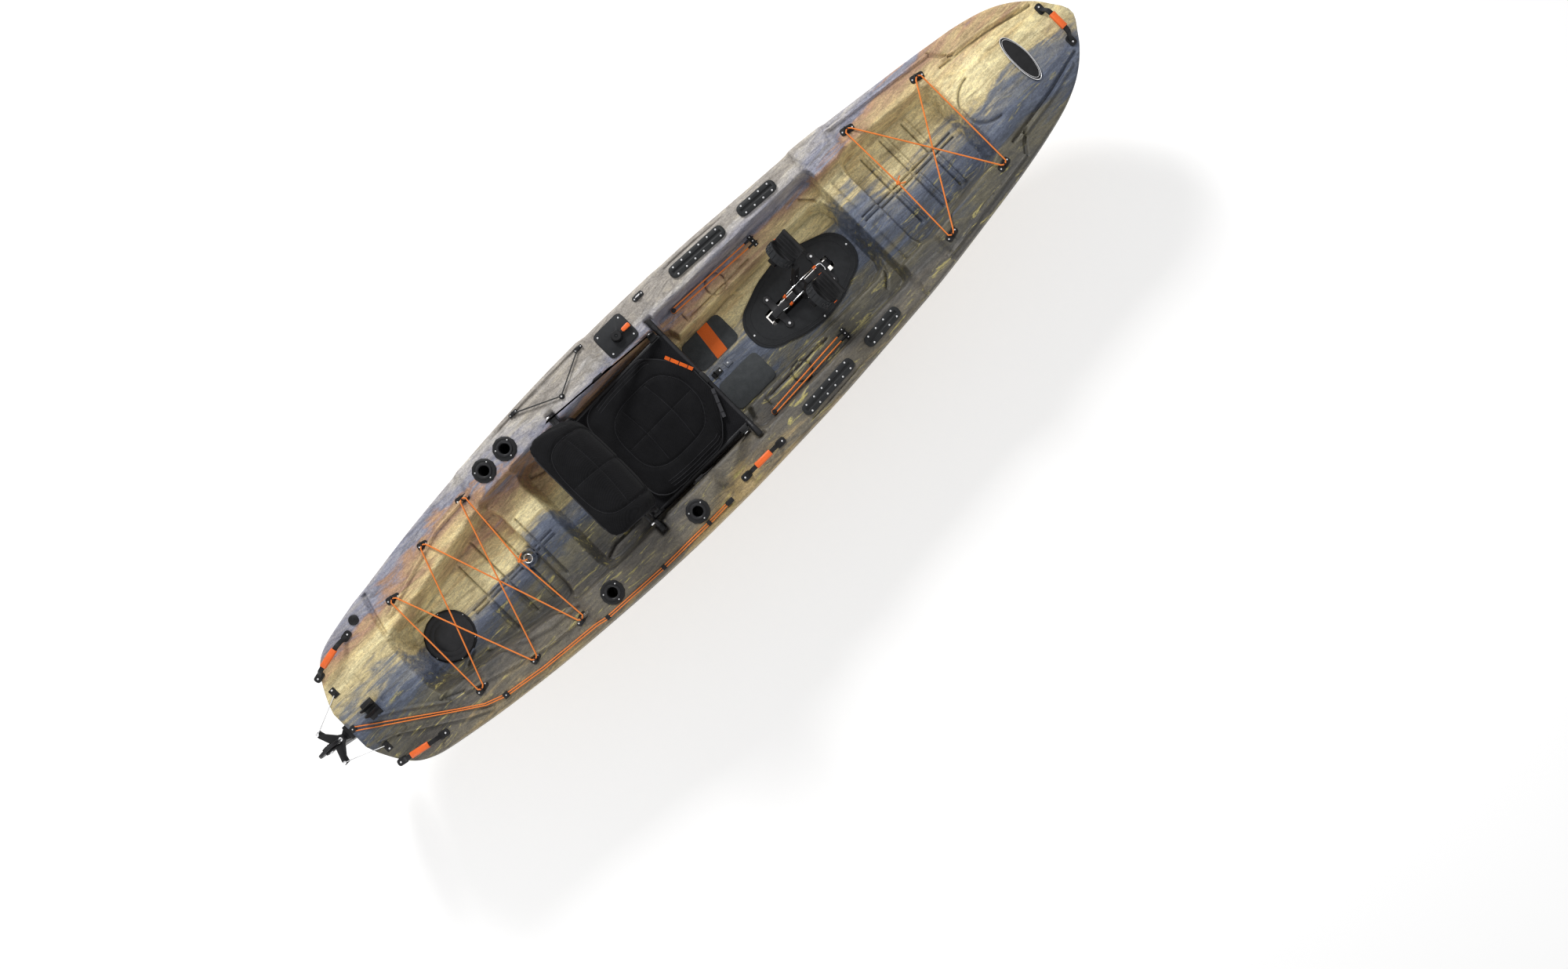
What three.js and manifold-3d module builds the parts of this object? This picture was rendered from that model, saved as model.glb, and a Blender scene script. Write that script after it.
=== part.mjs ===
// Pedal kayak with a fin drive, a folding seat and a kick-up rudder.
// Millimetres. X runs forward, Y to port and Z up. Zero is on the flat of the keel, amidships.
import * as THREE from 'three';
import { mergeVertices } from 'three/addons/utils/BufferGeometryUtils.js';
import Module from 'manifold-3d';

const wasm = await Module();
wasm.setup();

// Sizes that drive the whole boat.
const boat = { halfLength: 1905, halfBeam: 432, rimHeight: 368, wall: 5, seat: 0.3, overrun: 30 };
const roundSides = 16;
const cordSides = 8;
const ringSides = 20;

// Lines of the boat, bow last: share of half length, then half beam, keel height and seam height
// as shares of the half beam, the rim height and the rim height.
const lineShares = [
  [-1.0, 0.229, 0.815, 0.842],
  [-0.992, 0.455, 0.765, 0.841],
  [-0.972, 0.616, 0.5625, 0.84],
  [-0.925, 0.684, 0.245, 0.828],
  [-0.9, 0.708, 0.156, 0.82],
  [-0.78, 0.805, 0.105, 0.785],
  [-0.65, 0.88, 0.083, 0.77],
  [-0.55, 0.922, 0.0625, 0.755],
  [-0.4, 0.97, 0.045, 0.742],
  [-0.25, 0.996, 0.03, 0.733],
  [-0.1, 1.0, 0.0, 0.731],
  [0.1, 0.974, 0.0, 0.731],
  [0.17, 0.958, 0.041, 0.731],
  [0.424, 0.876, 0.043, 0.739],
  [0.44, 0.869, 0.005, 0.741],
  [0.52, 0.825, 0.016, 0.748],
  [0.7, 0.715, 0.08, 0.7825],
  [0.76, 0.668, 0.112, 0.795],
  [0.83, 0.6, 0.165, 0.81],
  [0.865, 0.56, 0.225, 0.815],
  [0.9, 0.505, 0.342, 0.822],
  [0.937, 0.387, 0.48, 0.828],
  [0.969, 0.258, 0.62, 0.832],
  [0.99, 0.139, 0.765, 0.835],
  [1.0, 0.03, 0.822, 0.837],
];

// Top of the side deck: share of half length, then height as a share of the rim height.
const rimShares = [
  [-1.0, 0.951],
  [-0.992, 0.978],
  [-0.82, 0.978],
  [-0.78, 0.918],
  [-0.512, 0.929],
  [-0.493, 0.995],
  [-0.152, 1.0],
  [-0.131, 0.894],
  [0.047, 0.894],
  [0.066, 0.864],
  [0.398, 0.864],
  [0.41, 0.929],
  [0.488, 0.929],
  [0.499, 0.883],
  [0.7, 0.9],
  [0.76, 0.93],
  [0.8, 0.978],
  [0.96, 0.978],
  [0.99, 0.924],
  [1.0, 0.864],
];

// Rise of the bow deck along the middle, over the side deck.
const crownShares = [
  [-1.0, 0.0],
  [0.7, 0.0],
  [0.76, 0.1],
  [0.8, 0.12],
  [0.9, 0.055],
  [0.937, 0.0],
  [1.0, 0.0],
];

// Half section of the lower hull, keel first: share of the half beam, share of the hull's depth.
const sectionShares = [
  [0.0, 0.0],
  [0.3, 0.0],
  [0.62, 0.04],
  [0.8, 0.16],
  [0.88, 0.3],
  [0.905, 0.41],
  [0.89, 0.45],
  [0.9, 0.53],
  [0.945, 0.57],
  [1.0, 1.0],
];

// The same for the inside of the hull, which is plainer.
const innerShares = [
  [0.3, 0.0],
  [0.62, 0.04],
  [0.8, 0.17],
  [0.87, 0.33],
  [0.88, 0.53],
  [1.0, 1.0],
];

// Small tools for shapes.

/** Value of one column of a table of shares at a share of the length, along straight lines. */
function shareAt(table, xShare, column) {
  let row = 1;
  while (row < table.length - 1 && table[row][0] < xShare) row += 1;
  const [low, high] = [table[row - 1], table[row]];
  const part = THREE.MathUtils.clamp((xShare - low[0]) / (high[0] - low[0]), 0, 1);
  return THREE.MathUtils.lerp(low[column], high[column], part);
}

/** Height of the side deck above the keel plane at a place along the boat. */
function rimAt(x) {
  return boat.rimHeight * shareAt(rimShares, x / boat.halfLength, 1);
}

/** Half the boat's width at the seam at a place along the boat. */
function beamAt(x) {
  return boat.halfBeam * shareAt(lineShares, x / boat.halfLength, 1);
}

/** Place along the boat at a share of its half length. */
function lengthAt(share) {
  return boat.halfLength * share;
}

/** Distance from the middle at a share of the half beam. */
function widthAt(share) {
  return boat.halfBeam * share;
}

/** Height above the keel plane at a share of the rim height. */
function levelAt(share) {
  return boat.rimHeight * share;
}

/** Volume inside a closed geometry, negative where its faces look inward. */
function signedVolume(geometry) {
  const place = geometry.getAttribute('position');
  const index = geometry.getIndex();
  const [a, b, c] = [new THREE.Vector3(), new THREE.Vector3(), new THREE.Vector3()];
  let sum = 0;
  for (let face = 0; face < index.count; face += 3) {
    a.fromBufferAttribute(place, index.getX(face));
    b.fromBufferAttribute(place, index.getX(face + 1));
    c.fromBufferAttribute(place, index.getX(face + 2));
    sum += a.dot(b.cross(c));
  }
  return sum / 6;
}

/** Welds a geometry, drops faces without area and turns its faces outward. */
function welded(source) {
  const bare = source.clone();
  bare.deleteAttribute('normal');
  bare.deleteAttribute('uv');
  const geometry = mergeVertices(bare);
  const kept = [];
  const index = geometry.getIndex().array;
  for (let face = 0; face < index.length; face += 3) {
    const [a, b, c] = [index[face], index[face + 1], index[face + 2]];
    if (a !== b && b !== c && c !== a) kept.push(a, b, c);
  }
  geometry.setIndex(kept);
  if (signedVolume(geometry) < 0) {
    for (let face = 0; face < kept.length; face += 3) {
      [kept[face + 1], kept[face + 2]] = [kept[face + 2], kept[face + 1]];
    }
    geometry.setIndex(kept);
  }
  return geometry;
}

/** Geometry as a solid that can be joined and cut. */
function solidOf(source) {
  const geometry = welded(source);
  return new wasm.Manifold(new wasm.Mesh({
    numProp: 3,
    vertProperties: new Float32Array(geometry.getAttribute('position').array),
    triVerts: new Uint32Array(geometry.getIndex().array),
  }));
}

/** Solid as a geometry. */
function geometryOf(solid) {
  const mesh = solid.getMesh();
  const geometry = new THREE.BufferGeometry();
  geometry.setAttribute('position', new THREE.BufferAttribute(new Float32Array(mesh.vertProperties), 3));
  geometry.setIndex(new THREE.BufferAttribute(new Uint32Array(mesh.triVerts), 1));
  return geometry;
}

/** All the given geometries as one. */
function joined(...geometries) {
  return geometryOf(geometries.map(solidOf).reduce((sum, solid) => sum.add(solid)));
}

/** The first geometry less all the others. */
function cut(body, ...tools) {
  return geometryOf(tools.map(solidOf).reduce((rest, solid) => rest.subtract(solid), solidOf(body)));
}

/** What two geometries share. */
function shared(one, other) {
  return geometryOf(solidOf(one).intersect(solidOf(other)));
}

/** Closed solid through rings with equal counts of points, with fans over both ends. */
function loft(rings) {
  const count = rings[0].length;
  const points = rings.flat();
  const faces = [];
  for (let row = 0; row < rings.length - 1; row += 1) {
    for (let index = 0; index < count; index += 1) {
      const next = (index + 1) % count;
      const [a, b] = [row * count + index, row * count + next];
      faces.push(a, b, b + count, a, b + count, a + count);
    }
  }
  [0, rings.length - 1].forEach((row) => {
    const middle = points.length;
    const sum = rings[row].reduce((total, point) => total.add(point), new THREE.Vector3());
    points.push(sum.divideScalar(count));
    for (let index = 0; index < count; index += 1) {
      const [a, b] = [row * count + index, row * count + ((index + 1) % count)];
      faces.push(...(row === 0 ? [middle, b, a] : [middle, a, b]));
    }
  });
  const geometry = new THREE.BufferGeometry().setFromPoints(points);
  geometry.setIndex(faces);
  return welded(geometry);
}

/** Outline in plan, pulled up between two heights. */
function prism(outline, low, high) {
  const shape = new THREE.Shape(outline.map(([x, y]) => new THREE.Vector2(x, y)));
  const geometry = new THREE.ExtrudeGeometry(shape, { depth: high - low, bevelEnabled: false });
  return geometry.translate(0, 0, low);
}

/** Outline in the side view, pulled across between two places on Y. */
function slab(outline, from, to) {
  return prism(outline, from, to).rotateX(Math.PI / 2).scale(1, -1, 1);
}

/** Outline in the end view, as Y and Z, pulled along between two places on X. */
function plank(outline, from, to) {
  const geometry = prism(outline, from, to);
  const turn = new THREE.Matrix4().set(0, 0, 1, 0, 1, 0, 0, 0, 0, 1, 0, 0, 0, 0, 0, 1);
  return geometry.applyMatrix4(turn);
}

/** Block between two corners. */
function block(from, to) {
  const size = to.map((value, axis) => value - from[axis]);
  const middle = to.map((value, axis) => (value + from[axis]) / 2);
  return new THREE.BoxGeometry(...size).translate(...middle);
}

/** Round bar between two places. */
function bar(from, to, radius, sides = roundSides) {
  const [start, end] = [new THREE.Vector3(...from), new THREE.Vector3(...to)];
  const along = end.clone().sub(start);
  const geometry = new THREE.CylinderGeometry(radius, radius, along.length(), sides);
  const turn = new THREE.Quaternion().setFromUnitVectors(new THREE.Vector3(0, 1, 0), along.normalize());
  return geometry.applyQuaternion(turn).translate(...start.add(end).divideScalar(2).toArray());
}

/** Profile of radius and height turned about the Z axis. */
function turned(profile, sides = roundSides) {
  const points = profile.map(([radius, height]) => new THREE.Vector2(radius, height));
  return new THREE.LatheGeometry(points, sides).rotateX(Math.PI / 2).scale(1, -1, 1);
}

/** Path that passes each of its points at one step of a sweep. */
class PointPath extends THREE.Curve {
  constructor(points) {
    super();
    this.points = points.map((point) => new THREE.Vector3(...point));
  }

  getPoint(share) {
    const last = this.points.length - 1;
    return this.points[Math.round(share * last)].clone();
  }

  getSpacedPoints() {
    return this.points.map((point) => point.clone());
  }

  getTangentAt(share) {
    const last = this.points.length - 1;
    const index = Math.round(share * last);
    const here = this.points[index];
    const before = this.points[Math.max(index - 1, 0)];
    const after = this.points[Math.min(index + 1, last)];
    const tangent = new THREE.Vector3();
    if (index > 0) tangent.add(here.clone().sub(before).normalize());
    if (index < last) tangent.add(after.clone().sub(here).normalize());
    return tangent.normalize();
  }
}

/** Round tube through every given point. */
function tube(points, radius, sides = cordSides) {
  const ring = Array.from({ length: sides }, (_, index) => {
    const angle = (2 * Math.PI * index) / sides;
    return new THREE.Vector2(radius * Math.cos(angle), radius * Math.sin(angle));
  });
  const path = new PointPath(points);
  return new THREE.ExtrudeGeometry(new THREE.Shape(ring), {
    steps: points.length - 1,
    extrudePath: path,
    bevelEnabled: false,
  });
}

/** The given path with each inner corner turned into a bend of a few points. */
function bent(points, reach, steps = 3) {
  const path = [points[0]];
  for (let index = 1; index < points.length - 1; index += 1) {
    const here = new THREE.Vector3(...points[index]);
    const back = new THREE.Vector3(...points[index - 1]).sub(here);
    const ahead = new THREE.Vector3(...points[index + 1]).sub(here);
    const start = here.clone().addScaledVector(back.clone().normalize(), Math.min(reach, back.length() / 2.2));
    const end = here.clone().addScaledVector(ahead.clone().normalize(), Math.min(reach, ahead.length() / 2.2));
    const bend = new THREE.QuadraticBezierCurve3(start, here, end);
    bend.getPoints(steps).forEach((point) => path.push(point.toArray()));
  }
  path.push(points[points.length - 1]);
  return path;
}

/** Outline of a strip of one thickness along a path in its own plane. */
function strip(points, thickness) {
  const sides = [[], []];
  points.forEach((point, index) => {
    const before = points[Math.max(index - 1, 0)];
    const after = points[Math.min(index + 1, points.length - 1)];
    const along = new THREE.Vector2(after[0] - before[0], after[1] - before[1]).normalize();
    const shift = thickness / 2;
    sides[0].push([point[0] - along.y * shift, point[1] + along.x * shift]);
    sides[1].unshift([point[0] + along.y * shift, point[1] - along.x * shift]);
  });
  return [...sides[0], ...sides[1]];
}

/** Four-sided outline with round corners, wider or narrower at its two ends. */
function wellOutline(well, grow, steps = 2) {
  const [aft, front] = [well.aftX - grow, well.frontX + grow];
  const [aftHalf, frontHalf] = [well.aftHalf + grow, well.frontHalf + grow];
  const corners = [[aft, -aftHalf], [front, -frontHalf], [front, frontHalf], [aft, aftHalf]];
  return roundedOutline(corners, well.corner + Math.max(grow, 0), steps);
}

/** Outline with each corner turned into a bend of a few points. */
function roundedOutline(corners, reach, steps = 3) {
  return corners.flatMap((corner, index) => {
    const here = new THREE.Vector2(...corner);
    const back = new THREE.Vector2(...corners[(index + corners.length - 1) % corners.length]).sub(here);
    const ahead = new THREE.Vector2(...corners[(index + 1) % corners.length]).sub(here);
    const [start, end] = [back, ahead].map((side) => (
      here.clone().addScaledVector(side.clone().normalize(), Math.min(reach, side.length() / 2.1))
    ));
    const bend = new THREE.QuadraticBezierCurve(start, here, end);
    return bend.getPoints(steps).map((point) => [point.x, point.y]);
  });
}

/** Round outline about a middle. */
function circle(middle, radius, sides = roundSides) {
  return Array.from({ length: sides }, (_, index) => {
    const angle = (2 * Math.PI * index) / sides;
    return [middle[0] + radius * Math.cos(angle), middle[1] + radius * Math.sin(angle)];
  });
}

/** Padded form on a grid from -1 to 1 both ways, with its top and bottom meeting at the rim. */
function pad(rows, columns, place) {
  const faces = [];
  const points = [];
  const spread = (index, count) => Math.sin(((index / count) * 2 - 1) * (Math.PI / 2));
  [1, -1].forEach((side) => {
    const first = points.length;
    for (let row = 0; row <= rows; row += 1) {
      for (let column = 0; column <= columns; column += 1) {
        points.push(place(spread(row, rows), spread(column, columns), side));
      }
    }
    for (let row = 0; row < rows; row += 1) {
      for (let column = 0; column < columns; column += 1) {
        const a = first + row * (columns + 1) + column;
        const [b, c] = [a + 1, a + columns + 1];
        faces.push(...(side > 0 ? [a, c, c + 1, a, c + 1, b] : [a, c + 1, c, a, b, c + 1]));
      }
    }
  });
  const geometry = new THREE.BufferGeometry().setFromPoints(points);
  geometry.setIndex(faces);
  return welded(geometry);
}

// Colours and finishes.
const finishes = {
  tan: { color: 0xd2b892, roughness: 0.55, metalness: 0 },
  slate: { color: 0x5f6f76, roughness: 0.6, metalness: 0 },
  black: { color: 0x232426, roughness: 0.5, metalness: 0 },
  charcoal: { color: 0x3f4246, roughness: 0.85, metalness: 0 },
  orange: { color: 0xf0782a, roughness: 0.6, metalness: 0 },
  steel: { color: 0xc9ccd0, roughness: 0.28, metalness: 1 },
  rubber: { color: 0x2c3033, roughness: 0.9, metalness: 0 },
};

const kayak = new THREE.Group();
kayak.name = 'pedal_kayak';

/** Adds a named piece of one finish. */
function add(name, finish, geometry) {
  const piece = welded(geometry);
  piece.computeVertexNormals();
  const mesh = new THREE.Mesh(piece, new THREE.MeshStandardMaterial(finishes[finish]));
  mesh.name = name;
  kayak.add(mesh);
}

const sideNames = [['port', 1], ['starboard', -1]];

/** Well of the deck: shares of the half length, the half beam and the rim height, then two sizes. */
function wellOf([aftShare, frontShare, aftHalfShare, frontHalfShare, floorShare], corner, lean) {
  return {
    aftX: lengthAt(aftShare),
    frontX: lengthAt(frontShare),
    aftHalf: widthAt(aftHalfShare),
    frontHalf: widthAt(frontHalfShare),
    floorZ: levelAt(floorShare),
    corner,
    lean,
  };
}

// Wells of the deck: aft end, front end, half widths at both ends and floor.
const wellShares = {
  stern: [-0.8294, -0.49186, 0.35185, 0.60648, 0.54348],
  saddle: [-0.51706, -0.4147, 0.59722, 0.60648, 0.73913],
  seat: [-0.4336, 0.0105, 0.62037, 0.62037, 0.40761],
  cockpit: [-0.01785, 0.4105, 0.69444, 0.66667, 0.58424],
  foot: [-0.06824, 0.40525, 0.45139, 0.45139, 0.27174],
  bulkhead: [0.38845, 0.47507, 0.53704, 0.52778, 0.80435],
  bow: [0.45774, 0.70604, 0.56713, 0.45833, 0.57065],
};
const corners = { tight: 20, small: 30, medium: 50, wide: 60 };
const leans = { steep: 8, cockpit: 10, foot: 14, seat: 22, bow: 26, stern: 34 };
const sternWell = wellOf(wellShares.stern, corners.medium, leans.stern);
const saddle = wellOf(wellShares.saddle, corners.tight, leans.steep);
const seatWell = wellOf(wellShares.seat, corners.medium, leans.seat);
const cockpit = wellOf(wellShares.cockpit, corners.small, leans.cockpit);
const footwell = wellOf(wellShares.foot, corners.wide, leans.foot);
const bulkhead = wellOf(wellShares.bulkhead, corners.tight, leans.steep);
const bowWell = wellOf(wellShares.bow, corners.medium, leans.bow);
const wells = [sternWell, saddle, seatWell, cockpit, footwell, bulkhead, bowWell];

// Middle of the crank, from which the drive is laid out, and the opening for it through the boat.
const crankX = lengthAt(0.24882);
const slotReach = { aft: 173, front: 165 };
const slot = { aftX: crankX - slotReach.aft, frontX: crankX + slotReach.front, half: 30, wall: 8, corner: 12 };
const wellPlate = {
  aftShift: 3, lengthShare: 0.30155, widthShare: 0.78974, thickness: 6, power: 2.5, points: 32,
};

// Things that go through the deck.
const hatch = {
  ringRadius: 103, holeRadius: 86, lidRadius: 96, spigotRadius: 83, spigot: 4, flange: 5, collar: 22,
  collarWall: 3.5, lidEdge: 5, dome: 7, clear: 10,
};
const hatchX = sternWell.aftX + sternWell.lean + hatch.ringRadius + hatch.clear;
const scupper = { radius: 15, wall: 4, clear: 20 };
const scupperX = sternWell.frontX - sternWell.lean - scupper.radius - scupper.wall - scupper.clear;
const drain = { xShare: -0.8399, yShare: 0.64815, head: 20, neck: 11, headHeight: 6, neckLength: 14 };
const rodHolder = {
  flangeRadius: 47, tubeRadius: 25, boreRadius: 20.5, length: 160, flange: 5, floor: 5, between: 18, sides: 12,
};

// Rod holders: name, share of the half length, share of the half beam at the flange's outer edge,
// and how many flanges they stand ahead of that place.
const rodHolderShares = [
  ['rod_holder_port_aft', -0.45354, 0.86806, 0],
  ['rod_holder_port_forward', -0.45354, 0.87731, 1],
  ['rod_holder_starboard_aft', -0.44409, -0.86806, 0],
  ['rod_holder_starboard_forward', -0.2147, -0.89352, 0],
];
const rodHolderPlaces = rodHolderShares.map(([name, xShare, edgeShare, ahead]) => [
  name,
  lengthAt(xShare) + ahead * (2 * rodHolder.flangeRadius + rodHolder.between),
  widthAt(edgeShare) - Math.sign(edgeShare) * rodHolder.flangeRadius,
]);

// The seat stands between the walls of its well, on rests in the side deck for its four feet.
const railInset = 36;
const railY = Math.min(seatWell.aftHalf, seatWell.frontHalf) - railInset;
const footSizes = { outside: 68, radius: 11, recess: 18, sunkFront: 10, sunkRear: 15.4 };
const seatFoot = {
  frontX: lengthAt(-0.02152),
  rearX: lengthAt(-0.28714),
  frontZ: rimAt(lengthAt(-0.02152)) - footSizes.sunkFront,
  rearZ: rimAt(lengthAt(-0.28714)) - footSizes.sunkRear,
  reach: railY + footSizes.outside,
  radius: footSizes.radius,
  recess: footSizes.recess,
};

// Edge of the side deck: how far it leans in, its round and its flat.
const lip = { lean: 5, round: 14, flat: 60, inset: 2 };

/** One closed cross section of the deck, set in by a wall and pulled down at its open side. */
function deckRing(xShare, inset, drop) {
  const stepShare = 0.001;
  const step = lengthAt(stepShare);
  const x = lengthAt(xShare);
  const slope = (beamAt(x + step) - beamAt(x - step)) / (2 * step);
  const bend = Math.hypot(1, slope);
  const half = beamAt(x) - inset / bend;
  const shift = (inset * slope) / bend;
  const seam = boat.rimHeight * shareAt(lineShares, xShare, 3);
  const rim = rimAt(x);
  const crown = rim + boat.rimHeight * shareAt(crownShares, xShare, 1);
  const narrow = Math.min(1, half / (lip.flat + lip.round + lip.lean));
  const edge = half - narrow * lip.lean;
  const side = [
    [half, drop === 0 ? seam : seam - drop],
    [edge, rim - narrow * lip.round - inset],
    [edge - narrow * lip.round, rim - inset],
    [Math.max(edge - narrow * (lip.round + lip.flat), edge * 0.5), rim - inset],
    [edge * 0.42, THREE.MathUtils.lerp(rim, crown, 0.75) - inset],
  ];
  const ends = Math.abs(xShare) === 1 ? Math.sign(xShare) * inset : 0;
  const place = x + THREE.MathUtils.clamp(shift, -inset, inset) * (ends === 0 ? 1 : 0) - ends;
  const used = inset === 0 ? side : [side[0], side[1], side[3]];
  const near = used.map(([y, z]) => new THREE.Vector3(place, y, z));
  const far = used.map(([y, z]) => new THREE.Vector3(place, -y, z)).reverse();
  return [...near, new THREE.Vector3(place, 0, crown - inset), ...far];
}

/** The crowned deck as a block, set in by a wall and pulled down at its open side. */
function deckBlock(inset, drop) {
  const shares = new Set([...lineShares, ...rimShares, ...crownShares].map(([share]) => share));
  const stations = [...shares].sort((one, other) => one - other);
  const spaced = stations.filter((share, index) => (
    index === 0 || share === 1 || share - stations[index - 1] > 0.0045
  ));
  return loft(spaced.map((share) => deckRing(share, inset, drop)));
}

/** Inside of a well, or with growth the block that its walls are cut from. */
function wellBlock(well, grow, top) {
  const low = wellOutline(
    {
      ...well,
      aftX: well.aftX + well.lean,
      frontX: well.frontX - well.lean,
      aftHalf: well.aftHalf - well.lean,
      frontHalf: well.frontHalf - well.lean,
    },
    grow,
  );
  const high = wellOutline(well, grow);
  const ring = (outline, z) => outline.map(([x, y]) => new THREE.Vector3(x, y, z));
  return loft([ring(low, well.floorZ - grow), ring(high, boat.rimHeight), ring(high, top)]);
}

/** Small square rests in the side deck, as cutters or as the blocks round them. */
function footRests(grow, top) {
  const reach = seatFoot.reach + seatFoot.radius;
  return [[seatFoot.frontX, seatFoot.frontZ], [seatFoot.rearX, seatFoot.rearZ]].map(([x, z]) => block(
    [x - seatFoot.recess - grow, -reach - grow, z - seatFoot.radius - boat.seat - grow],
    [x + seatFoot.recess + grow, reach + grow, top],
  ));
}

const deckTop = 3 * boat.rimHeight;
const drainPlace = [lengthAt(drain.xShare), widthAt(drain.yShare)];

/** Upper moulding: crowned deck, its wells and its openings. */
function deckShell() {
  const skin = cut(deckBlock(0, 0), deckBlock(boat.wall, boat.overrun));
  const walls = joined(...wells.map((well) => wellBlock(well, boat.wall, deckTop)), ...footRests(boat.wall, deckTop));
  const under = shared(walls, deckBlock(boat.wall / 2, boat.rimHeight));
  const hatchHole = boat.seat + hatch.holeRadius + hatch.collarWall;
  const holes = rodHolderPlaces.map(([, x, y]) => prism(
    circle([x, y], rodHolder.tubeRadius + boat.seat, rodHolder.sides),
    boat.overrun,
    deckTop,
  ));
  return cut(
    joined(skin, under),
    ...wells.map((well) => wellBlock(well, 0, deckTop)),
    ...footRests(0, deckTop),
    ...holes,
    prism(circle([hatchX, 0], hatchHole, ringSides), sternWell.floorZ - boat.overrun, deckTop),
    prism(circle([scupperX, 0], scupper.radius), 0, deckTop),
    prism(slotOutline(0), 0, deckTop),
    prism(circle(drainPlace, drain.neck + boat.seat), boat.rimHeight / 2, deckTop),
  );
}

/** Outline of the drive opening in plan. */
function slotOutline(grow) {
  const [aft, front, half] = [slot.aftX - grow, slot.frontX + grow, slot.half + grow];
  return roundedOutline([[aft, -half], [front, -half], [front, half], [aft, half]], slot.corner);
}

/** One closed cross section of the lower hull, set in by a wall. */
function hullRing(row, inset, lift) {
  const [share, beamShare, keelShare, seamShare] = lineShares[row];
  const before = lineShares[Math.max(row - 1, 0)];
  const after = lineShares[Math.min(row + 1, lineShares.length - 1)];
  const run = (after[0] - before[0]) * boat.halfLength;
  const beamSlope = ((after[1] - before[1]) * boat.halfBeam) / run;
  const keelSlope = ((after[2] - before[2]) * boat.rimHeight) / run;
  const half = widthAt(beamShare) - Math.min(lip.inset, widthAt(beamShare) * 0.2);
  const inner = half - inset / Math.hypot(1, beamSlope);
  const keel = boat.rimHeight * keelShare + inset / Math.hypot(1, keelSlope);
  const seam = boat.rimHeight * seamShare - boat.seat;
  const shift = (inset * beamSlope) / Math.hypot(1, beamSlope) - (inset * keelSlope) / Math.hypot(1, keelSlope);
  const x = boat.halfLength * share + THREE.MathUtils.clamp(shift, -inset, inset);
  const shares = inset === 0 ? sectionShares.slice(1) : innerShares;
  const near = shares.map(([y, z]) => [inner * y, THREE.MathUtils.lerp(keel, seam, z)]);
  const top = lift === 0 ? [] : [[inner, seam + lift]];
  const side = [...near, ...top];
  return [
    ...side.map(([y, z]) => new THREE.Vector3(x, y, z)),
    ...side.map(([y, z]) => new THREE.Vector3(x, -y, z)).reverse(),
    new THREE.Vector3(x, 0, keel),
  ];
}

/** Lower moulding: an open tray with the drive opening and the drain pipe. */
function hullShell() {
  const rows = lineShares.map((_, row) => row);
  const outer = loft(rows.map((row) => hullRing(row, 0, 0)));
  const inner = loft(rows.map((row) => hullRing(row, boat.wall, boat.overrun)));
  const tray = cut(outer, inner);
  const pipeTop = sternWell.floorZ - boat.wall - boat.seat;
  const pipeRing = circle([scupperX, 0], scupper.radius + scupper.wall);
  const pipe = prism(pipeRing, boat.overrun, pipeTop);
  const pipeFoot = prism(pipeRing, boat.wall * 4.6, boat.overrun * 1.5);
  return cut(
    joined(tray, joined(pipe, pipeFoot)),
    prism(circle([scupperX, 0], scupper.radius), -boat.overrun, boat.rimHeight),
    prism(slotOutline(slot.wall + boat.seat), -boat.overrun, boat.rimHeight / 2),
  );
}

add('hull_shell', 'tan', hullShell());
add('deck_shell', 'slate', deckShell());

// Drive opening: its lining and the plate on the cockpit floor.
const keelShareAtSlot = 0.0435;
add('drive_trunk', 'black', cut(
  prism(slotOutline(slot.wall), levelAt(keelShareAtSlot), footwell.floorZ - boat.wall - boat.seat),
  prism(slotOutline(0), 0, boat.rimHeight),
));

/** Oval with flattened sides, by a power of its two half sizes. */
function ovalOutline(middleX, halfLength, halfWidth, power, points) {
  return Array.from({ length: points }, (_, index) => {
    const angle = (2 * Math.PI * index) / points;
    const reach = (value) => Math.sign(value) * Math.abs(value) ** (2 / power);
    return [middleX + halfLength * reach(Math.cos(angle)), halfWidth * reach(Math.sin(angle))];
  });
}

const plateLow = footwell.floorZ + boat.seat;
const plateTop = plateLow + wellPlate.thickness;
add('drive_well_plate', 'black', cut(
  prism(
    ovalOutline(
      crankX - wellPlate.aftShift,
      (footwell.frontX - footwell.aftX) * wellPlate.lengthShare,
      Math.min(footwell.aftHalf, footwell.frontHalf) * wellPlate.widthShare,
      wellPlate.power,
      wellPlate.points,
    ),
    plateLow,
    plateTop,
  ),
  prism(slotOutline(0), 0, boat.rimHeight),
));

// Gear tracks along the side decks.
const track = { width: 50, thickness: 8, slotWidth: 12, slotDepth: 6, endReach: 30 };
// Name, middle and length as shares of the half length, and middle as a share of the half beam.
const trackShares = [
  ['gear_track_port_aft', 0.14331, 0.14016, 0.81713],
  ['gear_track_port_forward', 0.30026, 0.09449, 0.78009],
  ['gear_track_starboard_aft', 0.13858, 0.14016, -0.81713],
  ['gear_track_starboard_forward', 0.29711, 0.09449, -0.78009],
];
trackShares.forEach(([name, xShare, lengthShare, yShare]) => {
  const [x, length, y] = [lengthAt(xShare), lengthAt(lengthShare), widthAt(yShare)];
  const [half, width] = [length / 2, track.width / 2];
  const ring = roundedOutline([[-half, -width], [half, -width], [half, width], [-half, width]], width);
  const slotHalf = half - track.endReach / 2;
  const body = cut(
    prism(ring, 0, track.thickness),
    block(
      [-slotHalf, -track.slotWidth / 2, track.thickness - track.slotDepth],
      [slotHalf, track.slotWidth / 2, track.thickness + track.slotDepth],
    ),
  );
  const turn = Math.atan2(beamAt(x + half) - beamAt(x - half), length) * Math.sign(y);
  add(name, 'black', body.rotateZ(turn).translate(x, y, rimAt(x) + boat.seat));
});

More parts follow.
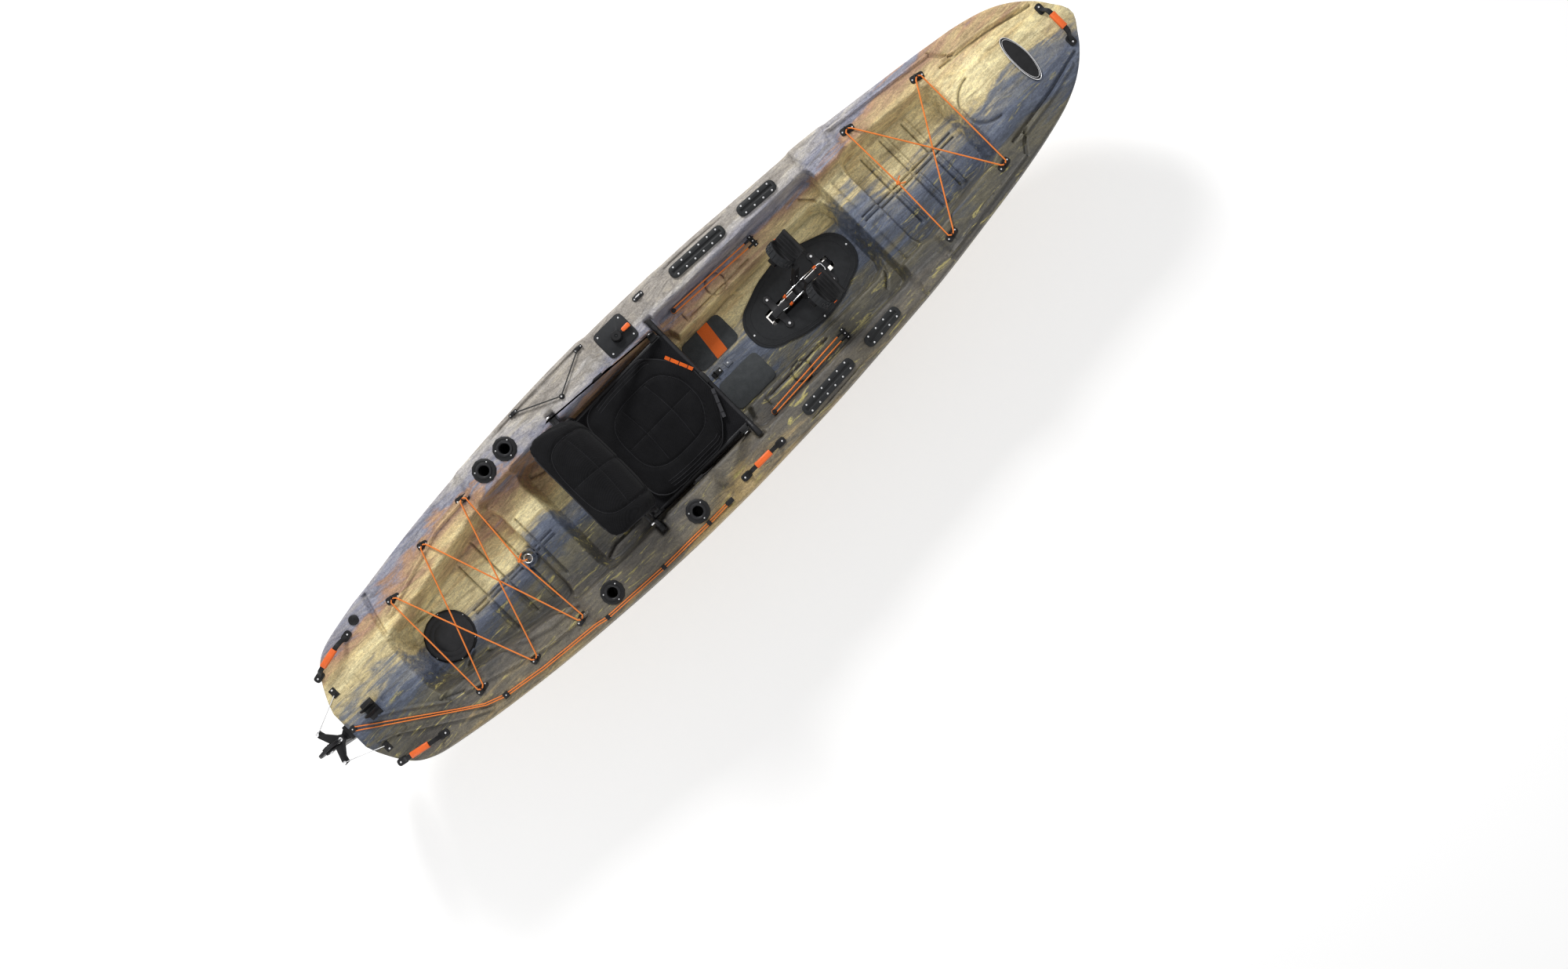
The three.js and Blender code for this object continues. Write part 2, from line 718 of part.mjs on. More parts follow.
// Rod holders: flanged tubes through the side decks.
rodHolderPlaces.forEach(([name, x, y]) => {
  const { flangeRadius, tubeRadius, boreRadius, length, flange, floor } = rodHolder;
  const body = turned([
    [0, -length],
    [tubeRadius, -length],
    [tubeRadius, 0],
    [flangeRadius, 0],
    [flangeRadius, flange * 0.6],
    [flangeRadius * 0.9, flange],
    [boreRadius, flange],
    [boreRadius, floor - length],
    [0, floor - length],
  ], rodHolder.sides);
  add(name, 'black', body.translate(x, y, rimAt(x) + boat.seat));
});

// Hatch in the floor of the stern well: a fixed ring and a round lid that lifts out.
const hatchSeatZ = sternWell.floorZ + boat.seat;
add('hatch_ring', 'black', turned([
  [hatch.holeRadius, -hatch.collar],
  [hatch.holeRadius + hatch.collarWall, -hatch.collar],
  [hatch.holeRadius + hatch.collarWall, 0],
  [hatch.ringRadius, 0],
  [hatch.ringRadius, hatch.flange * 0.6],
  [hatch.ringRadius - hatch.flange, hatch.flange],
  [hatch.holeRadius, hatch.flange],
  [hatch.holeRadius, -hatch.collar],
], ringSides).translate(hatchX, 0, hatchSeatZ));

const lidSeatZ = hatchSeatZ + hatch.flange + boat.seat;
add('hatch_lid', 'black', turned([
  [0, -hatch.spigot],
  [hatch.spigotRadius, -hatch.spigot],
  [hatch.spigotRadius, 0],
  [hatch.lidRadius, 0],
  [hatch.lidRadius, hatch.lidEdge],
  [hatch.lidRadius * 0.62, hatch.lidEdge + hatch.dome * 0.7],
  [hatch.lidRadius * 0.3, hatch.lidEdge + hatch.dome],
  [0, hatch.lidEdge + hatch.dome],
], ringSides).translate(hatchX, 0, lidSeatZ));

// Eyes for the stretch cords: a foot with an upright loop whose hole looks along the boat.
const eye = { footLength: 34, footWidth: 20, footHeight: 4, loopRadius: 9.5, wire: 2.6, rise: 11 };

/** Foot and loop of one eye at a place on a deck of the given height. */
function eyeAt(x, y, z, turn = 0) {
  const { footLength, footWidth, footHeight, loopRadius, wire, rise } = eye;
  const [half, width] = [footLength / 2, footWidth / 2];
  const foot = roundedOutline([[-width, -half], [width, -half], [width, half], [-width, half]], width, 1);
  const loop = [[0, -loopRadius, wire]];
  const arch = 3;
  for (let index = 0; index <= arch; index += 1) {
    const angle = Math.PI * (1 - index / arch);
    loop.push([0, loopRadius * Math.cos(angle), rise + loopRadius * 0.5 * Math.sin(angle)]);
  }
  loop.push([0, loopRadius, wire]);
  return joined(prism(foot, 0, footHeight), tube(loop, wire, 5)).rotateZ(turn).translate(x, y, z + boat.seat);
}

/** Places in plan from shares of the half length and the half beam. */
function placesOf(shares) {
  return shares.map(([xShare, yShare]) => [lengthAt(xShare), widthAt(yShare)]);
}

const sternEyeShares = [[-0.75958, 0.54398], [-0.64409, 0.68981], [-0.52493, 0.72917]];
const bowEyeShares = [[0.52126, 0.6412], [0.69029, 0.53241]];
const sternEyes = placesOf(sternEyeShares);
const bowEyes = placesOf(bowEyeShares);
const eyeRows = [['stern', ['aft', 'middle', 'forward'], sternEyes], ['bow', ['aft', 'forward'], bowEyes]];
eyeRows.forEach(([end, names, places]) => {
  places.forEach(([x, y], index) => {
    sideNames.forEach(([side, sign]) => {
      add(`cord_eye_${end}_${side}_${names[index]}`, 'black', eyeAt(x, sign * y, rimAt(x)));
    });
  });
});

// Stretch cords laced through the eyes. Each passes along the boat through the holes.
const cord = { radius: 3, hook: 13, apart: 4.2 };
const eyeHole = boat.seat + eye.rise - cord.radius * 0.4;

/** Points of a cord at one eye: in on one side of the hole, through it and out on the other. */
function throughEye([x, y], side, ahead) {
  const z = rimAt(x) + eyeHole;
  const inward = side * cord.hook * 0.5;
  return [
    [x - ahead * cord.hook, side * y - inward, z],
    [x - ahead * cord.hook * 0.4, side * y, z],
    [x + ahead * cord.hook * 0.4, side * y, z],
    [x + ahead * cord.hook, side * y - inward, z],
  ];
}

/** Middle of the run between two points, raised or lowered so that crossing runs stay apart. */
function midway(from, to, lift) {
  return from.map((value, axis) => (value + to[axis]) / 2 + (axis === 2 ? lift : 0));
}

/** The given legs as one route, with a middle point of its own lift between each two legs. */
function laced(legs, lifts) {
  return legs.flatMap((leg, index) => (
    index === 0 ? leg : [midway(legs[index - 1].at(-1), leg[0], lifts[index - 1]), ...leg]
  ));
}

const knot = { radius: 9, apart: 5, aftOfEye: 9 };
const knotX = { stern: sternEyes[2][0] - knot.aftOfEye, bow: bowEyes[0][0] - knot.aftOfEye };
const sternKnotZ = rimAt(knotX.stern) + eyeHole;
const [sternAft, sternMiddle, sternForward] = sternEyes;
const sternCord = tube(laced([
  [[knotX.stern, knot.apart, sternKnotZ]],
  throughEye(sternForward, 1, -1),
  throughEye(sternMiddle, -1, -1),
  throughEye(sternAft, 1, -1),
  throughEye(sternAft, -1, 1),
  throughEye(sternMiddle, 1, 1),
  throughEye(sternForward, -1, 1),
  [[knotX.stern, -knot.apart, sternKnotZ]],
], [0, cord.apart, cord.apart, 0, -cord.apart, -cord.apart, 0]), cord.radius);
add('stern_bungee', 'black', joined(
  sternCord,
  new THREE.SphereGeometry(knot.radius, cordSides, 5).translate(knotX.stern, 0, sternKnotZ),
));

const bowKnotZ = rimAt(knotX.bow) + eyeHole;
const [bowAft, bowForward] = bowEyes;
const bowCord = tube(laced([
  [[knotX.bow, knot.apart, bowKnotZ]],
  throughEye(bowAft, 1, 1),
  throughEye(bowForward, -1, 1),
  throughEye(bowForward, 1, -1),
  throughEye(bowAft, -1, -1),
  [[knotX.bow, -knot.apart, bowKnotZ]],
], [0, cord.apart, 0, -cord.apart, 0]), cord.radius);
add('bow_bungee', 'black', joined(
  bowCord,
  new THREE.SphereGeometry(knot.radius, cordSides, 5).translate(knotX.bow, 0, bowKnotZ),
));

// Doubled side cords in the cockpit: round a peg aft and held by a double hook forward.
const sideCord = {
  pegXShare: 0.03045, pegInset: 28, hookXShare: 0.2315, hookInset: 38, apart: 11, radius: 3, height: 20,
  pegRadius: 6, hookLength: 34,
};
sideNames.forEach(([side, sign]) => {
  const { apart, radius, height, pegRadius, hookLength } = sideCord;
  const [pegX, pegY] = [lengthAt(sideCord.pegXShare), cockpit.aftHalf - sideCord.pegInset];
  const [hookX, hookY] = [lengthAt(sideCord.hookXShare), cockpit.frontHalf - sideCord.hookInset];
  const z = cockpit.floorZ + height;
  const reach = pegRadius + radius * 0.7;
  const turnPoints = 4;
  const turnAtPeg = Array.from({ length: turnPoints }, (_, index) => {
    const angle = Math.PI / 2 + (Math.PI * index) / (turnPoints - 1);
    return [pegX + reach * Math.cos(angle), sign * (pegY + reach * Math.sin(angle)), z];
  });
  const line = tube([
    [hookX, sign * (hookY + apart), z],
    ...turnAtPeg,
    [hookX, sign * (hookY - apart), z],
  ], radius);
  const low = cockpit.floorZ + boat.seat;
  const peg = bar([pegX, sign * pegY, low], [pegX, sign * pegY, z + 2 * radius], pegRadius, cordSides);
  const hook = block(
    [hookX - radius, Math.min(sign * (hookY - 2 * apart), sign * (hookY + 2 * apart)), low],
    [hookX + hookLength, Math.max(sign * (hookY - 2 * apart), sign * (hookY + 2 * apart)), z + 2 * radius],
  );
  add(`side_bungee_${side}`, 'orange', joined(line, peg, hook));
});

// Cord that holds a paddle on the port gunwale: a V with its point at a button.
const paddleCord = {
  aftX: lengthAt(-0.33491), frontX: lengthAt(-0.15013), outY: widthAt(0.93056), buttonX: lengthAt(-0.24409),
  buttonY: widthAt(0.73843), radius: 2.5, button: 11, height: 9,
};
{
  const { aftX, frontX, outY, buttonX, buttonY, radius, button, height } = paddleCord;
  const stubs = [[aftX, outY], [frontX - button, outY], [buttonX, buttonY]].map(([x, y]) => (
    bar([x, y, rimAt(x) + boat.seat], [x, y, rimAt(x) + height + radius], button, cordSides)
  ));
  const z = rimAt(buttonX) + height;
  add('paddle_cord', 'black', joined(
    tube([[aftX, outY, z], [buttonX, buttonY, z], [frontX - button, outY, z]], radius),
    ...stubs,
  ));
}

// Carrying handles: two feet, a bent bar and a thicker grip.
const handle = { height: 46, bar: 8, grip: 12, gripShare: 0.46, footLength: 46, footWidth: 30, footHeight: 6 };
const spans = { stern: 176, midship: 172, bow: 158 };
// Name, shares of the half length and of the half beam, distance between the feet, and turn.
const handleShares = [
  ['handle_stern_port', -0.91864, 0.55093, spans.stern, 0.205],
  ['handle_stern_starboard', -0.91864, -0.55093, spans.stern, -0.205],
  ['handle_midship_starboard', -0.05249, -0.86574, spans.midship, 0],
  ['handle_bow', 0.94908, 0, spans.bow, Math.PI / 2],
];
handleShares.forEach(([name, xShare, yShare, span, turn]) => {
  const [x, y] = [lengthAt(xShare), widthAt(yShare)];
  const { height, bar: wire, grip, gripShare, footLength, footWidth, footHeight } = handle;
  const half = span / 2;
  const path = bent([
    [-half, 0, 0],
    [-half * 0.62, 0, height],
    [half * 0.62, 0, height],
    [half, 0, 0],
  ], height * 0.5, 2);
  const feet = [-1, 1].map((end) => {
    const ring = roundedOutline([
      [-footLength / 2, -footWidth / 2],
      [footLength / 2, -footWidth / 2],
      [footLength / 2, footWidth / 2],
      [-footLength / 2, footWidth / 2],
    ], footWidth / 2, 1);
    return prism(ring, 0, footHeight).translate(end * (half + wire * 0.4), 0, 0);
  });
  const body = joined(
    cut(tube(path, wire), block([-span, -span, -span], [span, span, 0])),
    bar([-half * gripShare, 0, height], [half * gripShare, 0, height], grip, cordSides),
    ...feet,
  );
  add(name, 'black', body.rotateZ(turn).translate(x, y, rimAt(x) + boat.seat));
});

// Drain plug in the stern deck.
add('drain_plug', 'black', turned([
  [0, -drain.neckLength],
  [drain.neck, -drain.neckLength],
  [drain.neck, 0],
  [drain.head, 0],
  [drain.head, drain.headHeight * 0.7],
  [drain.head * 0.85, drain.headHeight],
  [0, drain.headHeight],
]).translate(...drainPlace, rimAt(drainPlace[0]) + boat.seat));

// Soft pads on the footwell floor.
const floorPad = { aftShare: -0.0147, frontShare: 0.09239, innerY: 38, inset: 23, corner: 26, thickness: 4 };
sideNames.forEach(([side, sign]) => {
  const { innerY, inset, corner, thickness } = floorPad;
  const [aftX, frontX] = [lengthAt(floorPad.aftShare), lengthAt(floorPad.frontShare)];
  const outerY = footwell.aftHalf - inset;
  const ring = roundedOutline([
    [aftX, sign * innerY], [frontX, sign * innerY], [frontX, sign * outerY], [aftX, sign * outerY],
  ], corner);
  const low = footwell.floorZ + boat.seat;
  add(`floor_pad_${side}`, 'rubber', prism(ring, low, low + thickness));
});

// Cleat on the stern deck that holds the raised rudder blade between two ears.
const cleat = {
  x: lengthAt(-0.93701), length: 50, halfFoot: 36, foot: 6, halfSlot: 8, ear: 9, height: 54, slotFloor: 8,
};
{
  const { x, length, halfFoot, foot, halfSlot, ear, height, slotFloor } = cleat;
  const half = [
    [halfFoot, 0],
    [halfFoot, foot],
    [halfSlot + 1.4 * ear, 2 * foot],
    [halfSlot + ear, height * 0.85],
    [halfSlot + 0.6 * ear, height],
    [halfSlot, height * 0.8],
    [halfSlot, slotFloor],
  ];
  const outline = [...half, ...half.map(([y, z]) => [-y, z]).reverse()];
  add('stow_cleat', 'black', plank(outline, x - length / 2, x + length / 2)
    .translate(0, 0, rimAt(x) + boat.seat));
}

// Rudder: bracket on the transom, head that steers about an upright pin, and blade that kicks up.
// Heights are told from the stern deck, and the pivot's parts from the pivot.
const sternDeckZ = rimAt(cleat.x);
const rudderRises = {
  pinLow: -57.9, blockLow: -44.9, lugLow: -37.9, lugTop: -21.9, blockTop: -17.9, armLow: -14.9, armTop: -5.9,
  sleeveTop: 4.1, pinTop: 6.1, postTop: 6.1, pivotZ: 46.1,
};
const rudderHeights = Object.fromEntries(
  Object.entries(rudderRises).map(([name, rise]) => [name, sternDeckZ + rise]),
);
const rudderReach = { steer: 40, pivot: 80 };
const rudder = {
  ...rudderHeights, steerX: -boat.halfLength - rudderReach.steer, pivotX: -boat.halfLength - rudderReach.pivot,
  pin: 6, lug: 12, blockHalf: 30, blockLength: 18, sleeve: 12.5, fit: 0.5, cheekInner: 7, cheek: 6, armReach: 80,
  post: 4, postInset: 8, postAft: 10, disc: 44, discHalf: 6, bladeHalf: 4, axle: 5, bladeLength: 478,
};
// Arms of the head in plan: lengths aft of the pivot, which are positive, for each corner.
const armCorners = { shoulder: -6, tipFront: 0, tipAft: 20, elbow: 22, armpit: 4, tail: 26, slotFront: -28 };
// Side view of a cheek: half widths and rises above the pivot.
const cheekSizes = { foot: 24, waist: 22, brow: 15, browRise: 16, crownRise: 22 };
// Blade outline below its pivot, as shares of the blade's length.
const bladeShares = [
  [-0.045, -0.06], [-0.045, -0.255], [-0.061, -0.318], [-0.092, -0.356], [-0.128, -0.4],
  [-0.146, -0.47], [-0.15, -0.563], [-0.14, -0.655], [-0.128, -0.776], [-0.105, -0.887],
  [-0.067, -0.948], [-0.031, -0.985], [0, -1], [0.031, -0.979], [0.048, -0.912],
  [0.061, -0.776], [0.071, -0.623], [0.071, -0.502], [0.067, -0.41], [0.061, -0.287],
  [0.04, -0.226], [0.04, -0.06],
];
{
  const r = rudder;
  const transomX = -boat.halfLength - boat.seat;
  add('rudder_bracket', 'black', joined(
    block([transomX - r.blockLength, -r.blockHalf, r.blockLow], [transomX, r.blockHalf, r.blockTop]),
    prism([
      [transomX - r.blockLength / 2, -r.blockHalf],
      [transomX - r.blockLength / 2, r.blockHalf],
      [r.steerX, r.lug],
      [r.steerX, -r.lug],
    ], r.lugLow, r.lugTop),
    prism(circle([r.steerX, 0], r.lug), r.lugLow, r.lugTop),
    prism(circle([r.steerX, 0], r.pin), r.pinLow, r.pinTop),
  ));

  const c = armCorners;
  const outside = r.cheekInner + r.cheek;
  const armSide = [
    [r.steerX + r.sleeve, 0],
    [r.steerX + r.sleeve * 0.8, r.sleeve],
    [r.steerX - r.sleeve * 0.4, r.sleeve * 1.7],
    [r.pivotX - c.shoulder, r.armReach * 0.7],
    [r.pivotX - c.tipFront, r.armReach],
    [r.pivotX - c.tipAft, r.armReach],
    [r.pivotX - c.elbow, r.armReach * 0.78],
    [r.pivotX - c.armpit, outside],
    [r.pivotX - c.tail, outside],
    [r.pivotX - c.tail, r.cheekInner],
    [r.pivotX - c.slotFront, r.cheekInner],
  ];
  const arms = [...armSide, ...armSide.slice(1).map(([x, y]) => [x, -y]).reverse()];
  const h = cheekSizes;
  const cheekRing = [
    [r.pivotX - h.foot, r.armLow],
    [r.pivotX + h.foot, r.armLow],
    [r.pivotX + h.waist, r.pivotZ],
    [r.pivotX + h.brow, r.pivotZ + h.browRise],
    [r.pivotX, r.pivotZ + h.crownRise],
    [r.pivotX - h.brow, r.pivotZ + h.browRise],
    [r.pivotX - h.waist, r.pivotZ],
  ];
  const cheeks = sideNames.map(([, sign]) => {
    const [inner, outer] = [sign * r.cheekInner, sign * outside];
    return slab(cheekRing, Math.min(inner, outer), Math.max(inner, outer));
  });
  const posts = sideNames.map(([, sign]) => (
    prism(circle([r.pivotX - r.postAft, sign * (r.armReach - r.postInset)], r.post, 10), r.armLow, r.postTop)
  ));
  add('rudder_head', 'black', cut(
    joined(
      prism(arms, r.armLow, r.armTop),
      prism(circle([r.steerX, 0], r.sleeve), r.lugTop + boat.seat, r.sleeveTop),
      ...cheeks,
      ...posts,
      bar(
        [r.pivotX, -r.cheekInner - r.cheek * 0.5, r.pivotZ],
        [r.pivotX, r.cheekInner + r.cheek * 0.5, r.pivotZ],
        r.axle,
      ),
    ),
    prism(circle([r.steerX, 0], r.pin + r.fit), r.blockLow, r.pivotZ),
  ));

  const sail = bladeShares.map(([x, z]) => [r.pivotX + x * r.bladeLength, r.pivotZ + z * r.bladeLength]);
  add('rudder_blade', 'black', cut(
    joined(
      slab(sail, -r.bladeHalf, r.bladeHalf),
      slab(circle([r.pivotX, r.pivotZ], r.disc, 20), -r.discHalf, r.discHalf),
    ),
    bar([r.pivotX, -r.disc, r.pivotZ], [r.pivotX, r.disc, r.pivotZ], r.axle + r.fit),
  ));
}

// Steering cables from boots in the stern deck to the arms of the rudder head.
const cable = {
  exitX: lengthAt(-0.96745), exitY: widthAt(0.3125), radius: 2, boot: 9, bootHeight: 9, height: 3.4,
};
sideNames.forEach(([side, sign]) => {
  const { exitX, exitY, radius, boot, bootHeight, height } = cable;
  const z = rimAt(exitX) + height;
  const end = new THREE.Vector2(rudder.pivotX - rudder.postAft, rudder.armReach - rudder.postInset);
  const start = new THREE.Vector2(exitX, exitY);
  const back = start.clone().sub(end).normalize().multiplyScalar(rudder.post + boat.seat);
  end.add(back);
  add(`rudder_cable_${side}`, 'steel', joined(
    tube([[start.x, sign * start.y, z], [end.x, sign * end.y, z]], radius),
    turned([
      [0, 0], [boot, 0], [boot * 0.55, bootHeight], [0, bootHeight],
    ], 12).translate(exitX, sign * exitY, rimAt(exitX) + boat.seat),
  ));
});

// Lines that raise and lower the blade, along the starboard gunwale to a grip beside the seat:
// shares of the half length and the half beam, and height over the rim as a share of the rim height.
const routeShares = [
  [-0.99108, -0.03241, 0.01113],
  [-0.81890, -0.54630, 0.01278],
  [-0.77690, -0.67593, 0.01937],
  [-0.73491, -0.74537, 0.01765],
  [-0.64409, -0.81019, 0.01664],
  [-0.51706, -0.86574, 0.01686],
  [-0.50499, -0.87500, 0.02762],
  [-0.49134, -0.88889, 0.01856],
  [-0.48399, -0.89352, 0.01845],
  [-0.33806, -0.93056, 0.01903],
  [-0.21470, -0.93519, 0.01722],
  [-0.15748, -0.93056, 0.01638],
];
const lines = {
  radius: 2, apart: 9, clipHalf: 8, clipSpread: 5, clipTop: 9, guideHalf: 12, gripLength: 34, gripHeight: 16,
};
{
  const { radius, apart, clipHalf, clipSpread, clipTop, guideHalf, gripLength, gripHeight } = lines;
  const route = routeShares.map(([xShare, yShare, riseShare]) => [
    lengthAt(xShare), widthAt(yShare), rimAt(lengthAt(xShare)) + levelAt(riseShare),
  ]);
  const ropes = [0, 1].map((index) => tube(route.map(([x, y, z], place) => (
    place === 0 ? [x, y + index * apart * 2, z] : [x, y + index * apart, z]
  )), radius));
  const clip = ([x, y], half, top) => block(
    [x - half, y - clipSpread, rimAt(x) + boat.seat],
    [x + half, y + apart + clipSpread, rimAt(x) + top],
  );
  const clips = [route[8], route[9], route[10]].map((place) => clip(place, clipHalf, clipTop));
  const guides = [route[0], route[3]].map((place) => clip(place, guideHalf, clipTop));
  const grip = clip(route.at(-1), gripLength / 2, gripHeight);
  add('rudder_lines', 'orange', joined(...ropes, ...clips, ...guides, grip));
}

// Steering lever on its plate on the port side deck.
const steering = {
  plateAftX: lengthAt(-0.12388), plateFrontX: lengthAt(-0.04934), plateInY: widthAt(0.65741),
  plateOutY: widthAt(0.93056), plate: 5, corner: 22, x: lengthAt(-0.08556), y: widthAt(0.78241), pin: 6,
  pinHeight: 24, hub: 23, hubHeight: 26, arm: 16, reach: 66, armThick: 10, fit: 0.5,
};
{
  const t = steering;
  const low = rimAt(t.x) + boat.seat;
  const ring = roundedOutline([
    [t.plateAftX, t.plateInY],
    [t.plateFrontX, t.plateInY],
    [t.plateFrontX, t.plateOutY],
    [t.plateAftX, t.plateOutY],
  ], t.corner);
  add('steering_plate', 'black', joined(
    prism(ring, low, low + t.plate),
    prism(circle([t.x, t.y], t.pin), low, low + t.plate + t.pinHeight),
  ));
  const leverLow = low + t.plate + boat.seat;
  const armLow = leverLow + (t.hubHeight - t.armThick) / 2;
  add('steering_lever', 'orange', cut(
    joined(
      turned([
        [0, 0], [t.hub, 0], [t.hub, t.hubHeight * 0.75], [t.hub * 0.8, t.hubHeight], [0, t.hubHeight],
      ], 20).translate(t.x, t.y, leverLow),
      prism(roundedOutline([
        [t.x, t.y - t.arm / 2],
        [t.x + t.reach, t.y - t.arm / 3],
        [t.x + t.reach, t.y + t.arm / 3],
        [t.x, t.y + t.arm / 2],
      ], t.arm / 3), armLow, armLow + t.armThick),
    ),
    prism(circle([t.x, t.y], t.pin + t.fit), 0, leverLow + t.pinHeight + 2 * t.fit),
  ));
}

// Seat: a tube frame on four feet, with lugs for the back and for the straps.
const seatReach = {
  drop: 18, lugIn: 3, lugOut: 13, strapLugOut: 23.5, strap: 23.9, pad: 8, frameInset: 16, hubInset: 18,
  hubOut: 2.7, strapPinOut: 36, headInset: 46, railFrontFall: 22, railRearFall: 90, hingeFront: 32, hingeRise: 10,
  strapLugAft: 31, strapLugRise: 33, padAft: 17, padFront: 3,
};
const seat = {
  railY,
  dropY: railY + seatReach.drop,
  railFrontZ: seatFoot.frontZ - seatReach.railFrontFall,
  railRearZ: seatFoot.rearZ - seatReach.railRearFall,
  hingeX: seatFoot.rearX + seatReach.hingeFront,
  hingeZ: seatFoot.rearZ + seatReach.hingeRise,
  lugIn: railY + seatReach.lugIn,
  lugOut: railY + seatReach.lugOut,
  strapLugX: seatFoot.frontX - seatReach.strapLugAft,
  strapLugOut: railY + seatReach.strapLugOut,
  strapLugTop: seatFoot.frontZ + seatReach.strapLugRise,
  tube: 11, sling: 4, pin: 6, fit: 0.5, lugAft: 30, lugFront: 17, strapLugHalf: 16,
};

/** Height of the middle of the side rails. */
function railAt(x) {
  const part = (x - seatFoot.rearX) / (seatFoot.frontX - seatFoot.rearX);
  return THREE.MathUtils.lerp(seat.railRearZ, seat.railFrontZ, part);
}

{
  const s = seat;
  const crossBar = (x, footZ, railZ) => tube(bent([
    [x, -seatFoot.reach, footZ],
    [x, -s.dropY, footZ],
    [x, -s.railY, railZ],
    [x, s.railY, railZ],
    [x, s.dropY, footZ],
    [x, seatFoot.reach, footZ],
  ], s.tube * 0.7, 1), s.tube);
  const parts = [
    crossBar(seatFoot.frontX, seatFoot.frontZ, s.railFrontZ),
    crossBar(seatFoot.rearX, seatFoot.rearZ, s.railRearZ),
    slab([
      [seatFoot.frontX, s.railFrontZ + s.tube],
      [seatFoot.rearX, s.railRearZ + s.tube],
      [seatFoot.rearX, s.railRearZ + s.tube - s.sling],
      [seatFoot.frontX, s.railFrontZ + s.tube - s.sling],
    ], -s.railY, s.railY),
  ];
  sideNames.forEach(([, sign]) => {
    const across = (inner, outer) => [Math.min(sign * inner, sign * outer), Math.max(sign * inner, sign * outer)];
    parts.push(bar(
      [seatFoot.frontX, sign * s.railY, s.railFrontZ],
      [seatFoot.rearX, sign * s.railY, s.railRearZ],
      s.tube,
      cordSides,
    ));
    parts.push(slab([
      [s.hingeX - s.lugAft, s.railRearZ],
      [s.hingeX + s.lugFront, s.railRearZ],
      [s.hingeX + s.lugFront, s.hingeZ],
      [s.hingeX + s.lugFront * 0.6, s.hingeZ + s.lugFront * 0.8],
      [s.hingeX - s.lugFront * 0.6, s.hingeZ + s.lugFront * 0.8],
      [s.hingeX - s.lugAft * 0.8, s.hingeZ],
    ], ...across(s.lugIn, s.lugOut)));
    const pinEnds = across(s.lugIn - 2 * s.lugFront, s.lugOut - boat.seat);
    parts.push(bar([s.hingeX, pinEnds[0], s.hingeZ], [s.hingeX, pinEnds[1], s.hingeZ], s.pin, 10));
    const strapY = across(s.railY, s.strapLugOut);
    parts.push(block(
      [s.strapLugX - s.strapLugHalf, strapY[0], railAt(s.strapLugX)],
      [s.strapLugX + s.strapLugHalf, strapY[1], railAt(s.strapLugX) + 2 * s.strapLugHalf],
    ));
    const lugY = across(s.strapLugOut - s.sling, s.strapLugOut);
    parts.push(block(
      [s.strapLugX - s.strapLugHalf, lugY[0], railAt(s.strapLugX)],
      [s.strapLugX + s.strapLugHalf, lugY[1], s.strapLugTop],
    ));
  });
  add('seat_frame', 'black', joined(...parts));
}

/** Depth of a sewn channel at a distance from its line. */
function channel(distance, depth, width) {
  return depth * Math.exp(-((distance / width) ** 2));
}

/** Fullness of a pad, one inside and falling to nothing at its rim. */
function fullness(u, v) {
  return Math.sqrt(Math.max(0, (1 - Math.abs(u) ** 5) * (1 - Math.abs(v) ** 5)));
}

// Seat cushion: crowned, with drawn-in sides, an oval panel, a middle seam and cross channels.
const cushion = {
  aftX: seat.hingeX + seatReach.padAft, frontX: seatFoot.frontX + seatReach.padFront,
  halfWidth: railY + seatReach.pad,
  thickness: 34, crown: 7, hollow: 5, channelDepth: 6, channelWidth: 15,
  ovalLengthShare: 0.74, ovalWidthShare: 0.66, rows: 19, columns: 14,
};
{
  const c = cushion;
  const halfLength = (c.frontX - c.aftX) / 2;
  const crossShares = [-0.36, 0.02, 0.4];
  add('seat_cushion', 'charcoal', pad(c.rows, c.columns, (u, v, side) => {
    const corner = 1 - 0.11 * Math.abs(u) ** 6;
    const x = (c.frontX + c.aftX) / 2 + u * halfLength * (1 - 0.06 * Math.abs(v) ** 6);
    const y = v * c.halfWidth * corner;
    const base = railAt(x) + seat.tube + boat.seat;
    const full = fullness(u, v);
    if (side < 0) return new THREE.Vector3(x, y, base + c.thickness * 0.4 * (1 - full));
    const oval = (Math.hypot(u / c.ovalLengthShare, v / c.ovalWidthShare) - 1) * c.halfWidth * c.ovalWidthShare;
    const inOval = oval < 0 ? 1 : 0;
    const cross = Math.min(...crossShares.map((share) => Math.abs(u - share + 0.14 * v * v) * halfLength));
    const sewn = channel(oval, c.channelDepth, c.channelWidth)
      + inOval * channel(y, c.channelDepth * 0.7, c.channelWidth)
      + inOval * channel(cross, c.channelDepth * 0.6, c.channelWidth);
    const crown = c.crown * (1 - v * v) - c.hollow * inOval * (1 - v * v);
    const lift = c.thickness * (0.4 + 0.6 * full) + full * (crown - sewn);
    return new THREE.Vector3(x, y, base + lift);
  }));
}

// Back: a bent tube frame on the hinge pins, with a padded front that curls aft at the head.
const back = {
  frameY: railY - seatReach.frameInset, hubIn: railY - seatReach.hubInset, hubOut: railY + seatReach.hubOut,
  strapPinOut: railY + seatReach.strapPinOut, headHalf: railY - seatReach.headInset,
  tube: 10, hub: 12.5, strapPin: 5, headFlare: 24, padOffset: 8.7, thickness: 40, crown: 8,
  halfWidth: railY, headWidthShare: 0.84, channelDepth: 7, channelWidth: 15, length: 320, bend: 40,
  ovalLengthShare: 0.76, ovalWidthShare: 0.64, rows: 18, columns: 12,
};
// Side view of the back from the hinge up, as shares of its length, then the ends of its cushion.
const backShares = [[0, 0], [-0.04063, 0.3375], [-0.08125, 0.61875], [-0.22813, 0.84375], [-0.50313, 1.0]];
const padEndShares = [[-0.00625, 0.06875], [-0.47813, 0.99063]];

/** Place on the side view of the back from its shares. */
function backPlace([xShare, zShare]) {
  return [seat.hingeX + back.length * xShare, seat.hingeZ + back.length * zShare];
}

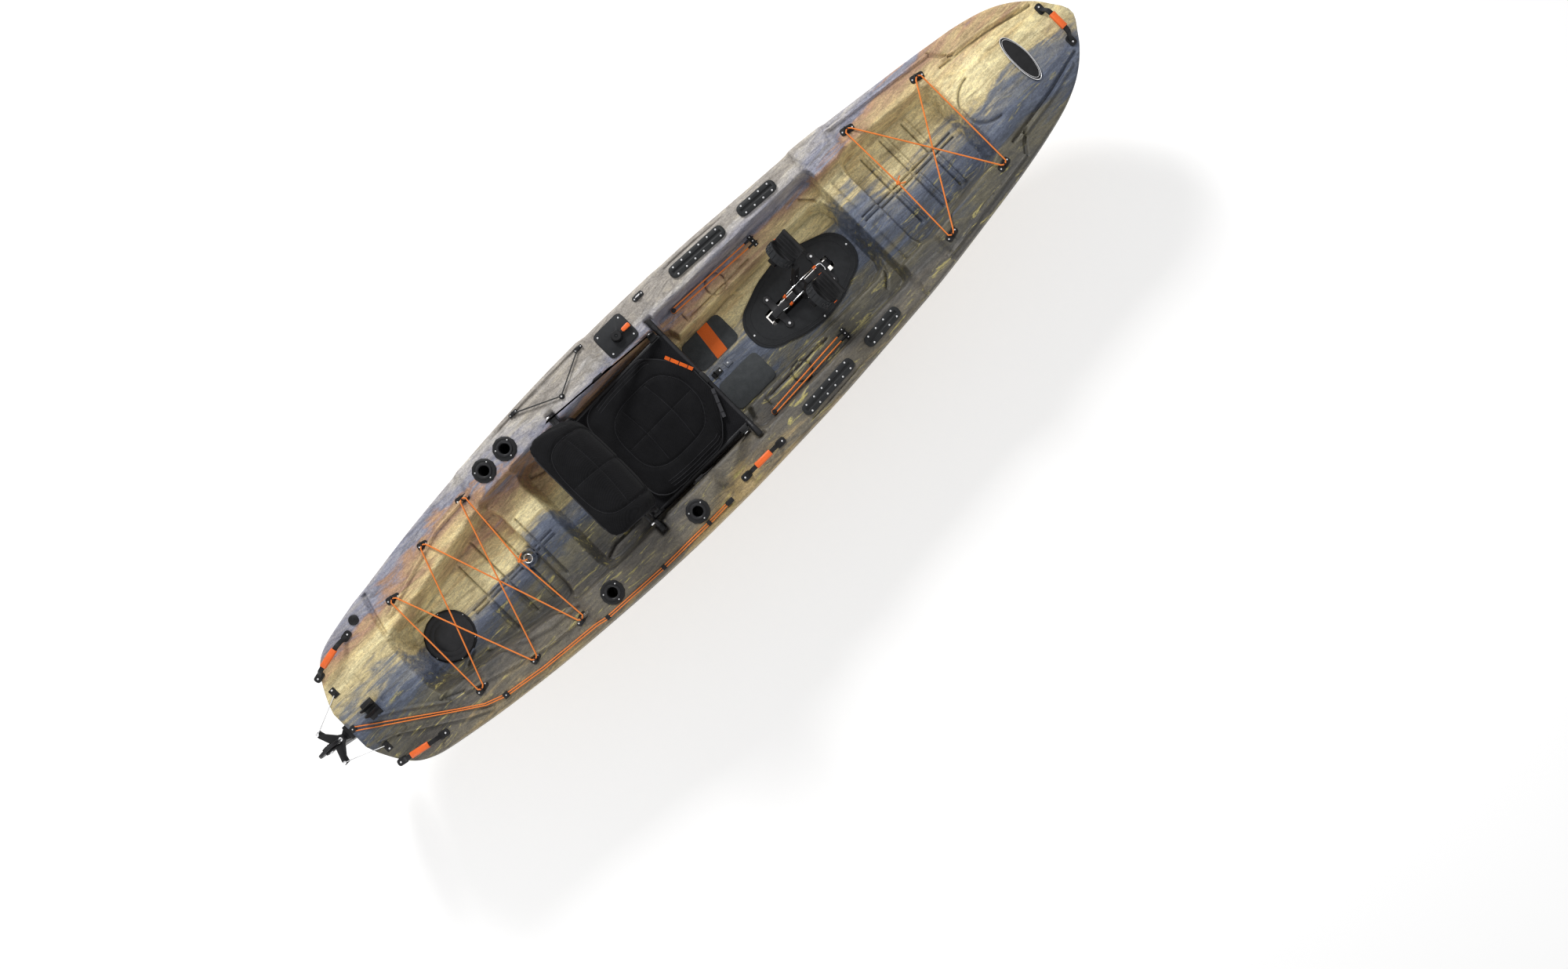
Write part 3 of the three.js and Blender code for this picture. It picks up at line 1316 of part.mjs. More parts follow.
const backLine = backShares.map(backPlace);
const [strapPinX, strapPinZ] = backLine[2];
{
  const b = back;
  const side = (sign) => backLine.slice(0, 4).map(([x, z], index) => (
    [x, sign * THREE.MathUtils.lerp(b.frameY, b.headHalf + b.headFlare, index / 4), z]
  ));
  const head = backLine[4];
  const path = bent([
    ...side(-1),
    [head[0], -b.headHalf, head[1]],
    [head[0], b.headHalf, head[1]],
    ...side(1).reverse(),
  ], b.bend, 2);
  const hubs = sideNames.flatMap(([, sign]) => [
    bar([seat.hingeX, sign * b.hubIn, seat.hingeZ], [seat.hingeX, sign * b.hubOut, seat.hingeZ], b.hub, 10),
    bar(
      [strapPinX, sign * (b.frameY - b.tube), strapPinZ],
      [strapPinX, sign * b.strapPinOut, strapPinZ],
      b.strapPin,
      cordSides,
    ),
  ]);
  const bores = sideNames.map(([, sign]) => bar(
    [seat.hingeX, sign * (b.hubIn - 4 * b.tube), seat.hingeZ],
    [seat.hingeX, sign * (b.hubOut + b.tube), seat.hingeZ],
    seat.pin + seat.fit,
    10,
  ));
  add('backrest_frame', 'black', cut(joined(tube(path, b.tube), ...hubs), ...bores));

  const [padFoot, padHead] = padEndShares.map(backPlace);
  const curve = new THREE.CatmullRomCurve3(
    [padFoot, ...backLine.slice(1, 4), padHead].map(([x, z]) => new THREE.Vector3(x, 0, z)),
  );
  const crossShares = [-0.45, -0.05, 0.35];
  add('backrest_cushion', 'charcoal', pad(b.rows, b.columns, (u, v, sideUp) => {
    const share = (u * (1 - 0.04 * Math.abs(v) ** 6) + 1) / 2;
    const point = curve.getPointAt(share);
    const along = curve.getTangentAt(share);
    const corner = 1 - 0.1 * Math.abs(u) ** 6;
    const taper = THREE.MathUtils.lerp(1, b.headWidthShare, Math.max(0, u));
    const y = v * b.halfWidth * corner * taper;
    const full = fullness(u, v);
    const oval = (Math.hypot(u / b.ovalLengthShare, v / b.ovalWidthShare) - 1) * b.halfWidth * b.ovalWidthShare;
    const inOval = oval < 0 ? 1 : 0;
    const length = curve.getLength() / 2;
    const cross = Math.min(...crossShares.map((place) => Math.abs(u - place - 0.16 * v * v) * length));
    const sewn = channel(oval, b.channelDepth, b.channelWidth)
      + inOval * channel(y, b.channelDepth * 0.7, b.channelWidth)
      + inOval * channel(cross, b.channelDepth * 0.6, b.channelWidth);
    const top = b.thickness * (0.4 + 0.6 * full) + full * (b.crown * (1 - v * v) - sewn);
    const lift = b.padOffset + (sideUp > 0 ? top : b.thickness * 0.4 * (1 - full) ** 4);
    return new THREE.Vector3(point.x + along.z * lift, y, point.z - along.x * lift);
  }));
}

// Side straps from the pins of the back down to the front of the seat.
const strap = {
  width: 30, thickness: 3, y: railY + seatReach.strap, bucklePart: 0.47, buckleHalf: 20, buckleThickness: 9,
};
sideNames.forEach(([side, sign]) => {
  const start = new THREE.Vector2(strapPinX, strapPinZ);
  const end = new THREE.Vector2(seat.strapLugX, seat.strapLugTop - strap.width * 0.6);
  const along = end.clone().sub(start).normalize();
  const far = start.clone().addScaledVector(along, -strap.width * 0.6);
  const middle = start.clone().lerp(end, strap.bucklePart);
  const place = (point, distance) => point.clone().addScaledVector(along, distance).toArray();
  const across = (thickness) => {
    const [inner, outer] = [sign * strap.y, sign * (strap.y + thickness)];
    return [Math.min(inner, outer), Math.max(inner, outer)];
  };
  add(`seat_strap_${side}`, 'black', cut(
    joined(
      slab(strip([far.toArray(), end.toArray()], strap.width), ...across(strap.thickness)),
      slab(
        strip([place(middle, -strap.buckleHalf), place(middle, strap.buckleHalf)], strap.width * 1.25),
        ...across(strap.buckleThickness),
      ),
    ),
    bar(
      [start.x, sign * (strap.y - strap.width), start.y],
      [start.x, sign * (strap.y + strap.width), start.y],
      back.strapPin + seat.fit,
    ),
  ));
});

// Fin drive: a spine on a four-footed bracket, a web down through the opening and lugs for the fins.
const driveRises = { crank: 45.7, spine: 40.7, pedal: 307, rodLow: 14.7, rodTop: 69.7 };
const driveReach = {
  spineAft: 168, spineFront: 162, footAft: 124, footFront: 119, webAft: 142, webFront: 136, baseAft: 152,
  baseFront: 146, rodAft: 130, rodFront: 122, bow: 92, lugAft: 134, lugFront: 138,
};
const drive = {
  crankZ: plateTop + driveRises.crank,
  spineAft: crankX - driveReach.spineAft,
  spineFront: crankX + driveReach.spineFront,
  spineTop: plateTop + driveRises.spine,
  footFrontX: crankX + driveReach.footFront,
  footRearX: crankX - driveReach.footAft,
  webAft: crankX - driveReach.webAft,
  webFront: crankX + driveReach.webFront,
  baseAft: crankX - driveReach.baseAft,
  baseFront: crankX + driveReach.baseFront,
  shaft: 9, drum: 33, drumHalf: 14.4, spineHalf: 13, bracketThickness: 7, footY: 63, foot: 17, webHalf: 11,
  baseHalf: 24, baseLow: 8, baseTop: 15, lugHalf: 9, lugLength: 13, lugLow: -11, axle: 4, axleZ: -3, fit: 0.6,
  armIn: 24, armOut: 42,
};
const finLugs = [crankX - driveReach.lugAft, crankX, crankX + driveReach.lugFront];
{
  const d = drive;
  const bracketLow = plateTop + boat.seat;
  const bracketTop = bracketLow + d.bracketThickness;
  const middleX = (d.footFrontX + d.footRearX) / 2;
  const feetPlaces = [[d.footFrontX, 1], [d.footFrontX, -1], [d.footRearX, 1], [d.footRearX, -1]];
  const feet = feetPlaces.flatMap(([x, sign]) => {
    const inward = Math.sign(middleX - x) * d.foot;
    const leg = [
      [x - Math.abs(inward), 0], [x + Math.abs(inward), 0],
      [x + d.foot * 0.7, sign * d.footY], [x - d.foot * 0.7, sign * d.footY],
    ];
    return [
      prism(leg, bracketLow, bracketTop),
      prism(circle([x, sign * d.footY], d.foot, cordSides), bracketLow, bracketTop),
    ];
  });
  const spine = slab([
    [d.spineAft, bracketLow],
    [d.spineFront, bracketLow],
    [d.spineFront - d.foot, bracketTop + d.foot],
    [crankX + 2 * d.drum, d.spineTop],
    [crankX - 2 * d.drum, d.spineTop],
    [d.spineAft + d.foot, bracketTop + d.foot],
  ], -d.spineHalf, d.spineHalf);
  const lugs = finLugs.map((x) => block(
    [x - d.lugLength / 2, -d.lugHalf, d.lugLow],
    [x + d.lugLength / 2, d.lugHalf, d.baseTop],
  ));
  add('drive_unit', 'black', joined(
    spine,
    ...feet,
    bar([crankX, -d.drumHalf, d.crankZ], [crankX, d.drumHalf, d.crankZ], d.drum, 14),
    bar([crankX, -d.armOut - d.foot / 3, d.crankZ], [crankX, d.armOut + d.foot / 3, d.crankZ], d.shaft, 10),
    ...sideNames.map(([, sign]) => {
      const [inner, outer] = [sign * (d.armOut + boat.seat), sign * (d.armOut + d.foot / 3)];
      return bar([crankX, inner, d.crankZ], [crankX, outer, d.crankZ], d.shaft * 1.5, 10);
    }),
    block([d.webAft, -d.webHalf, d.baseLow], [d.webFront, d.webHalf, bracketTop]),
    block([d.baseAft, -d.baseHalf, d.baseLow], [d.baseFront, d.baseHalf, d.baseTop]),
    ...lugs,
    bar([finLugs[0], 0, d.axleZ], [finLugs[2], 0, d.axleZ], d.axle, cordSides),
  ));
}

// Bent steel rods over the spine: one along each side, joined in a bow at the front.
const rods = {
  aftX: crankX - driveReach.rodAft, frontX: crankX + driveReach.rodFront, bowX: crankX + driveReach.bow,
  low: plateTop + driveRises.rodLow, top: plateTop + driveRises.rodTop, radius: 4, narrow: 18.8, wide: 19.2,
  bend: 16, riseLength: 44, rise: 22, shoulder: 58, dropLength: 30, hump: 14, bowRise: 34, frontRise: 26,
};
{
  const r = rods;
  const side = (sign) => [
    [r.aftX, sign * r.narrow, r.low],
    [r.aftX + r.riseLength, sign * r.wide, r.low + r.rise],
    [crankX - r.shoulder, sign * r.wide, r.top],
    [crankX + r.dropLength, sign * r.narrow, r.top + r.hump],
    [r.bowX, sign * r.narrow, r.low + r.bowRise],
  ];
  add('drive_rods', 'steel', tube(bent([
    ...side(1),
    [r.frontX, r.narrow, r.low + r.frontRise],
    [r.frontX, -r.narrow, r.low + r.frontRise],
    ...side(-1).reverse(),
  ], r.bend, 1), r.radius, 6));
}

// Pedal arms on the crank shaft, each with a stub axle for its pedal.
const arm = {
  hub: 20, width: 26, topWidth: 22, axleZ: drive.crankZ + driveRises.pedal, axle: 6, axleReach: 146, cap: 15,
};
const pedal = {
  inY: 49, outY: 156, length: 106, thickness: 14, tilt: 33, forward: 22, rim: 5, rimHeight: 16, boss: 11,
  strapWidth: 30, strapThickness: 3.5, strapHeight: 76, fit: 0.5, tailDrop: 92,
};
sideNames.forEach(([side, sign]) => {
  const across = (inner, outer) => [Math.min(sign * inner, sign * outer), Math.max(sign * inner, sign * outer)];
  const [low, high] = across(drive.armIn, drive.armOut);
  const top = arm.axleZ + arm.cap;
  add(`pedal_arm_${side}`, 'black', cut(
    joined(
      bar([crankX, low, drive.crankZ], [crankX, high, drive.crankZ], arm.hub, 18),
      slab([
        [crankX - arm.width / 2, drive.crankZ],
        [crankX + arm.width / 2, drive.crankZ],
        [crankX + arm.topWidth / 2, top],
        [crankX - arm.topWidth / 2, top],
      ], low, high),
      bar(
        [crankX, sign * drive.armIn, arm.axleZ],
        [crankX, sign * arm.axleReach, arm.axleZ],
        arm.axle,
        12,
      ),
    ),
    bar(
      [crankX, low - arm.hub, drive.crankZ],
      [crankX, high + arm.hub, drive.crankZ],
      drive.shaft + pedal.fit,
      14,
    ),
  ));

  // The pedal is made flat about its own axle, then tilted with its front end up.
  const p = pedal;
  const [inner, outer] = across(p.inY, p.outY);
  const [aft, front] = [p.forward - p.length / 2, p.forward + p.length / 2];
  const plate = slab([
    [aft, -p.thickness / 2],
    [front, -p.thickness / 2],
    [front + p.rim, p.rimHeight],
    [front - p.rim, p.rimHeight],
    [front - 2 * p.rim, p.thickness / 2],
    [aft, p.thickness / 2],
  ], inner, outer);
  const [left, right] = [inner + p.strapThickness, outer - p.strapThickness];
  const middle = (left + right) / 2;
  const arch = strip([
    [left, 0],
    [left, p.strapHeight * 0.55],
    [left + (middle - left) * 0.35, p.strapHeight * 0.88],
    [middle, p.strapHeight],
    [right - (right - middle) * 0.35, p.strapHeight * 0.88],
    [right, p.strapHeight * 0.55],
    [right, 0],
  ], p.strapThickness);
  const archBand = plank(arch, p.forward - p.strapWidth * 0.9, p.forward + p.strapWidth * 0.1);
  const tail = strip([
    [p.forward - p.strapWidth * 0.5, p.strapHeight - p.strapThickness * 0.3],
    [aft + p.strapWidth * 0.1, p.strapHeight * 0.8],
    [aft - p.strapWidth * 0.5, p.strapHeight * 0.35],
    [aft - p.strapWidth * 0.55, -p.thickness],
    [aft - p.strapWidth * 0.1, p.strapHeight - p.tailDrop - p.thickness],
  ], p.strapThickness);
  const link = block(
    [aft - p.strapWidth * 0.7, middle - p.strapWidth / 2, -p.thickness / 2],
    [aft + p.rim, middle + p.strapWidth / 2, p.thickness * 0.2],
  );
  const body = cut(
    joined(
      plate,
      bar([0, inner, 0], [0, outer, 0], p.boss, 14),
      archBand,
      slab(tail, middle - p.strapWidth / 2, middle + p.strapWidth / 2),
      link,
    ),
    bar([0, inner - p.boss, 0], [0, outer + p.boss, 0], arm.axle + p.fit, 12),
  );
  add(`pedal_${side}`, 'black', body
    .rotateY(THREE.MathUtils.degToRad(-p.tilt))
    .translate(crankX, 0, arm.axleZ));
});

// Fins: a hub on the axle, a raked mast along the leading edge and a thin sail.
const fin = {
  chord: 132, span: 300, topZ: -8, half: 4, mast: 6.5, hub: 8.5, rearX: crankX - driveReach.baseAft, clear: 0.8,
};
// Sail outline from its top aft corner: shares of the chord and of the span.
const sailShares = [
  [0.23, 0.0], [0.34, 0.0], [0.36, -0.07], [0.97, -0.1], [0.94, -0.2], [0.6, -0.873], [0.5, -0.94],
  [0.36, -0.985], [0.2, -1.0], [0.06, -0.995], [0.0, -0.92], [0.0, -0.34], [0.13, -0.15],
];
const mastShares = [[0.9, 0.0], [0.965, -0.1], [0.6, -0.87], [0.53, -0.93]];
[['fin_rear', 0], ['fin_front', 1]].forEach(([name, index]) => {
  const f = fin;
  const hubAft = finLugs[index] + drive.lugLength / 2 + f.clear;
  const hubFront = finLugs[index + 1] - drive.lugLength / 2 - f.clear;
  const aftX = f.rearX + index * (finLugs[1] - finLugs[0]);
  const place = ([x, z]) => [aftX + x * f.chord, f.topZ + z * f.span];
  const mast = mastShares.map(place).map(([x, z]) => [x, 0, z]);
  add(name, 'rubber', cut(
    joined(
      slab(sailShares.map(place), -f.half, f.half),
      tube(mast, f.mast),
      bar([hubAft, 0, drive.axleZ], [hubFront, 0, drive.axleZ], f.hub, 12),
    ),
    bar([hubAft - f.chord, 0, drive.axleZ], [hubFront + f.chord, 0, drive.axleZ], drive.axle + drive.fit, 10),
  ));
});

export default kayak;
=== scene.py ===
"""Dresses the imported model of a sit-on-top pedal fishing kayak for rendering."""
import logging
import math
from dataclasses import dataclass
from enum import Enum
from typing import Callable, Iterable, Sequence

import bmesh
import bpy
import numpy as np
from mathutils import Matrix, Vector
from mathutils.bvhtree import BVHTree


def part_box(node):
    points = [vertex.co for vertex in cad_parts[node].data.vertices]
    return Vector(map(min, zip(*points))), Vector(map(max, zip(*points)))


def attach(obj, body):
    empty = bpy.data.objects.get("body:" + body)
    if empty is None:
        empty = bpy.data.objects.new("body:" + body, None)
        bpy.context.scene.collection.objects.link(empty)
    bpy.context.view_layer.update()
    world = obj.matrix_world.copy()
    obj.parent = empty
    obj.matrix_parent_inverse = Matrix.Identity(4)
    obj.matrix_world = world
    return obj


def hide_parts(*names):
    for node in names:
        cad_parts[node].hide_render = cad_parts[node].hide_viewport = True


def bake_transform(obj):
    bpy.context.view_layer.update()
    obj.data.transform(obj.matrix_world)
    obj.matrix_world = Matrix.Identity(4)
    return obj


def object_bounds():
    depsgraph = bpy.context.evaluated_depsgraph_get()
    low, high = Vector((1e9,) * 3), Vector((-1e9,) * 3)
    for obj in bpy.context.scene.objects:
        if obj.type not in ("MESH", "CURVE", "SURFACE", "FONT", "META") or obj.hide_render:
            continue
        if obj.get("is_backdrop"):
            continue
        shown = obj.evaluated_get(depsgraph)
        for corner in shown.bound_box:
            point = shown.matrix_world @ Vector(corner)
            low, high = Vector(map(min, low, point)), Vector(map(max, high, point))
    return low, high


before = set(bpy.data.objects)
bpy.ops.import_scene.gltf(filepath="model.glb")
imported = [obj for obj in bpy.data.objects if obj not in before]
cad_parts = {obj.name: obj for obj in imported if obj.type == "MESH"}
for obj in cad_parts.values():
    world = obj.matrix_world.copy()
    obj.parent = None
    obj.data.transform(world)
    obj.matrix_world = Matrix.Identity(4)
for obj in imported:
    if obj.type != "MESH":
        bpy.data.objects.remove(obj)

LOG = logging.getLogger("kayak")
CAD_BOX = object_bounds()
Flat = tuple[float, float]
Point = tuple[float, float, float]
Colour = tuple[float, float, float]
Socket = bpy.types.NodeSocket
Material = bpy.types.Material
Mesh = bpy.types.Mesh
Thing = bpy.types.Object
Solid = bmesh.types.BMesh
UP: Point = (0, 0, 1)
DOWN = Vector((0, 0, -1))
PLAIN: Point = (1.0, 1.0, 1.0)
COCKPIT_FLOOR = 0.1003
DRAIN_X = -1.01
SLOT_MIDDLE_X = 0.471
HATCH: Flat = (-1.433, 0.0)
ROD_TUBES: tuple[tuple[str, float, float], ...] = (
    ("port_aft", -0.864, 0.328),
    ("port_forward", -0.752, 0.332),
    ("starboard_aft", -0.846, -0.328),
    ("starboard_forward", -0.409, -0.339),
)


class Body(str, Enum):
    """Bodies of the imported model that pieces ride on."""

    HULL = "hull"
    LID = "hatch_lid"
    PLUG = "drain_plug"
    HEAD = "rudder_head"
    BLADE = "rudder_blade"
    LEVER = "steering_lever"
    SEAT = "seat"
    BACK = "backrest"
    DRIVE = "drive"
    ARM_PORT = "pedal_arm_port"
    ARM_STARBOARD = "pedal_arm_starboard"
    PEDAL_PORT = "pedal_port"
    PEDAL_STARBOARD = "pedal_starboard"
    FIN_REAR = "fin_rear"
    FIN_FRONT = "fin_front"


class Side(Enum):
    """Sides of the boat, each with the sign of its Y."""

    PORT = 1
    STARBOARD = -1


# Finishes.


class Nodes:
    """Node tree of one material, with short calls for the nodes that the finishes share."""

    def __init__(self, name: str) -> None:
        """Starts a material that has only a shader and its output.

        Args:
            name: Name of the new material.
        """
        self.material = bpy.data.materials.new(name)
        self.material.use_nodes = True
        self.tree = self.material.node_tree
        self.tree.nodes.clear()
        output = self.add("ShaderNodeOutputMaterial")
        self.shader = self.add("ShaderNodeBsdfPrincipled")
        self.link(self.shader.outputs["BSDF"], output.inputs["Surface"])
        self.place = self.add("ShaderNodeTexCoord").outputs["Object"]

    def add(self, kind: str, **settings: object) -> bpy.types.Node:
        """Adds one node.

        Args:
            kind: Node type.
            settings: Attributes to set on it.

        Returns:
            The new node.
        """
        node = self.tree.nodes.new(kind)
        for key, value in settings.items():
            setattr(node, key, value)
        return node

    def link(self, source: Socket, target: Socket) -> None:
        """Joins two sockets.

        Args:
            source: Socket that gives the value.
            target: Socket that takes it.
        """
        self.tree.links.new(source, target)

    def feed(self, socket: Socket, value: object) -> None:
        """Sets a socket to a value, or links it if the value is a socket.

        Args:
            socket: Socket to feed.
            value: Value or socket.
        """
        if isinstance(value, Socket):
            self.link(value, socket)
        else:
            socket.default_value = value

    def mapped(self, scale: Point, turn: Point = (0.0, 0.0, 0.0), shift: Point = (0.0, 0.0, 0.0)) -> Socket:
        """Object coordinates, stretched, turned and moved.

        Args:
            scale: Stretch along each axis.
            turn: Turn about each axis in radians.
            shift: Move along each axis.

        Returns:
            The mapped vector.
        """
        node = self.add("ShaderNodeMapping")
        self.link(self.place, node.inputs["Vector"])
        node.inputs["Scale"].default_value = scale
        node.inputs["Rotation"].default_value = turn
        node.inputs["Location"].default_value = shift
        return node.outputs["Vector"]

    def noise(
        self, vector: object, scale: float, detail: float = 3.0, rough: float = 0.5, warp: float = 0.0,
    ) -> Socket:
        """Fractal noise.

        Args:
            vector: Coordinates to read.
            scale: Repeats in a metre.
            detail: Octaves.
            rough: Weight of each finer octave.
            warp: How far the noise folds into itself.

        Returns:
            The noise as a value from nothing to one.
        """
        node = self.add("ShaderNodeTexNoise")
        self.feed(node.inputs["Vector"], vector)
        node.inputs["Scale"].default_value = scale
        node.inputs["Detail"].default_value = detail
        node.inputs["Roughness"].default_value = rough
        node.inputs["Distortion"].default_value = warp
        return node.outputs["Fac"]

    def wave(self, vector: object, scale: float, direction: str, warp: float = 0.0) -> Socket:
        """Sine bands along one direction.

        Args:
            vector: Coordinates to read.
            scale: Scale of the wave, each unit of which gives about three bands in a metre.
            direction: Axis that the bands cross.
            warp: How far the bands wander.

        Returns:
            The bands as a value from nothing to one.
        """
        node = self.add("ShaderNodeTexWave", wave_type="BANDS", bands_direction=direction)
        self.feed(node.inputs["Vector"], vector)
        node.inputs["Scale"].default_value = scale
        node.inputs["Distortion"].default_value = warp
        return node.outputs["Fac"]

    def math(self, operation: str, first: object, second: object = 0.0, clamp: bool = False) -> Socket:
        """Result of a sum on two values.

        Args:
            operation: Name of the sum.
            first: First value or socket.
            second: Second value or socket.
            clamp: Whether the result is kept from nothing to one.

        Returns:
            The result.
        """
        node = self.add("ShaderNodeMath", operation=operation, use_clamp=clamp)
        self.feed(node.inputs[0], first)
        self.feed(node.inputs[1], second)
        return node.outputs[0]

    def ramp(self, value: Socket, stops: Sequence[tuple[float, Colour]], smooth: bool = False) -> Socket:
        """Colours along a value.

        Args:
            value: Value that picks the colour.
            stops: Places and colours.
            smooth: Whether the colours ease into each other.

        Returns:
            The colour.
        """
        node = self.add("ShaderNodeValToRGB")
        band = node.color_ramp
        band.interpolation = "EASE" if smooth else "LINEAR"
        while len(band.elements) < len(stops):
            band.elements.new(0.5)
        for element, (place, colour) in zip(band.elements, stops):
            element.position = place
            element.color = (*colour, 1.0)
        self.link(value, node.inputs["Fac"])
        return node.outputs["Color"]

    def steps(self, value: Socket, low: float, high: float) -> Socket:
        """Value that climbs from nothing at low to one at high.

        Args:
            value: Value to read.
            low: Where the climb starts.
            high: Where it ends.

        Returns:
            The climbing value.
        """
        node = self.add("ShaderNodeMapRange", interpolation_type="SMOOTHSTEP")
        self.link(value, node.inputs["Value"])
        node.inputs["From Min"].default_value = low
        node.inputs["From Max"].default_value = high
        return node.outputs["Result"]

    def mix(self, share: object, first: object, second: object, blend: str = "MIX") -> Socket:
        """Mix of two colours.

        Args:
            share: How much of the second.
            first: First colour or socket.
            second: Second colour or socket.
            blend: How they mix.

        Returns:
            The mixed colour.
        """
        node = self.add("ShaderNodeMix", data_type="RGBA", blend_type=blend)
        self.feed(node.inputs[0], share)
        for socket, value in ((node.inputs[6], first), (node.inputs[7], second)):
            self.feed(socket, (*value, 1.0) if isinstance(value, tuple) else value)
        return node.outputs[2]

    def bump(self, height: Socket, strength: float, distance: float, under: Socket | None = None) -> Socket:
        """Normal tilted by a height.

        Args:
            height: Height from nothing to one.
            strength: Share of the effect.
            distance: Real depth in metres.
            under: A normal to add to.

        Returns:
            The tilted normal.
        """
        node = self.add("ShaderNodeBump")
        self.link(height, node.inputs["Height"])
        node.inputs["Strength"].default_value = strength
        node.inputs["Distance"].default_value = distance
        if under is not None:
            self.link(under, node.inputs["Normal"])
        return node.outputs["Normal"]

    def finish(self, colour: object, rough: object, normal: Socket | None = None, **values: float) -> Material:
        """Sets the shader.

        Args:
            colour: Base colour or socket.
            rough: Roughness or socket.
            normal: Normal, if the surface has a grain.
            values: Other sockets of the shader, with underscores for blanks.

        Returns:
            The finished material.
        """
        self.feed(self.shader.inputs["Base Color"], (*colour, 1.0) if isinstance(colour, tuple) else colour)
        self.feed(self.shader.inputs["Roughness"], rough)
        if normal is not None:
            self.link(normal, self.shader.inputs["Normal"])
        for key, value in values.items():
            self.shader.inputs[key.replace("_", " ")].default_value = value
        return self.material


@dataclass(frozen=True)
class Plastic:
    """Moulded plastic or rubber with a fine grain and slight mottling."""

    name: str
    colour: Colour
    rough: float = 0.5
    grain: float = 900.0
    depth: float = 0.0002
    mottle: float = 0.18
    shine: float = 0.5

    def build(self) -> Material:
        """Makes the material.

        Returns:
            The finished material.
        """
        nodes = Nodes(self.name)
        cloud = nodes.noise(nodes.mapped(PLAIN), 38.0, 4.0, 0.6)
        light = tuple(min(1.0, c * (1.0 + self.mottle) + 0.003) for c in self.colour)
        dark = tuple(c * (1.0 - self.mottle) for c in self.colour)
        colour = nodes.ramp(cloud, ((0.3, dark), (0.7, light)))
        grain = nodes.noise(nodes.place, self.grain, 2.0, 0.6)
        rough = nodes.math("MULTIPLY_ADD", cloud, 0.16)
        rough.node.inputs[2].default_value = self.rough - 0.08
        normal = nodes.bump(grain, 0.5, self.depth)
        return nodes.finish(colour, rough, normal, Specular_IOR_Level=self.shine)


@dataclass(frozen=True)
class Metal:
    """Bare or plated metal with fine draw marks."""

    name: str
    colour: Colour
    rough: float = 0.28

    def build(self) -> Material:
        """Makes the material.

        Returns:
            The finished material.
        """
        nodes = Nodes(self.name)
        marks = nodes.noise(nodes.mapped((1.0, 14.0, 14.0)), 160.0, 3.0, 0.6)
        light = tuple(min(1.0, c * 1.12) for c in self.colour)
        dark = tuple(c * 0.8 for c in self.colour)
        colour = nodes.ramp(marks, ((0.25, dark), (0.75, light)))
        rough = nodes.math("MULTIPLY_ADD", marks, 0.15)
        rough.node.inputs[2].default_value = self.rough - 0.06
        return nodes.finish(colour, rough, nodes.bump(marks, 0.3, 0.0001), Metallic=1.0)


@dataclass(frozen=True)
class Fabric:
    """Woven cloth with crossing yarns and a soft nap."""

    name: str
    colour: Colour
    yarns: float = 90.0
    depth: float = 0.0004
    rough: float = 0.82

    def build(self) -> Material:
        """Makes the material.

        Returns:
            The finished material.
        """
        nodes = Nodes(self.name)
        turned = nodes.mapped(PLAIN, (0.62, 0.47, math.pi / 4))
        warp = nodes.wave(turned, self.yarns, "X")
        weft = nodes.wave(turned, self.yarns, "Y")
        weave = nodes.math("MULTIPLY", warp, weft)
        wear = nodes.noise(nodes.place, 14.0, 5.0, 0.62)
        fuzz = nodes.noise(nodes.place, 420.0, 2.0, 0.6)
        light = tuple(c * 1.55 + 0.003 for c in self.colour)
        dark = tuple(c * 0.55 for c in self.colour)
        tone = nodes.math("ADD", nodes.math("MULTIPLY", weave, 0.4), nodes.math("MULTIPLY", wear, 0.6))
        colour = nodes.ramp(tone, ((0.2, dark), (0.85, light)))
        normal = nodes.bump(weave, 0.6, self.depth)
        normal = nodes.bump(fuzz, 0.4, self.depth, normal)
        return nodes.finish(
            colour, self.rough, normal, Sheen_Weight=0.02, Sheen_Roughness=0.5, Specular_IOR_Level=0.08,
        )


@dataclass(frozen=True)
class Braid:
    """Braided sleeve of a cord, with flecks of another colour."""

    name: str
    colour: Colour
    fleck: Colour
    flecks: float = 0.25

    def build(self) -> Material:
        """Makes the material.

        Returns:
            The finished material.
        """
        nodes = Nodes(self.name)
        one = nodes.wave(nodes.mapped(PLAIN, (0.4, 0.3, math.pi / 4)), 110.0, "X")
        two = nodes.wave(nodes.mapped(PLAIN, (-0.4, 0.3, -math.pi / 4)), 110.0, "X")
        braid = nodes.math("MULTIPLY", one, two)
        shade = nodes.ramp(braid, ((0.0, tuple(c * 0.45 for c in self.colour)), (0.5, self.colour)))
        spots = nodes.noise(nodes.place, 260.0, 1.0, 0.5)
        share = nodes.steps(spots, 0.72 - self.flecks * 0.3, 0.76 - self.flecks * 0.3)
        colour = nodes.mix(share, shade, self.fleck)
        return nodes.finish(colour, 0.7, nodes.bump(braid, 0.8, 0.0006), Sheen_Weight=0.15)


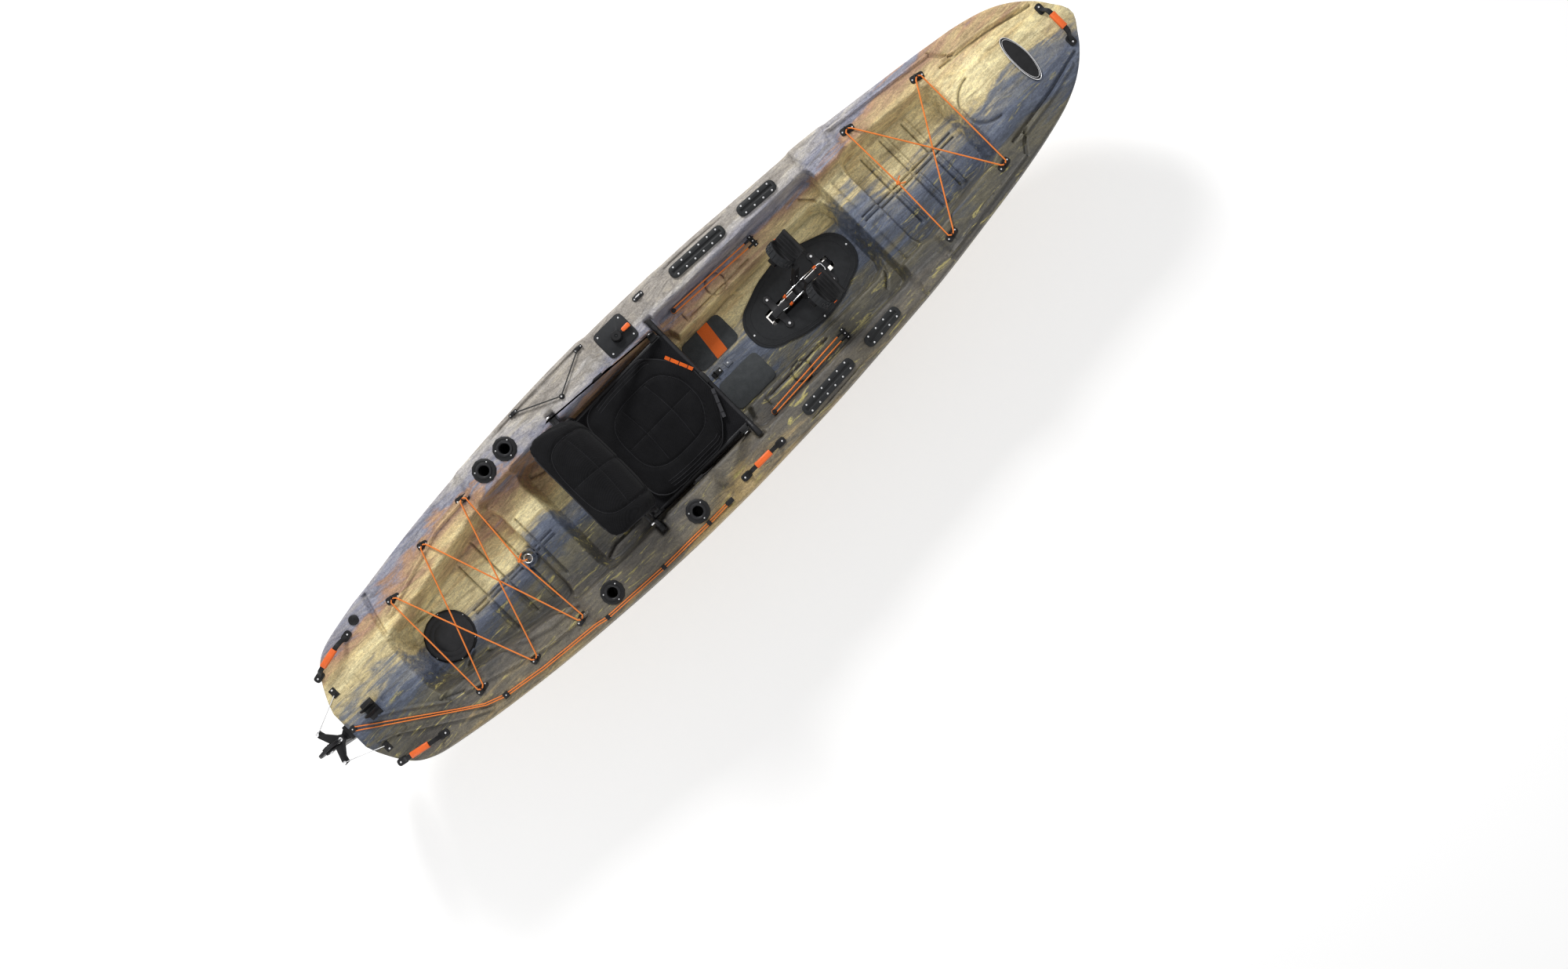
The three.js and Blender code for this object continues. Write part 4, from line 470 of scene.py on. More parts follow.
@dataclass(frozen=True)
class CamoDeck:
    """Moulded deck plastic whose colours run in long streaks from stern to bow, with shade painted into its grooves
    and hollows.
    """

    name: str = "camo_deck"

    def build(self) -> Material:
        """Makes the material.

        Returns:
            The finished material.
        """
        nodes = Nodes(self.name)
        split = nodes.add("ShaderNodeSeparateXYZ")
        nodes.link(nodes.place, split.inputs[0])
        across = nodes.math("MULTIPLY", split.outputs["Y"], 1.15)
        drift = nodes.noise(nodes.mapped((0.55, 1.6, 1.0)), 1.5, 3.0, 0.5, 0.4)
        sway = nodes.math("MULTIPLY", nodes.math("SUBTRACT", drift, 0.5), 0.62)
        streak = nodes.noise(nodes.mapped((1.1, 7.5, 4.0), (0.0, 0.0, 0.16)), 3.2, 6.0, 0.66, 1.1)
        ragged = nodes.math("MULTIPLY", nodes.math("SUBTRACT", streak, 0.5), 0.34)
        place = nodes.math("ADD", nodes.math("ADD", across, sway), nodes.math("ADD", ragged, 0.5))
        bands = nodes.ramp(place, (
            (0.0, (0.42, 0.31, 0.15)),
            (0.07, (0.155, 0.135, 0.10)),
            (0.15, (0.105, 0.095, 0.082)),
            (0.23, (0.055, 0.053, 0.050)),
            (0.31, (0.105, 0.095, 0.065)),
            (0.38, (0.050, 0.060, 0.085)),
            (0.46, (0.105, 0.125, 0.180)),
            (0.52, (0.20, 0.205, 0.215)),
            (0.57, (0.56, 0.46, 0.25)),
            (0.63, (0.80, 0.70, 0.41)),
            (0.70, (0.66, 0.52, 0.27)),
            (0.76, (0.50, 0.35, 0.20)),
            (0.81, (0.43, 0.26, 0.17)),
            (0.86, (0.25, 0.26, 0.34)),
            (0.91, (0.37, 0.355, 0.38)),
            (0.96, (0.47, 0.445, 0.425)),
            (1.0, (0.34, 0.31, 0.28)),
        ))
        flame = nodes.noise(nodes.mapped((2.0, 11.0, 6.0), (0.0, 0.0, -0.22), (3.0, 1.0, 0.0)), 2.6, 7.0, 0.7, 1.6)
        olive = nodes.steps(flame, 0.56, 0.68)
        low = nodes.math("SUBTRACT", 1.0, nodes.steps(place, 0.30, 0.62))
        bands = nodes.mix(nodes.math("MULTIPLY", nodes.math("MULTIPLY", olive, low), 0.8), bands, (0.52, 0.45, 0.16))
        smoke = nodes.noise(nodes.mapped((1.4, 5.0, 3.0), (0.0, 0.0, 0.3), (7.0, 2.0, 0.0)), 4.2, 6.0, 0.68, 0.8)
        bands = nodes.mix(nodes.math("MULTIPLY", nodes.steps(smoke, 0.54, 0.74), 0.42), bands, (0.055, 0.058, 0.07))
        grain = nodes.noise(nodes.place, 330.0, 3.0, 0.7)
        speckle = nodes.ramp(grain, ((0.3, (0.72, 0.72, 0.72)), (0.7, (1.26, 1.26, 1.26))))
        colour = nodes.mix(1.0, bands, speckle, "MULTIPLY")
        coarse = nodes.noise(nodes.place, 130.0, 3.0, 0.75)
        colour = nodes.mix(
            1.0, colour, nodes.ramp(coarse, ((0.32, (0.80, 0.80, 0.80)), (0.68, (1.2, 1.2, 1.2)))), "MULTIPLY",
        )
        brushed = nodes.noise(nodes.mapped((2.2, 9.0, 5.0), (0.0, 0.0, 0.42), (5.0, 3.0, 0.0)), 5.0, 5.0, 0.62, 1.8)
        strokes = nodes.ramp(
            brushed, ((0.32, (0.72, 0.71, 0.68)), (0.5, (1.0, 1.0, 1.0)), (0.68, (1.32, 1.30, 1.18))),
        )
        colour = nodes.mix(1.0, colour, strokes, "MULTIPLY")
        # Painted shade: the deck colour is darkened where the moulded surface is hollow (grooves, steps and the
        # corners of the wells), read from the mesh's pointiness.
        curve = nodes.add("ShaderNodeNewGeometry").outputs["Pointiness"]
        shaded = nodes.ramp(curve, ((0.44, (0.42, 0.42, 0.43)), (0.497, (1.0, 1.0, 1.0))))
        colour = nodes.mix(1.0, colour, shaded, "MULTIPLY")
        fine = nodes.noise(nodes.place, 520.0, 2.0, 0.65)
        soft = nodes.noise(nodes.place, 60.0, 3.0, 0.5)
        normal = nodes.bump(fine, 0.55, 0.0006)
        normal = nodes.bump(soft, 0.35, 0.0012, normal)
        normal = nodes.bump(brushed, 0.5, 0.006, normal)
        rough = nodes.math("MULTIPLY_ADD", soft, 0.2)
        rough.node.inputs[2].default_value = 0.42
        return nodes.finish(colour, rough, normal, Specular_IOR_Level=0.4)


@dataclass(frozen=True)
class TanHull:
    """Tan hull plastic with faint scuffs along the keel."""

    name: str = "tan_hull"

    def build(self) -> Material:
        """Makes the material.

        Returns:
            The finished material.
        """
        nodes = Nodes(self.name)
        cloud = nodes.noise(nodes.mapped((0.8, 2.0, 2.0)), 3.0, 5.0, 0.6, 0.3)
        colour = nodes.ramp(cloud, ((0.3, (0.52, 0.415, 0.285)), (0.7, (0.62, 0.505, 0.36))))
        grain = nodes.noise(nodes.place, 420.0, 2.0, 0.6)
        speck = nodes.ramp(grain, ((0.25, (0.9, 0.9, 0.9)), (0.75, (1.06, 1.06, 1.06))))
        colour = nodes.mix(1.0, colour, speck, "MULTIPLY")
        scuff = nodes.noise(nodes.mapped((1.5, 60.0, 60.0)), 2.2, 6.0, 0.75)
        colour = nodes.mix(nodes.math("MULTIPLY", nodes.steps(scuff, 0.66, 0.74), 0.35), colour, (0.40, 0.32, 0.22))
        normal = nodes.bump(grain, 0.4, 0.0004)
        normal = nodes.bump(nodes.noise(nodes.place, 26.0, 3.0, 0.5), 0.3, 0.0015, normal)
        return nodes.finish(colour, 0.4, normal, Specular_IOR_Level=0.45)


@dataclass(frozen=True)
class FloorPad:
    """Dark foam pad with a slanted orange band across it and a fine pimple."""

    name: str = "floor_pad"
    band_middle: float = 0.087
    band_half: float = 0.027
    slant: float = 0.12

    def build(self) -> Material:
        """Makes the material.

        Returns:
            The finished material.
        """
        nodes = Nodes(self.name)
        split = nodes.add("ShaderNodeSeparateXYZ")
        nodes.link(nodes.place, split.inputs[0])
        side = nodes.math("ABSOLUTE", split.outputs["Y"])
        along = nodes.math("SUBTRACT", split.outputs["X"], nodes.math("MULTIPLY", side, self.slant))
        away = nodes.math("ABSOLUTE", nodes.math("SUBTRACT", along, self.band_middle - 0.105 * self.slant))
        port = nodes.steps(split.outputs["Y"], -0.01, 0.01)
        inside = nodes.math("MULTIPLY", nodes.math("LESS_THAN", away, self.band_half), port)
        cloud = nodes.noise(nodes.place, 40.0, 4.0, 0.6)
        dark = nodes.ramp(cloud, ((0.3, (0.030, 0.034, 0.037)), (0.7, (0.048, 0.052, 0.056))))
        colour = nodes.mix(inside, dark, (0.80, 0.15, 0.020))
        cells = nodes.add("ShaderNodeTexVoronoi")
        nodes.link(nodes.place, cells.inputs["Vector"])
        cells.inputs["Scale"].default_value = 320.0
        return nodes.finish(colour, 0.85, nodes.bump(cells.outputs["Distance"], 0.6, 0.0008))


class Finish(Enum):
    """Every finish of the kayak, built once when first asked for."""

    DECK = CamoDeck()
    HULL = TanHull()
    PAD = FloorPad()
    BLACK = Plastic("black_moulding", (0.010, 0.010, 0.011), 0.5, shine=0.2)
    SATIN = Plastic("satin_black", (0.013, 0.013, 0.015), 0.42, depth=0.0001, shine=0.25)
    RUBBER = Plastic("black_rubber", (0.013, 0.013, 0.014), 0.72, 600.0, 0.0004, shine=0.2)
    GREY = Plastic("dark_plate", (0.017, 0.018, 0.020), 0.6, 700.0, 0.0004, shine=0.2)
    TRUNK = Plastic("trunk_plastic", (0.05, 0.05, 0.052), 0.5)
    TRACK = Plastic("track_black", (0.012, 0.013, 0.014), 0.45, 1200.0, 0.0001, shine=0.22)
    ORANGE = Plastic("orange_plastic", (0.80, 0.135, 0.016), 0.42, depth=0.0002, mottle=0.08)
    FIN = Plastic("fin_rubber", (0.060, 0.061, 0.066), 0.5, 500.0, 0.0003)
    COATED = Plastic("coated_tube", (0.016, 0.016, 0.017), 0.3, 1500.0, 0.0001, 0.1, 0.6)
    CHROME = Metal("bright_rod", (0.78, 0.78, 0.80), 0.18)
    STEEL = Metal("screw_steel", (0.74, 0.74, 0.75), 0.32)
    CLOTH = Fabric("seat_cloth", (0.0075, 0.0075, 0.0085))
    MESH = Fabric("seat_panel", (0.010, 0.010, 0.0115), 60.0, 0.0007)
    WEB = Fabric("grey_webbing", (0.055, 0.055, 0.06), 130.0, 0.0003, 0.7)
    PIPING = Fabric("grey_piping", (0.030, 0.030, 0.033), 160.0, 0.0002, 0.65)
    BLACK_WEB = Fabric("black_webbing", (0.016, 0.016, 0.018), 130.0, 0.0003, 0.7)
    ORANGE_WEB = Fabric("orange_webbing", (0.72, 0.125, 0.018), 130.0, 0.0003, 0.7)
    ORANGE_CORD = Braid("orange_cord", (0.80, 0.125, 0.012), (0.16, 0.035, 0.01), 0.25)
    BLACK_CORD = Braid("black_cord", (0.022, 0.022, 0.024), (0.10, 0.10, 0.11), 0.1)

    def material(self) -> Material:
        """The material of this finish.

        Returns:
            The material, built when it is first asked for.
        """
        found = bpy.data.materials.get(self.value.name)
        return found if found is not None else self.value.build()


# Tools for shapes.


class Piece:
    """One object in the making, gathered from meshes of one finish or several."""

    def __init__(self, name: str, body: Body | None) -> None:
        """Starts an empty piece.

        Args:
            name: Name of the object.
            body: Body that it rides on, or none for a piece that is attached to no body.
        """
        self.name = name
        self.body = body
        self.mesh = bpy.data.meshes.new(name)
        self.gathered = bmesh.new()
        self.finishes: list[Finish] = []

    def take(self, part: Solid, finish: Finish, place: Matrix | None = None) -> "Piece":
        """Adds a mesh in one finish, and frees it.

        Args:
            part: The mesh to add.
            finish: Its finish.
            place: Where it goes, if it isn't in place yet.

        Returns:
            The piece, so that calls can follow each other.
        """
        if finish not in self.finishes:
            self.finishes.append(finish)
        if place is not None:
            bmesh.ops.transform(part, matrix=place, verts=part.verts)
        for face in part.faces:
            face.material_index = self.finishes.index(finish)
        pour(part, self.gathered)
        return self

    def screwed(
        self, heads: Iterable[tuple[Point, Point]], radius: float = 0.0035, height: float = 0.0018,
        place: Matrix | None = None,
    ) -> "Piece":
        """Adds steel screw heads.

        Args:
            heads: Foot of each head, and the way it points.
            radius: Radius of a head.
            height: Height of a head.
            place: Where they go, if they aren't in place yet.

        Returns:
            The piece, so that calls can follow each other.
        """
        return self.take(screws(heads, radius, height), Finish.STEEL, place)

    def done(self, *stands_for: str, angle: float = 35.0) -> Thing:
        """Makes the object, dresses it and sets it on its body.

        Args:
            stands_for: CAD nodes that it stands for.
            angle: Edges sharper than this, in degrees, stay sharp.

        Returns:
            The finished object.
        """
        self.gathered.to_mesh(self.mesh)
        self.gathered.free()
        for finish in self.finishes:
            self.mesh.materials.append(finish.material())
        return settle(self.mesh, self.name, self.body, stands_for, angle)


def meshed(part: Solid, name: str) -> Mesh:
    """Turns a mesh in the making into a named mesh, and frees it.

    Args:
        part: The mesh in the making.
        name: Name of the new mesh.

    Returns:
        The new mesh.
    """
    mesh = bpy.data.meshes.new(name)
    part.to_mesh(mesh)
    part.free()
    return mesh


def opened(mesh: Mesh) -> Solid:
    """Mesh in the making that starts as a copy of a finished one.

    Args:
        mesh: The finished mesh.

    Returns:
        The copy.
    """
    part = bmesh.new()
    part.from_mesh(mesh)
    return part


def pour(part: Solid, into: Solid) -> None:
    """Adds one mesh in the making to another, and frees it.

    Args:
        part: The mesh to add.
        into: The mesh that it joins.
    """
    passing = meshed(part, "passing")
    into.from_mesh(passing)
    bpy.data.meshes.remove(passing)


def placed(name: str, data: bpy.types.ID) -> Thing:
    """New object in the scene.

    Args:
        name: Name of the object.
        data: Mesh, curve, lamp or camera that it shows.

    Returns:
        The object.
    """
    thing = bpy.data.objects.new(name, data)
    bpy.context.scene.collection.objects.link(thing)
    return thing


def moved(x: float, y: float, z: float, degrees: float = 0.0, axis: str = "Z") -> Matrix:
    """Turn about an axis, and then a move.

    Args:
        x: Move along X.
        y: Move along Y.
        z: Move along Z.
        degrees: Size of the turn.
        axis: Axis of the turn.

    Returns:
        The matrix.
    """
    return Matrix.Translation((x, y, z)) @ Matrix.Rotation(math.radians(degrees), 4, axis)


def oblong(low: Flat, high: Flat) -> list[Flat]:
    """Corners of an oblong in order.

    Args:
        low: Its lowest corner.
        high: Its highest corner.

    Returns:
        The four corners.
    """
    return [low, (high[0], low[1]), high, (low[0], high[1])]


def painted(mesh: Mesh, finish: Finish) -> Mesh:
    """Gives a whole mesh one finish in place of those that it has.

    Args:
        mesh: The mesh, which is changed.
        finish: Its finish.

    Returns:
        The same mesh.
    """
    mesh.materials.clear()
    mesh.materials.append(finish.material())
    return mesh


def settle(mesh: Mesh, name: str, body: Body | None, stands_for: Iterable[str] = (), angle: float = 35.0) -> Thing:
    """Puts a finished mesh into the scene.

    Args:
        mesh: The mesh.
        name: Name of the object.
        body: Body that it rides on, or none for a piece that is attached to no body.
        stands_for: CAD nodes that it stands for.
        angle: Edges sharper than this, in degrees, stay sharp.

    Returns:
        The object.
    """
    mesh.polygons.foreach_set("use_smooth", [True] * len(mesh.polygons))
    mesh.set_sharp_from_angle(angle=math.radians(angle))
    piece = placed(name, mesh)
    if body is not None:
        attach(piece, body.value)
    nodes = list(stands_for)
    if nodes:
        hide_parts(*nodes)
    LOG.info("%s: %d faces", name, len(mesh.polygons))
    return piece


def evaluated(piece: Thing) -> Mesh:
    """Mesh of an object with its modifiers applied.

    Args:
        piece: The object.

    Returns:
        The new mesh.
    """
    graph = bpy.context.evaluated_depsgraph_get()
    return bpy.data.meshes.new_from_object(piece.evaluated_get(graph))


def baked(mesh: Mesh, *modifiers: tuple[str, dict[str, object]]) -> Mesh:
    """Applies modifiers to a mesh.

    Args:
        mesh: The mesh to start from.
        modifiers: Type and settings of each modifier, in order.

    Returns:
        The new mesh.
    """
    holder = placed("holder", mesh)
    for kind, settings in modifiers:
        modifier = holder.modifiers.new(kind.lower(), kind)
        for key, value in settings.items():
            setattr(modifier, key, value)
    result = evaluated(holder)
    bpy.data.objects.remove(holder)
    return result


def merged_copy(node: str) -> Solid:
    """Copy of a CAD node with its loose triangles joined.

    Args:
        node: Name of the node.

    Returns:
        The copy.
    """
    copy = opened(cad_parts[node].data)
    bmesh.ops.remove_doubles(copy, verts=copy.verts, dist=2e-5)
    return copy


def softened(part: Solid, width: float, segments: int = 2, angle: float = 32.0) -> Solid:
    """Rounds the sharp edges of a mesh.

    Args:
        part: The mesh, which is changed.
        width: Width of the round in metres.
        segments: Steps in the round.
        angle: Edges sharper than this, in degrees, are rounded.

    Returns:
        The same mesh.
    """
    limit = math.radians(angle)
    edges = [edge for edge in part.edges if edge.is_manifold and edge.calc_face_angle(0.0) > limit]
    bmesh.ops.bevel(
        part, geom=edges, offset=width, segments=segments, profile=0.5, affect="EDGES", clamp_overlap=True,
        material=-1,
    )
    return part


def refined(node: str, width: float = 0.001, segments: int = 2, flat: float = 1.5) -> Solid:
    """Copy of a CAD node with flat faces joined and sharp edges rounded.

    Args:
        node: Name of the node.
        width: Width of the rounds in metres.
        segments: Steps in each round.
        flat: Faces that meet within this angle, in degrees, are joined.

    Returns:
        The copy.
    """
    copy = merged_copy(node)
    bmesh.ops.dissolve_limit(
        copy, angle_limit=math.radians(flat), verts=copy.verts, edges=copy.edges, use_dissolve_boundaries=False,
    )
    return softened(copy, width, segments)


def dressed(
    node: str, finish: Finish, body: Body, width: float = 0.001, angle: float = 35.0, flat: float = 1.5,
) -> Thing:
    """Replaces a CAD node with a refined copy in a finish.

    Args:
        node: Name of the node.
        finish: Finish of the copy.
        body: Body that it rides on.
        width: Width of the rounds in metres.
        angle: Edges sharper than this, in degrees, stay sharp.
        flat: Faces that meet within this angle, in degrees, are joined.

    Returns:
        The copy's object.
    """
    part = refined(node, width, 2, flat) if width > 0 else merged_copy(node)
    return Piece(f"{node}_shown", body).take(part, finish).done(node, angle=angle)


def curved(points: Sequence[Point], steps: int = 6, closed: bool = False) -> list[Vector]:
    """Smooth line through points.

    Args:
        points: Points in metres.
        steps: New points in each span.
        closed: Whether the line comes back to its start.

    Returns:
        The points of the smooth line.
    """
    knots = [Vector(point) for point in points]
    count = len(knots)
    spans = count if closed else count - 1
    line: list[Vector] = []
    for span in range(spans):
        pick = [
            knots[(span + shift) % count] if closed else knots[min(max(span + shift, 0), count - 1)]
            for shift in (-1, 0, 1, 2)
        ]
        for step in range(steps):
            t = step / steps
            line.append(0.5 * (
                2 * pick[1] + (pick[2] - pick[0]) * t
                + (2 * pick[0] - 5 * pick[1] + 4 * pick[2] - pick[3]) * t * t
                + (3 * pick[1] - pick[0] - 3 * pick[2] + pick[3]) * t ** 3
            ))
    if not closed:
        line.append(knots[-1])
    return line


def cord(points: Sequence[Vector], radius: float, sides: int = 3, closed: bool = False) -> Solid:
    """Round cord, wire or tube along a line.

    Args:
        points: Points in metres.
        radius: Radius in metres.
        sides: Steps in each quarter of the round.
        closed: Whether the line comes back to its start.

    Returns:
        The tube as a closed mesh.
    """
    data = bpy.data.curves.new("line", "CURVE")
    data.dimensions = "3D"
    data.bevel_depth = radius
    data.bevel_resolution = sides
    data.use_fill_caps = True
    spline = data.splines.new("POLY")
    spline.points.add(len(points) - 1)
    for place, point in zip(spline.points, points):
        place.co = (*point, 1.0)
    spline.use_cyclic_u = closed
    holder = placed("line", data)
    mesh = evaluated(holder)
    bpy.data.objects.remove(holder)
    bpy.data.curves.remove(data)
    part = opened(mesh)
    bpy.data.meshes.remove(mesh)
    bmesh.ops.remove_doubles(part, verts=part.verts, dist=1e-6)
    bmesh.ops.recalc_face_normals(part, faces=part.faces)
    return part


def turned(profile: Sequence[Flat], sides: int = 32) -> Solid:
    """Lathe shape about Z.

    Args:
        profile: Radius and height of each point, from the bottom up on the outside.
        sides: Steps round.

    Returns:
        The closed mesh.
    """
    part = bmesh.new()
    verts = [part.verts.new((radius, 0.0, height)) for radius, height in profile]
    edges = [part.edges.new(pair) for pair in zip(verts, verts[1:])]
    if profile[0][0] > 1e-9 and profile[-1][0] > 1e-9:
        edges.append(part.edges.new((verts[-1], verts[0])))
    bmesh.ops.spin(
        part, geom=verts + edges, cent=(0, 0, 0), axis=(0, 0, 1), angle=2 * math.pi, steps=sides, use_merge=True,
    )
    bmesh.ops.remove_doubles(part, verts=part.verts, dist=1e-6)
    bmesh.ops.recalc_face_normals(part, faces=part.faces)
    return part


def rod(
    start: Point, end: Point, radius: float, sides: int = 20, round_off: float = 0.0, far: float | None = None,
) -> Solid:
    """Straight round bar between two points.

    Args:
        start: Middle of one end.
        end: Middle of the other end.
        radius: Radius in metres.
        sides: Steps round.
        round_off: Width of the round at the ends.
        far: Radius at the far end, if it tapers.

    Returns:
        The closed mesh.
    """
    line = Vector(end) - Vector(start)
    part = bmesh.new()
    bmesh.ops.create_cone(
        part, cap_ends=True, segments=sides, radius1=radius, radius2=radius if far is None else far,
        depth=line.length,
    )
    if round_off > 0:
        softened(part, round_off, 2, 50.0)
    turn = line.to_track_quat("Z", "Y").to_matrix().to_4x4()
    bmesh.ops.transform(part, matrix=Matrix.Translation((Vector(start) + Vector(end)) / 2) @ turn, verts=part.verts)
    return part


def block(one: Point, other: Point, round_off: float = 0.001, segments: int = 2) -> Solid:
    """Box between two opposite corners with rounded edges.

    Args:
        one: One of the corners.
        other: The corner opposite it.
        round_off: Width of the round on its edges.
        segments: Steps in the round.

    Returns:
        The closed mesh.
    """
    part = bmesh.new()
    bmesh.ops.create_cube(part, size=1.0)
    low, high = (tuple(map(pick, one, other)) for pick in (min, max))
    bmesh.ops.scale(part, vec=Vector(high) - Vector(low), verts=part.verts)
    bmesh.ops.translate(part, vec=(Vector(high) + Vector(low)) / 2, verts=part.verts)
    return softened(part, round_off, segments) if round_off > 0 else part


def rounded_outline(points: Sequence[Flat], radius: float, steps: int = 6) -> list[Flat]:
    """Outline with its corners rounded.

    Args:
        points: Corners in order.
        radius: Radius of the corners.
        steps: Steps in each corner.

    Returns:
        The points of the new outline.
    """
    ring: list[Flat] = []
    for index, here in enumerate(points):
        at = Vector(here)
        before = Vector(points[index - 1]) - at
        after = Vector(points[(index + 1) % len(points)]) - at
        reach = min(radius, before.length * 0.48, after.length * 0.48)
        first, last = at + before.normalized() * reach, at + after.normalized() * reach
        for step in range(steps + 1):
            t = step / steps
            ring.append(tuple(first * (1 - t) ** 2 + at * 2 * t * (1 - t) + last * t * t))
    return ring


def plate(outline: Sequence[Flat], low: float, high: float, round_off: float = 0.001) -> Solid:
    """Flat plate of an outline in X and Y.

    Args:
        outline: Points in order.
        low: Height of its underside.
        high: Height of its top.
        round_off: Width of the round on its edges.

    Returns:
        The closed mesh.
    """
    part = bmesh.new()
    face = part.faces.new([part.verts.new((x, y, low)) for x, y in outline])
    raised = bmesh.ops.extrude_face_region(part, geom=[face])["geom"]
    bmesh.ops.translate(part, vec=(0, 0, high - low), verts=[v for v in raised if isinstance(v, bmesh.types.BMVert)])
    bmesh.ops.recalc_face_normals(part, faces=part.faces)
    return softened(part, round_off, 2, 50.0) if round_off > 0 else part


def band(points: Sequence[Vector], across: Sequence[Vector], thickness: float, columns: int = 2) -> Solid:
    """Flat strap along a line.

    Args:
        points: Middle of the strap, point by point.
        across: From its middle to its edge at each point.
        thickness: Thickness in metres.
        columns: Faces over its width.

    Returns:
        The closed mesh.
    """
    part = bmesh.new()
    rows = len(points)
    bmesh.ops.create_grid(part, x_segments=columns, y_segments=rows - 1, size=1.0)
    part.verts.ensure_lookup_table()
    for index, vert in enumerate(part.verts):
        row, column = divmod(index, columns + 1)
        vert.co = Vector(points[row]) + Vector(across[row]) * (2 * column / columns - 1)
    bmesh.ops.solidify(part, geom=part.faces[:], thickness=thickness)
    bmesh.ops.recalc_face_normals(part, faces=part.faces)
    return part


def screws(places: Iterable[tuple[Point, Point]], radius: float = 0.0035, height: float = 0.0018) -> Solid:
    """Domed screw heads with a recess.

    Args:
        places: Foot of each head, and the way it points.
        radius: Radius of a head.
        height: Height of a head.

    Returns:
        All the heads as one mesh.
    """
    result = bmesh.new()
    for foot, way in places:
        head = bmesh.new()
        bmesh.ops.create_cone(head, cap_ends=True, segments=12, radius1=radius, radius2=radius * 0.72, depth=height)
        top = max(head.faces, key=lambda face: face.calc_center_median().z)
        bmesh.ops.inset_region(head, faces=[top], thickness=radius * 0.3, depth=0.0)
        bmesh.ops.inset_region(head, faces=[top], thickness=radius * 0.06, depth=-height * 0.5)
        turn = Vector(way).to_track_quat("Z", "Y").to_matrix().to_4x4()
        place = Matrix.Translation(Vector(foot) + Vector(way).normalized() * height / 2) @ turn
        bmesh.ops.transform(head, matrix=place, verts=head.verts)
        pour(head, result)
    return result


def ring(middle: Point, radius: float, wire: float, way: Point = UP, sides: int = 40) -> Solid:
    """Round ring of round wire.

    Args:
        middle: Middle of the ring.
        radius: Radius of the ring's middle line.
        wire: Radius of the wire.
        way: Axis of the ring.
        sides: Steps round.

    Returns:
        The closed mesh.
    """
    turn = Vector(way).to_track_quat("Z", "Y").to_matrix()
    points = [
        Vector(middle) + turn @ Vector((radius * math.cos(a), radius * math.sin(a), 0.0))
        for a in (2 * math.pi * step / sides for step in range(sides))
    ]
    return cord(points, wire, 2, True)


# Hull and deck.


class Marks:
    """Grooves, ribs and panels of a moulding, gathered as heights on a grid.

    Attributes:
        boldness: How much deeper the lines are drawn than they are stated.
    """

    boldness: float = 2.3

    def __init__(self, xs: np.ndarray, ys: np.ndarray) -> None:
        """Starts with nothing pressed in.

        Args:
            xs: Places of the rows.
            ys: Places of the columns.
        """
        self.xs, self.ys = xs, ys
        self.lines = np.zeros((len(xs), len(ys)))
        self.areas = np.zeros((len(xs), len(ys)))

    def window(self, low: np.ndarray, high: np.ndarray) -> tuple | None:
        """Part of the grid between two corners.

        Args:
            low: Lowest X and Y.
            high: Highest X and Y.

        Returns:
            Index of the part and its X and Y, or none when it is empty.
        """
        rows = np.where((self.xs > low[0]) & (self.xs < high[0]))[0]
        columns = np.where((self.ys > low[1]) & (self.ys < high[1]))[0]
        if not len(rows) or not len(columns):
            return None
        px, py = np.meshgrid(self.xs[rows], self.ys[columns], indexing="ij")
        return np.ix_(rows, columns), px, py

    def groove(self, line: Sequence[Flat], width: float, depth: float) -> None:
        """Presses a groove, or with a negative depth a rib.

        Args:
            line: Its points in X and Y.
            width: Half of its width.
            depth: Depth at its middle.
        """
        for start, end in zip(line, line[1:]):
            a, b = np.array(start), np.array(end)
            part = self.window(np.minimum(a, b) - 3 * width, np.maximum(a, b) + 3 * width)
            if part is None:
                continue
            index, px, py = part
            length = max(float(np.dot(b - a, b - a)), 1e-9)
            share = np.clip(((px - a[0]) * (b[0] - a[0]) + (py - a[1]) * (b[1] - a[1])) / length, 0, 1)
            away = np.hypot(px - a[0] - share * (b[0] - a[0]), py - a[1] - share * (b[1] - a[1]))
            change = -depth * np.exp(-((away / width) ** 4))
            seen = self.lines[index]
            self.lines[index] = np.where(np.abs(change) > np.abs(seen), change, seen)

    def arc(
        self, middle: Flat, radius: float, width: float, depth: float, start: float = 0.0, sweep: float = 360.0,
    ) -> None:
        """Presses a groove along an arc.

        Args:
            middle: Its centre.
            radius: Its radius.
            width: Half of the groove's width.
            depth: Depth of the groove.
            start: Angle of its start in degrees.
            sweep: Angle that it covers in degrees.
        """
        angles = [math.radians(start + sweep * step / 32) for step in range(33)]
        x, y = middle
        self.groove([(x + radius * math.cos(angle), y + radius * math.sin(angle)) for angle in angles], width, depth)

    def panel(self, outline: Sequence[Flat], rise: float, corner: float = 0.010, soft: float = 0.004) -> None:
        """Raises a flat pad, or with a negative rise sinks a pocket, over a bulging outline.

        Args:
            outline: Corners in order.
            rise: How far it stands out.
            corner: Rounding of its corners.
            soft: Half of the width of its sloping sides.
        """
        corners = np.array(outline)
        middle = corners.mean(axis=0)
        part = self.window(corners.min(axis=0) - 4 * soft, corners.max(axis=0) + 4 * soft)
        if part is None:
            return
        index, px, py = part
        total = np.zeros_like(px)
        deepest = np.full_like(px, -1.0)
        for a, b in zip(corners, np.roll(corners, -1, axis=0)):
            way = np.array([b[1] - a[1], a[0] - b[0]])
            way = way / np.linalg.norm(way)
            if np.dot(middle - a, way) > 0:
                way = -way
            away = (px - a[0]) * way[0] + (py - a[1]) * way[1]
            total += np.maximum(away + corner, 0) ** 2
            deepest = np.maximum(deepest, away)
        away = np.where(total > 0, np.sqrt(total) - corner, deepest)
        share = np.clip((soft - away) / (2 * soft), 0, 1)
        self.areas[index] += rise * share * share * (3 - 2 * share)

    def heights(self) -> np.ndarray:
        """All the marks together.

        Returns:
            Heights to add, on the grid.
        """
        return self.lines * self.boldness + self.areas


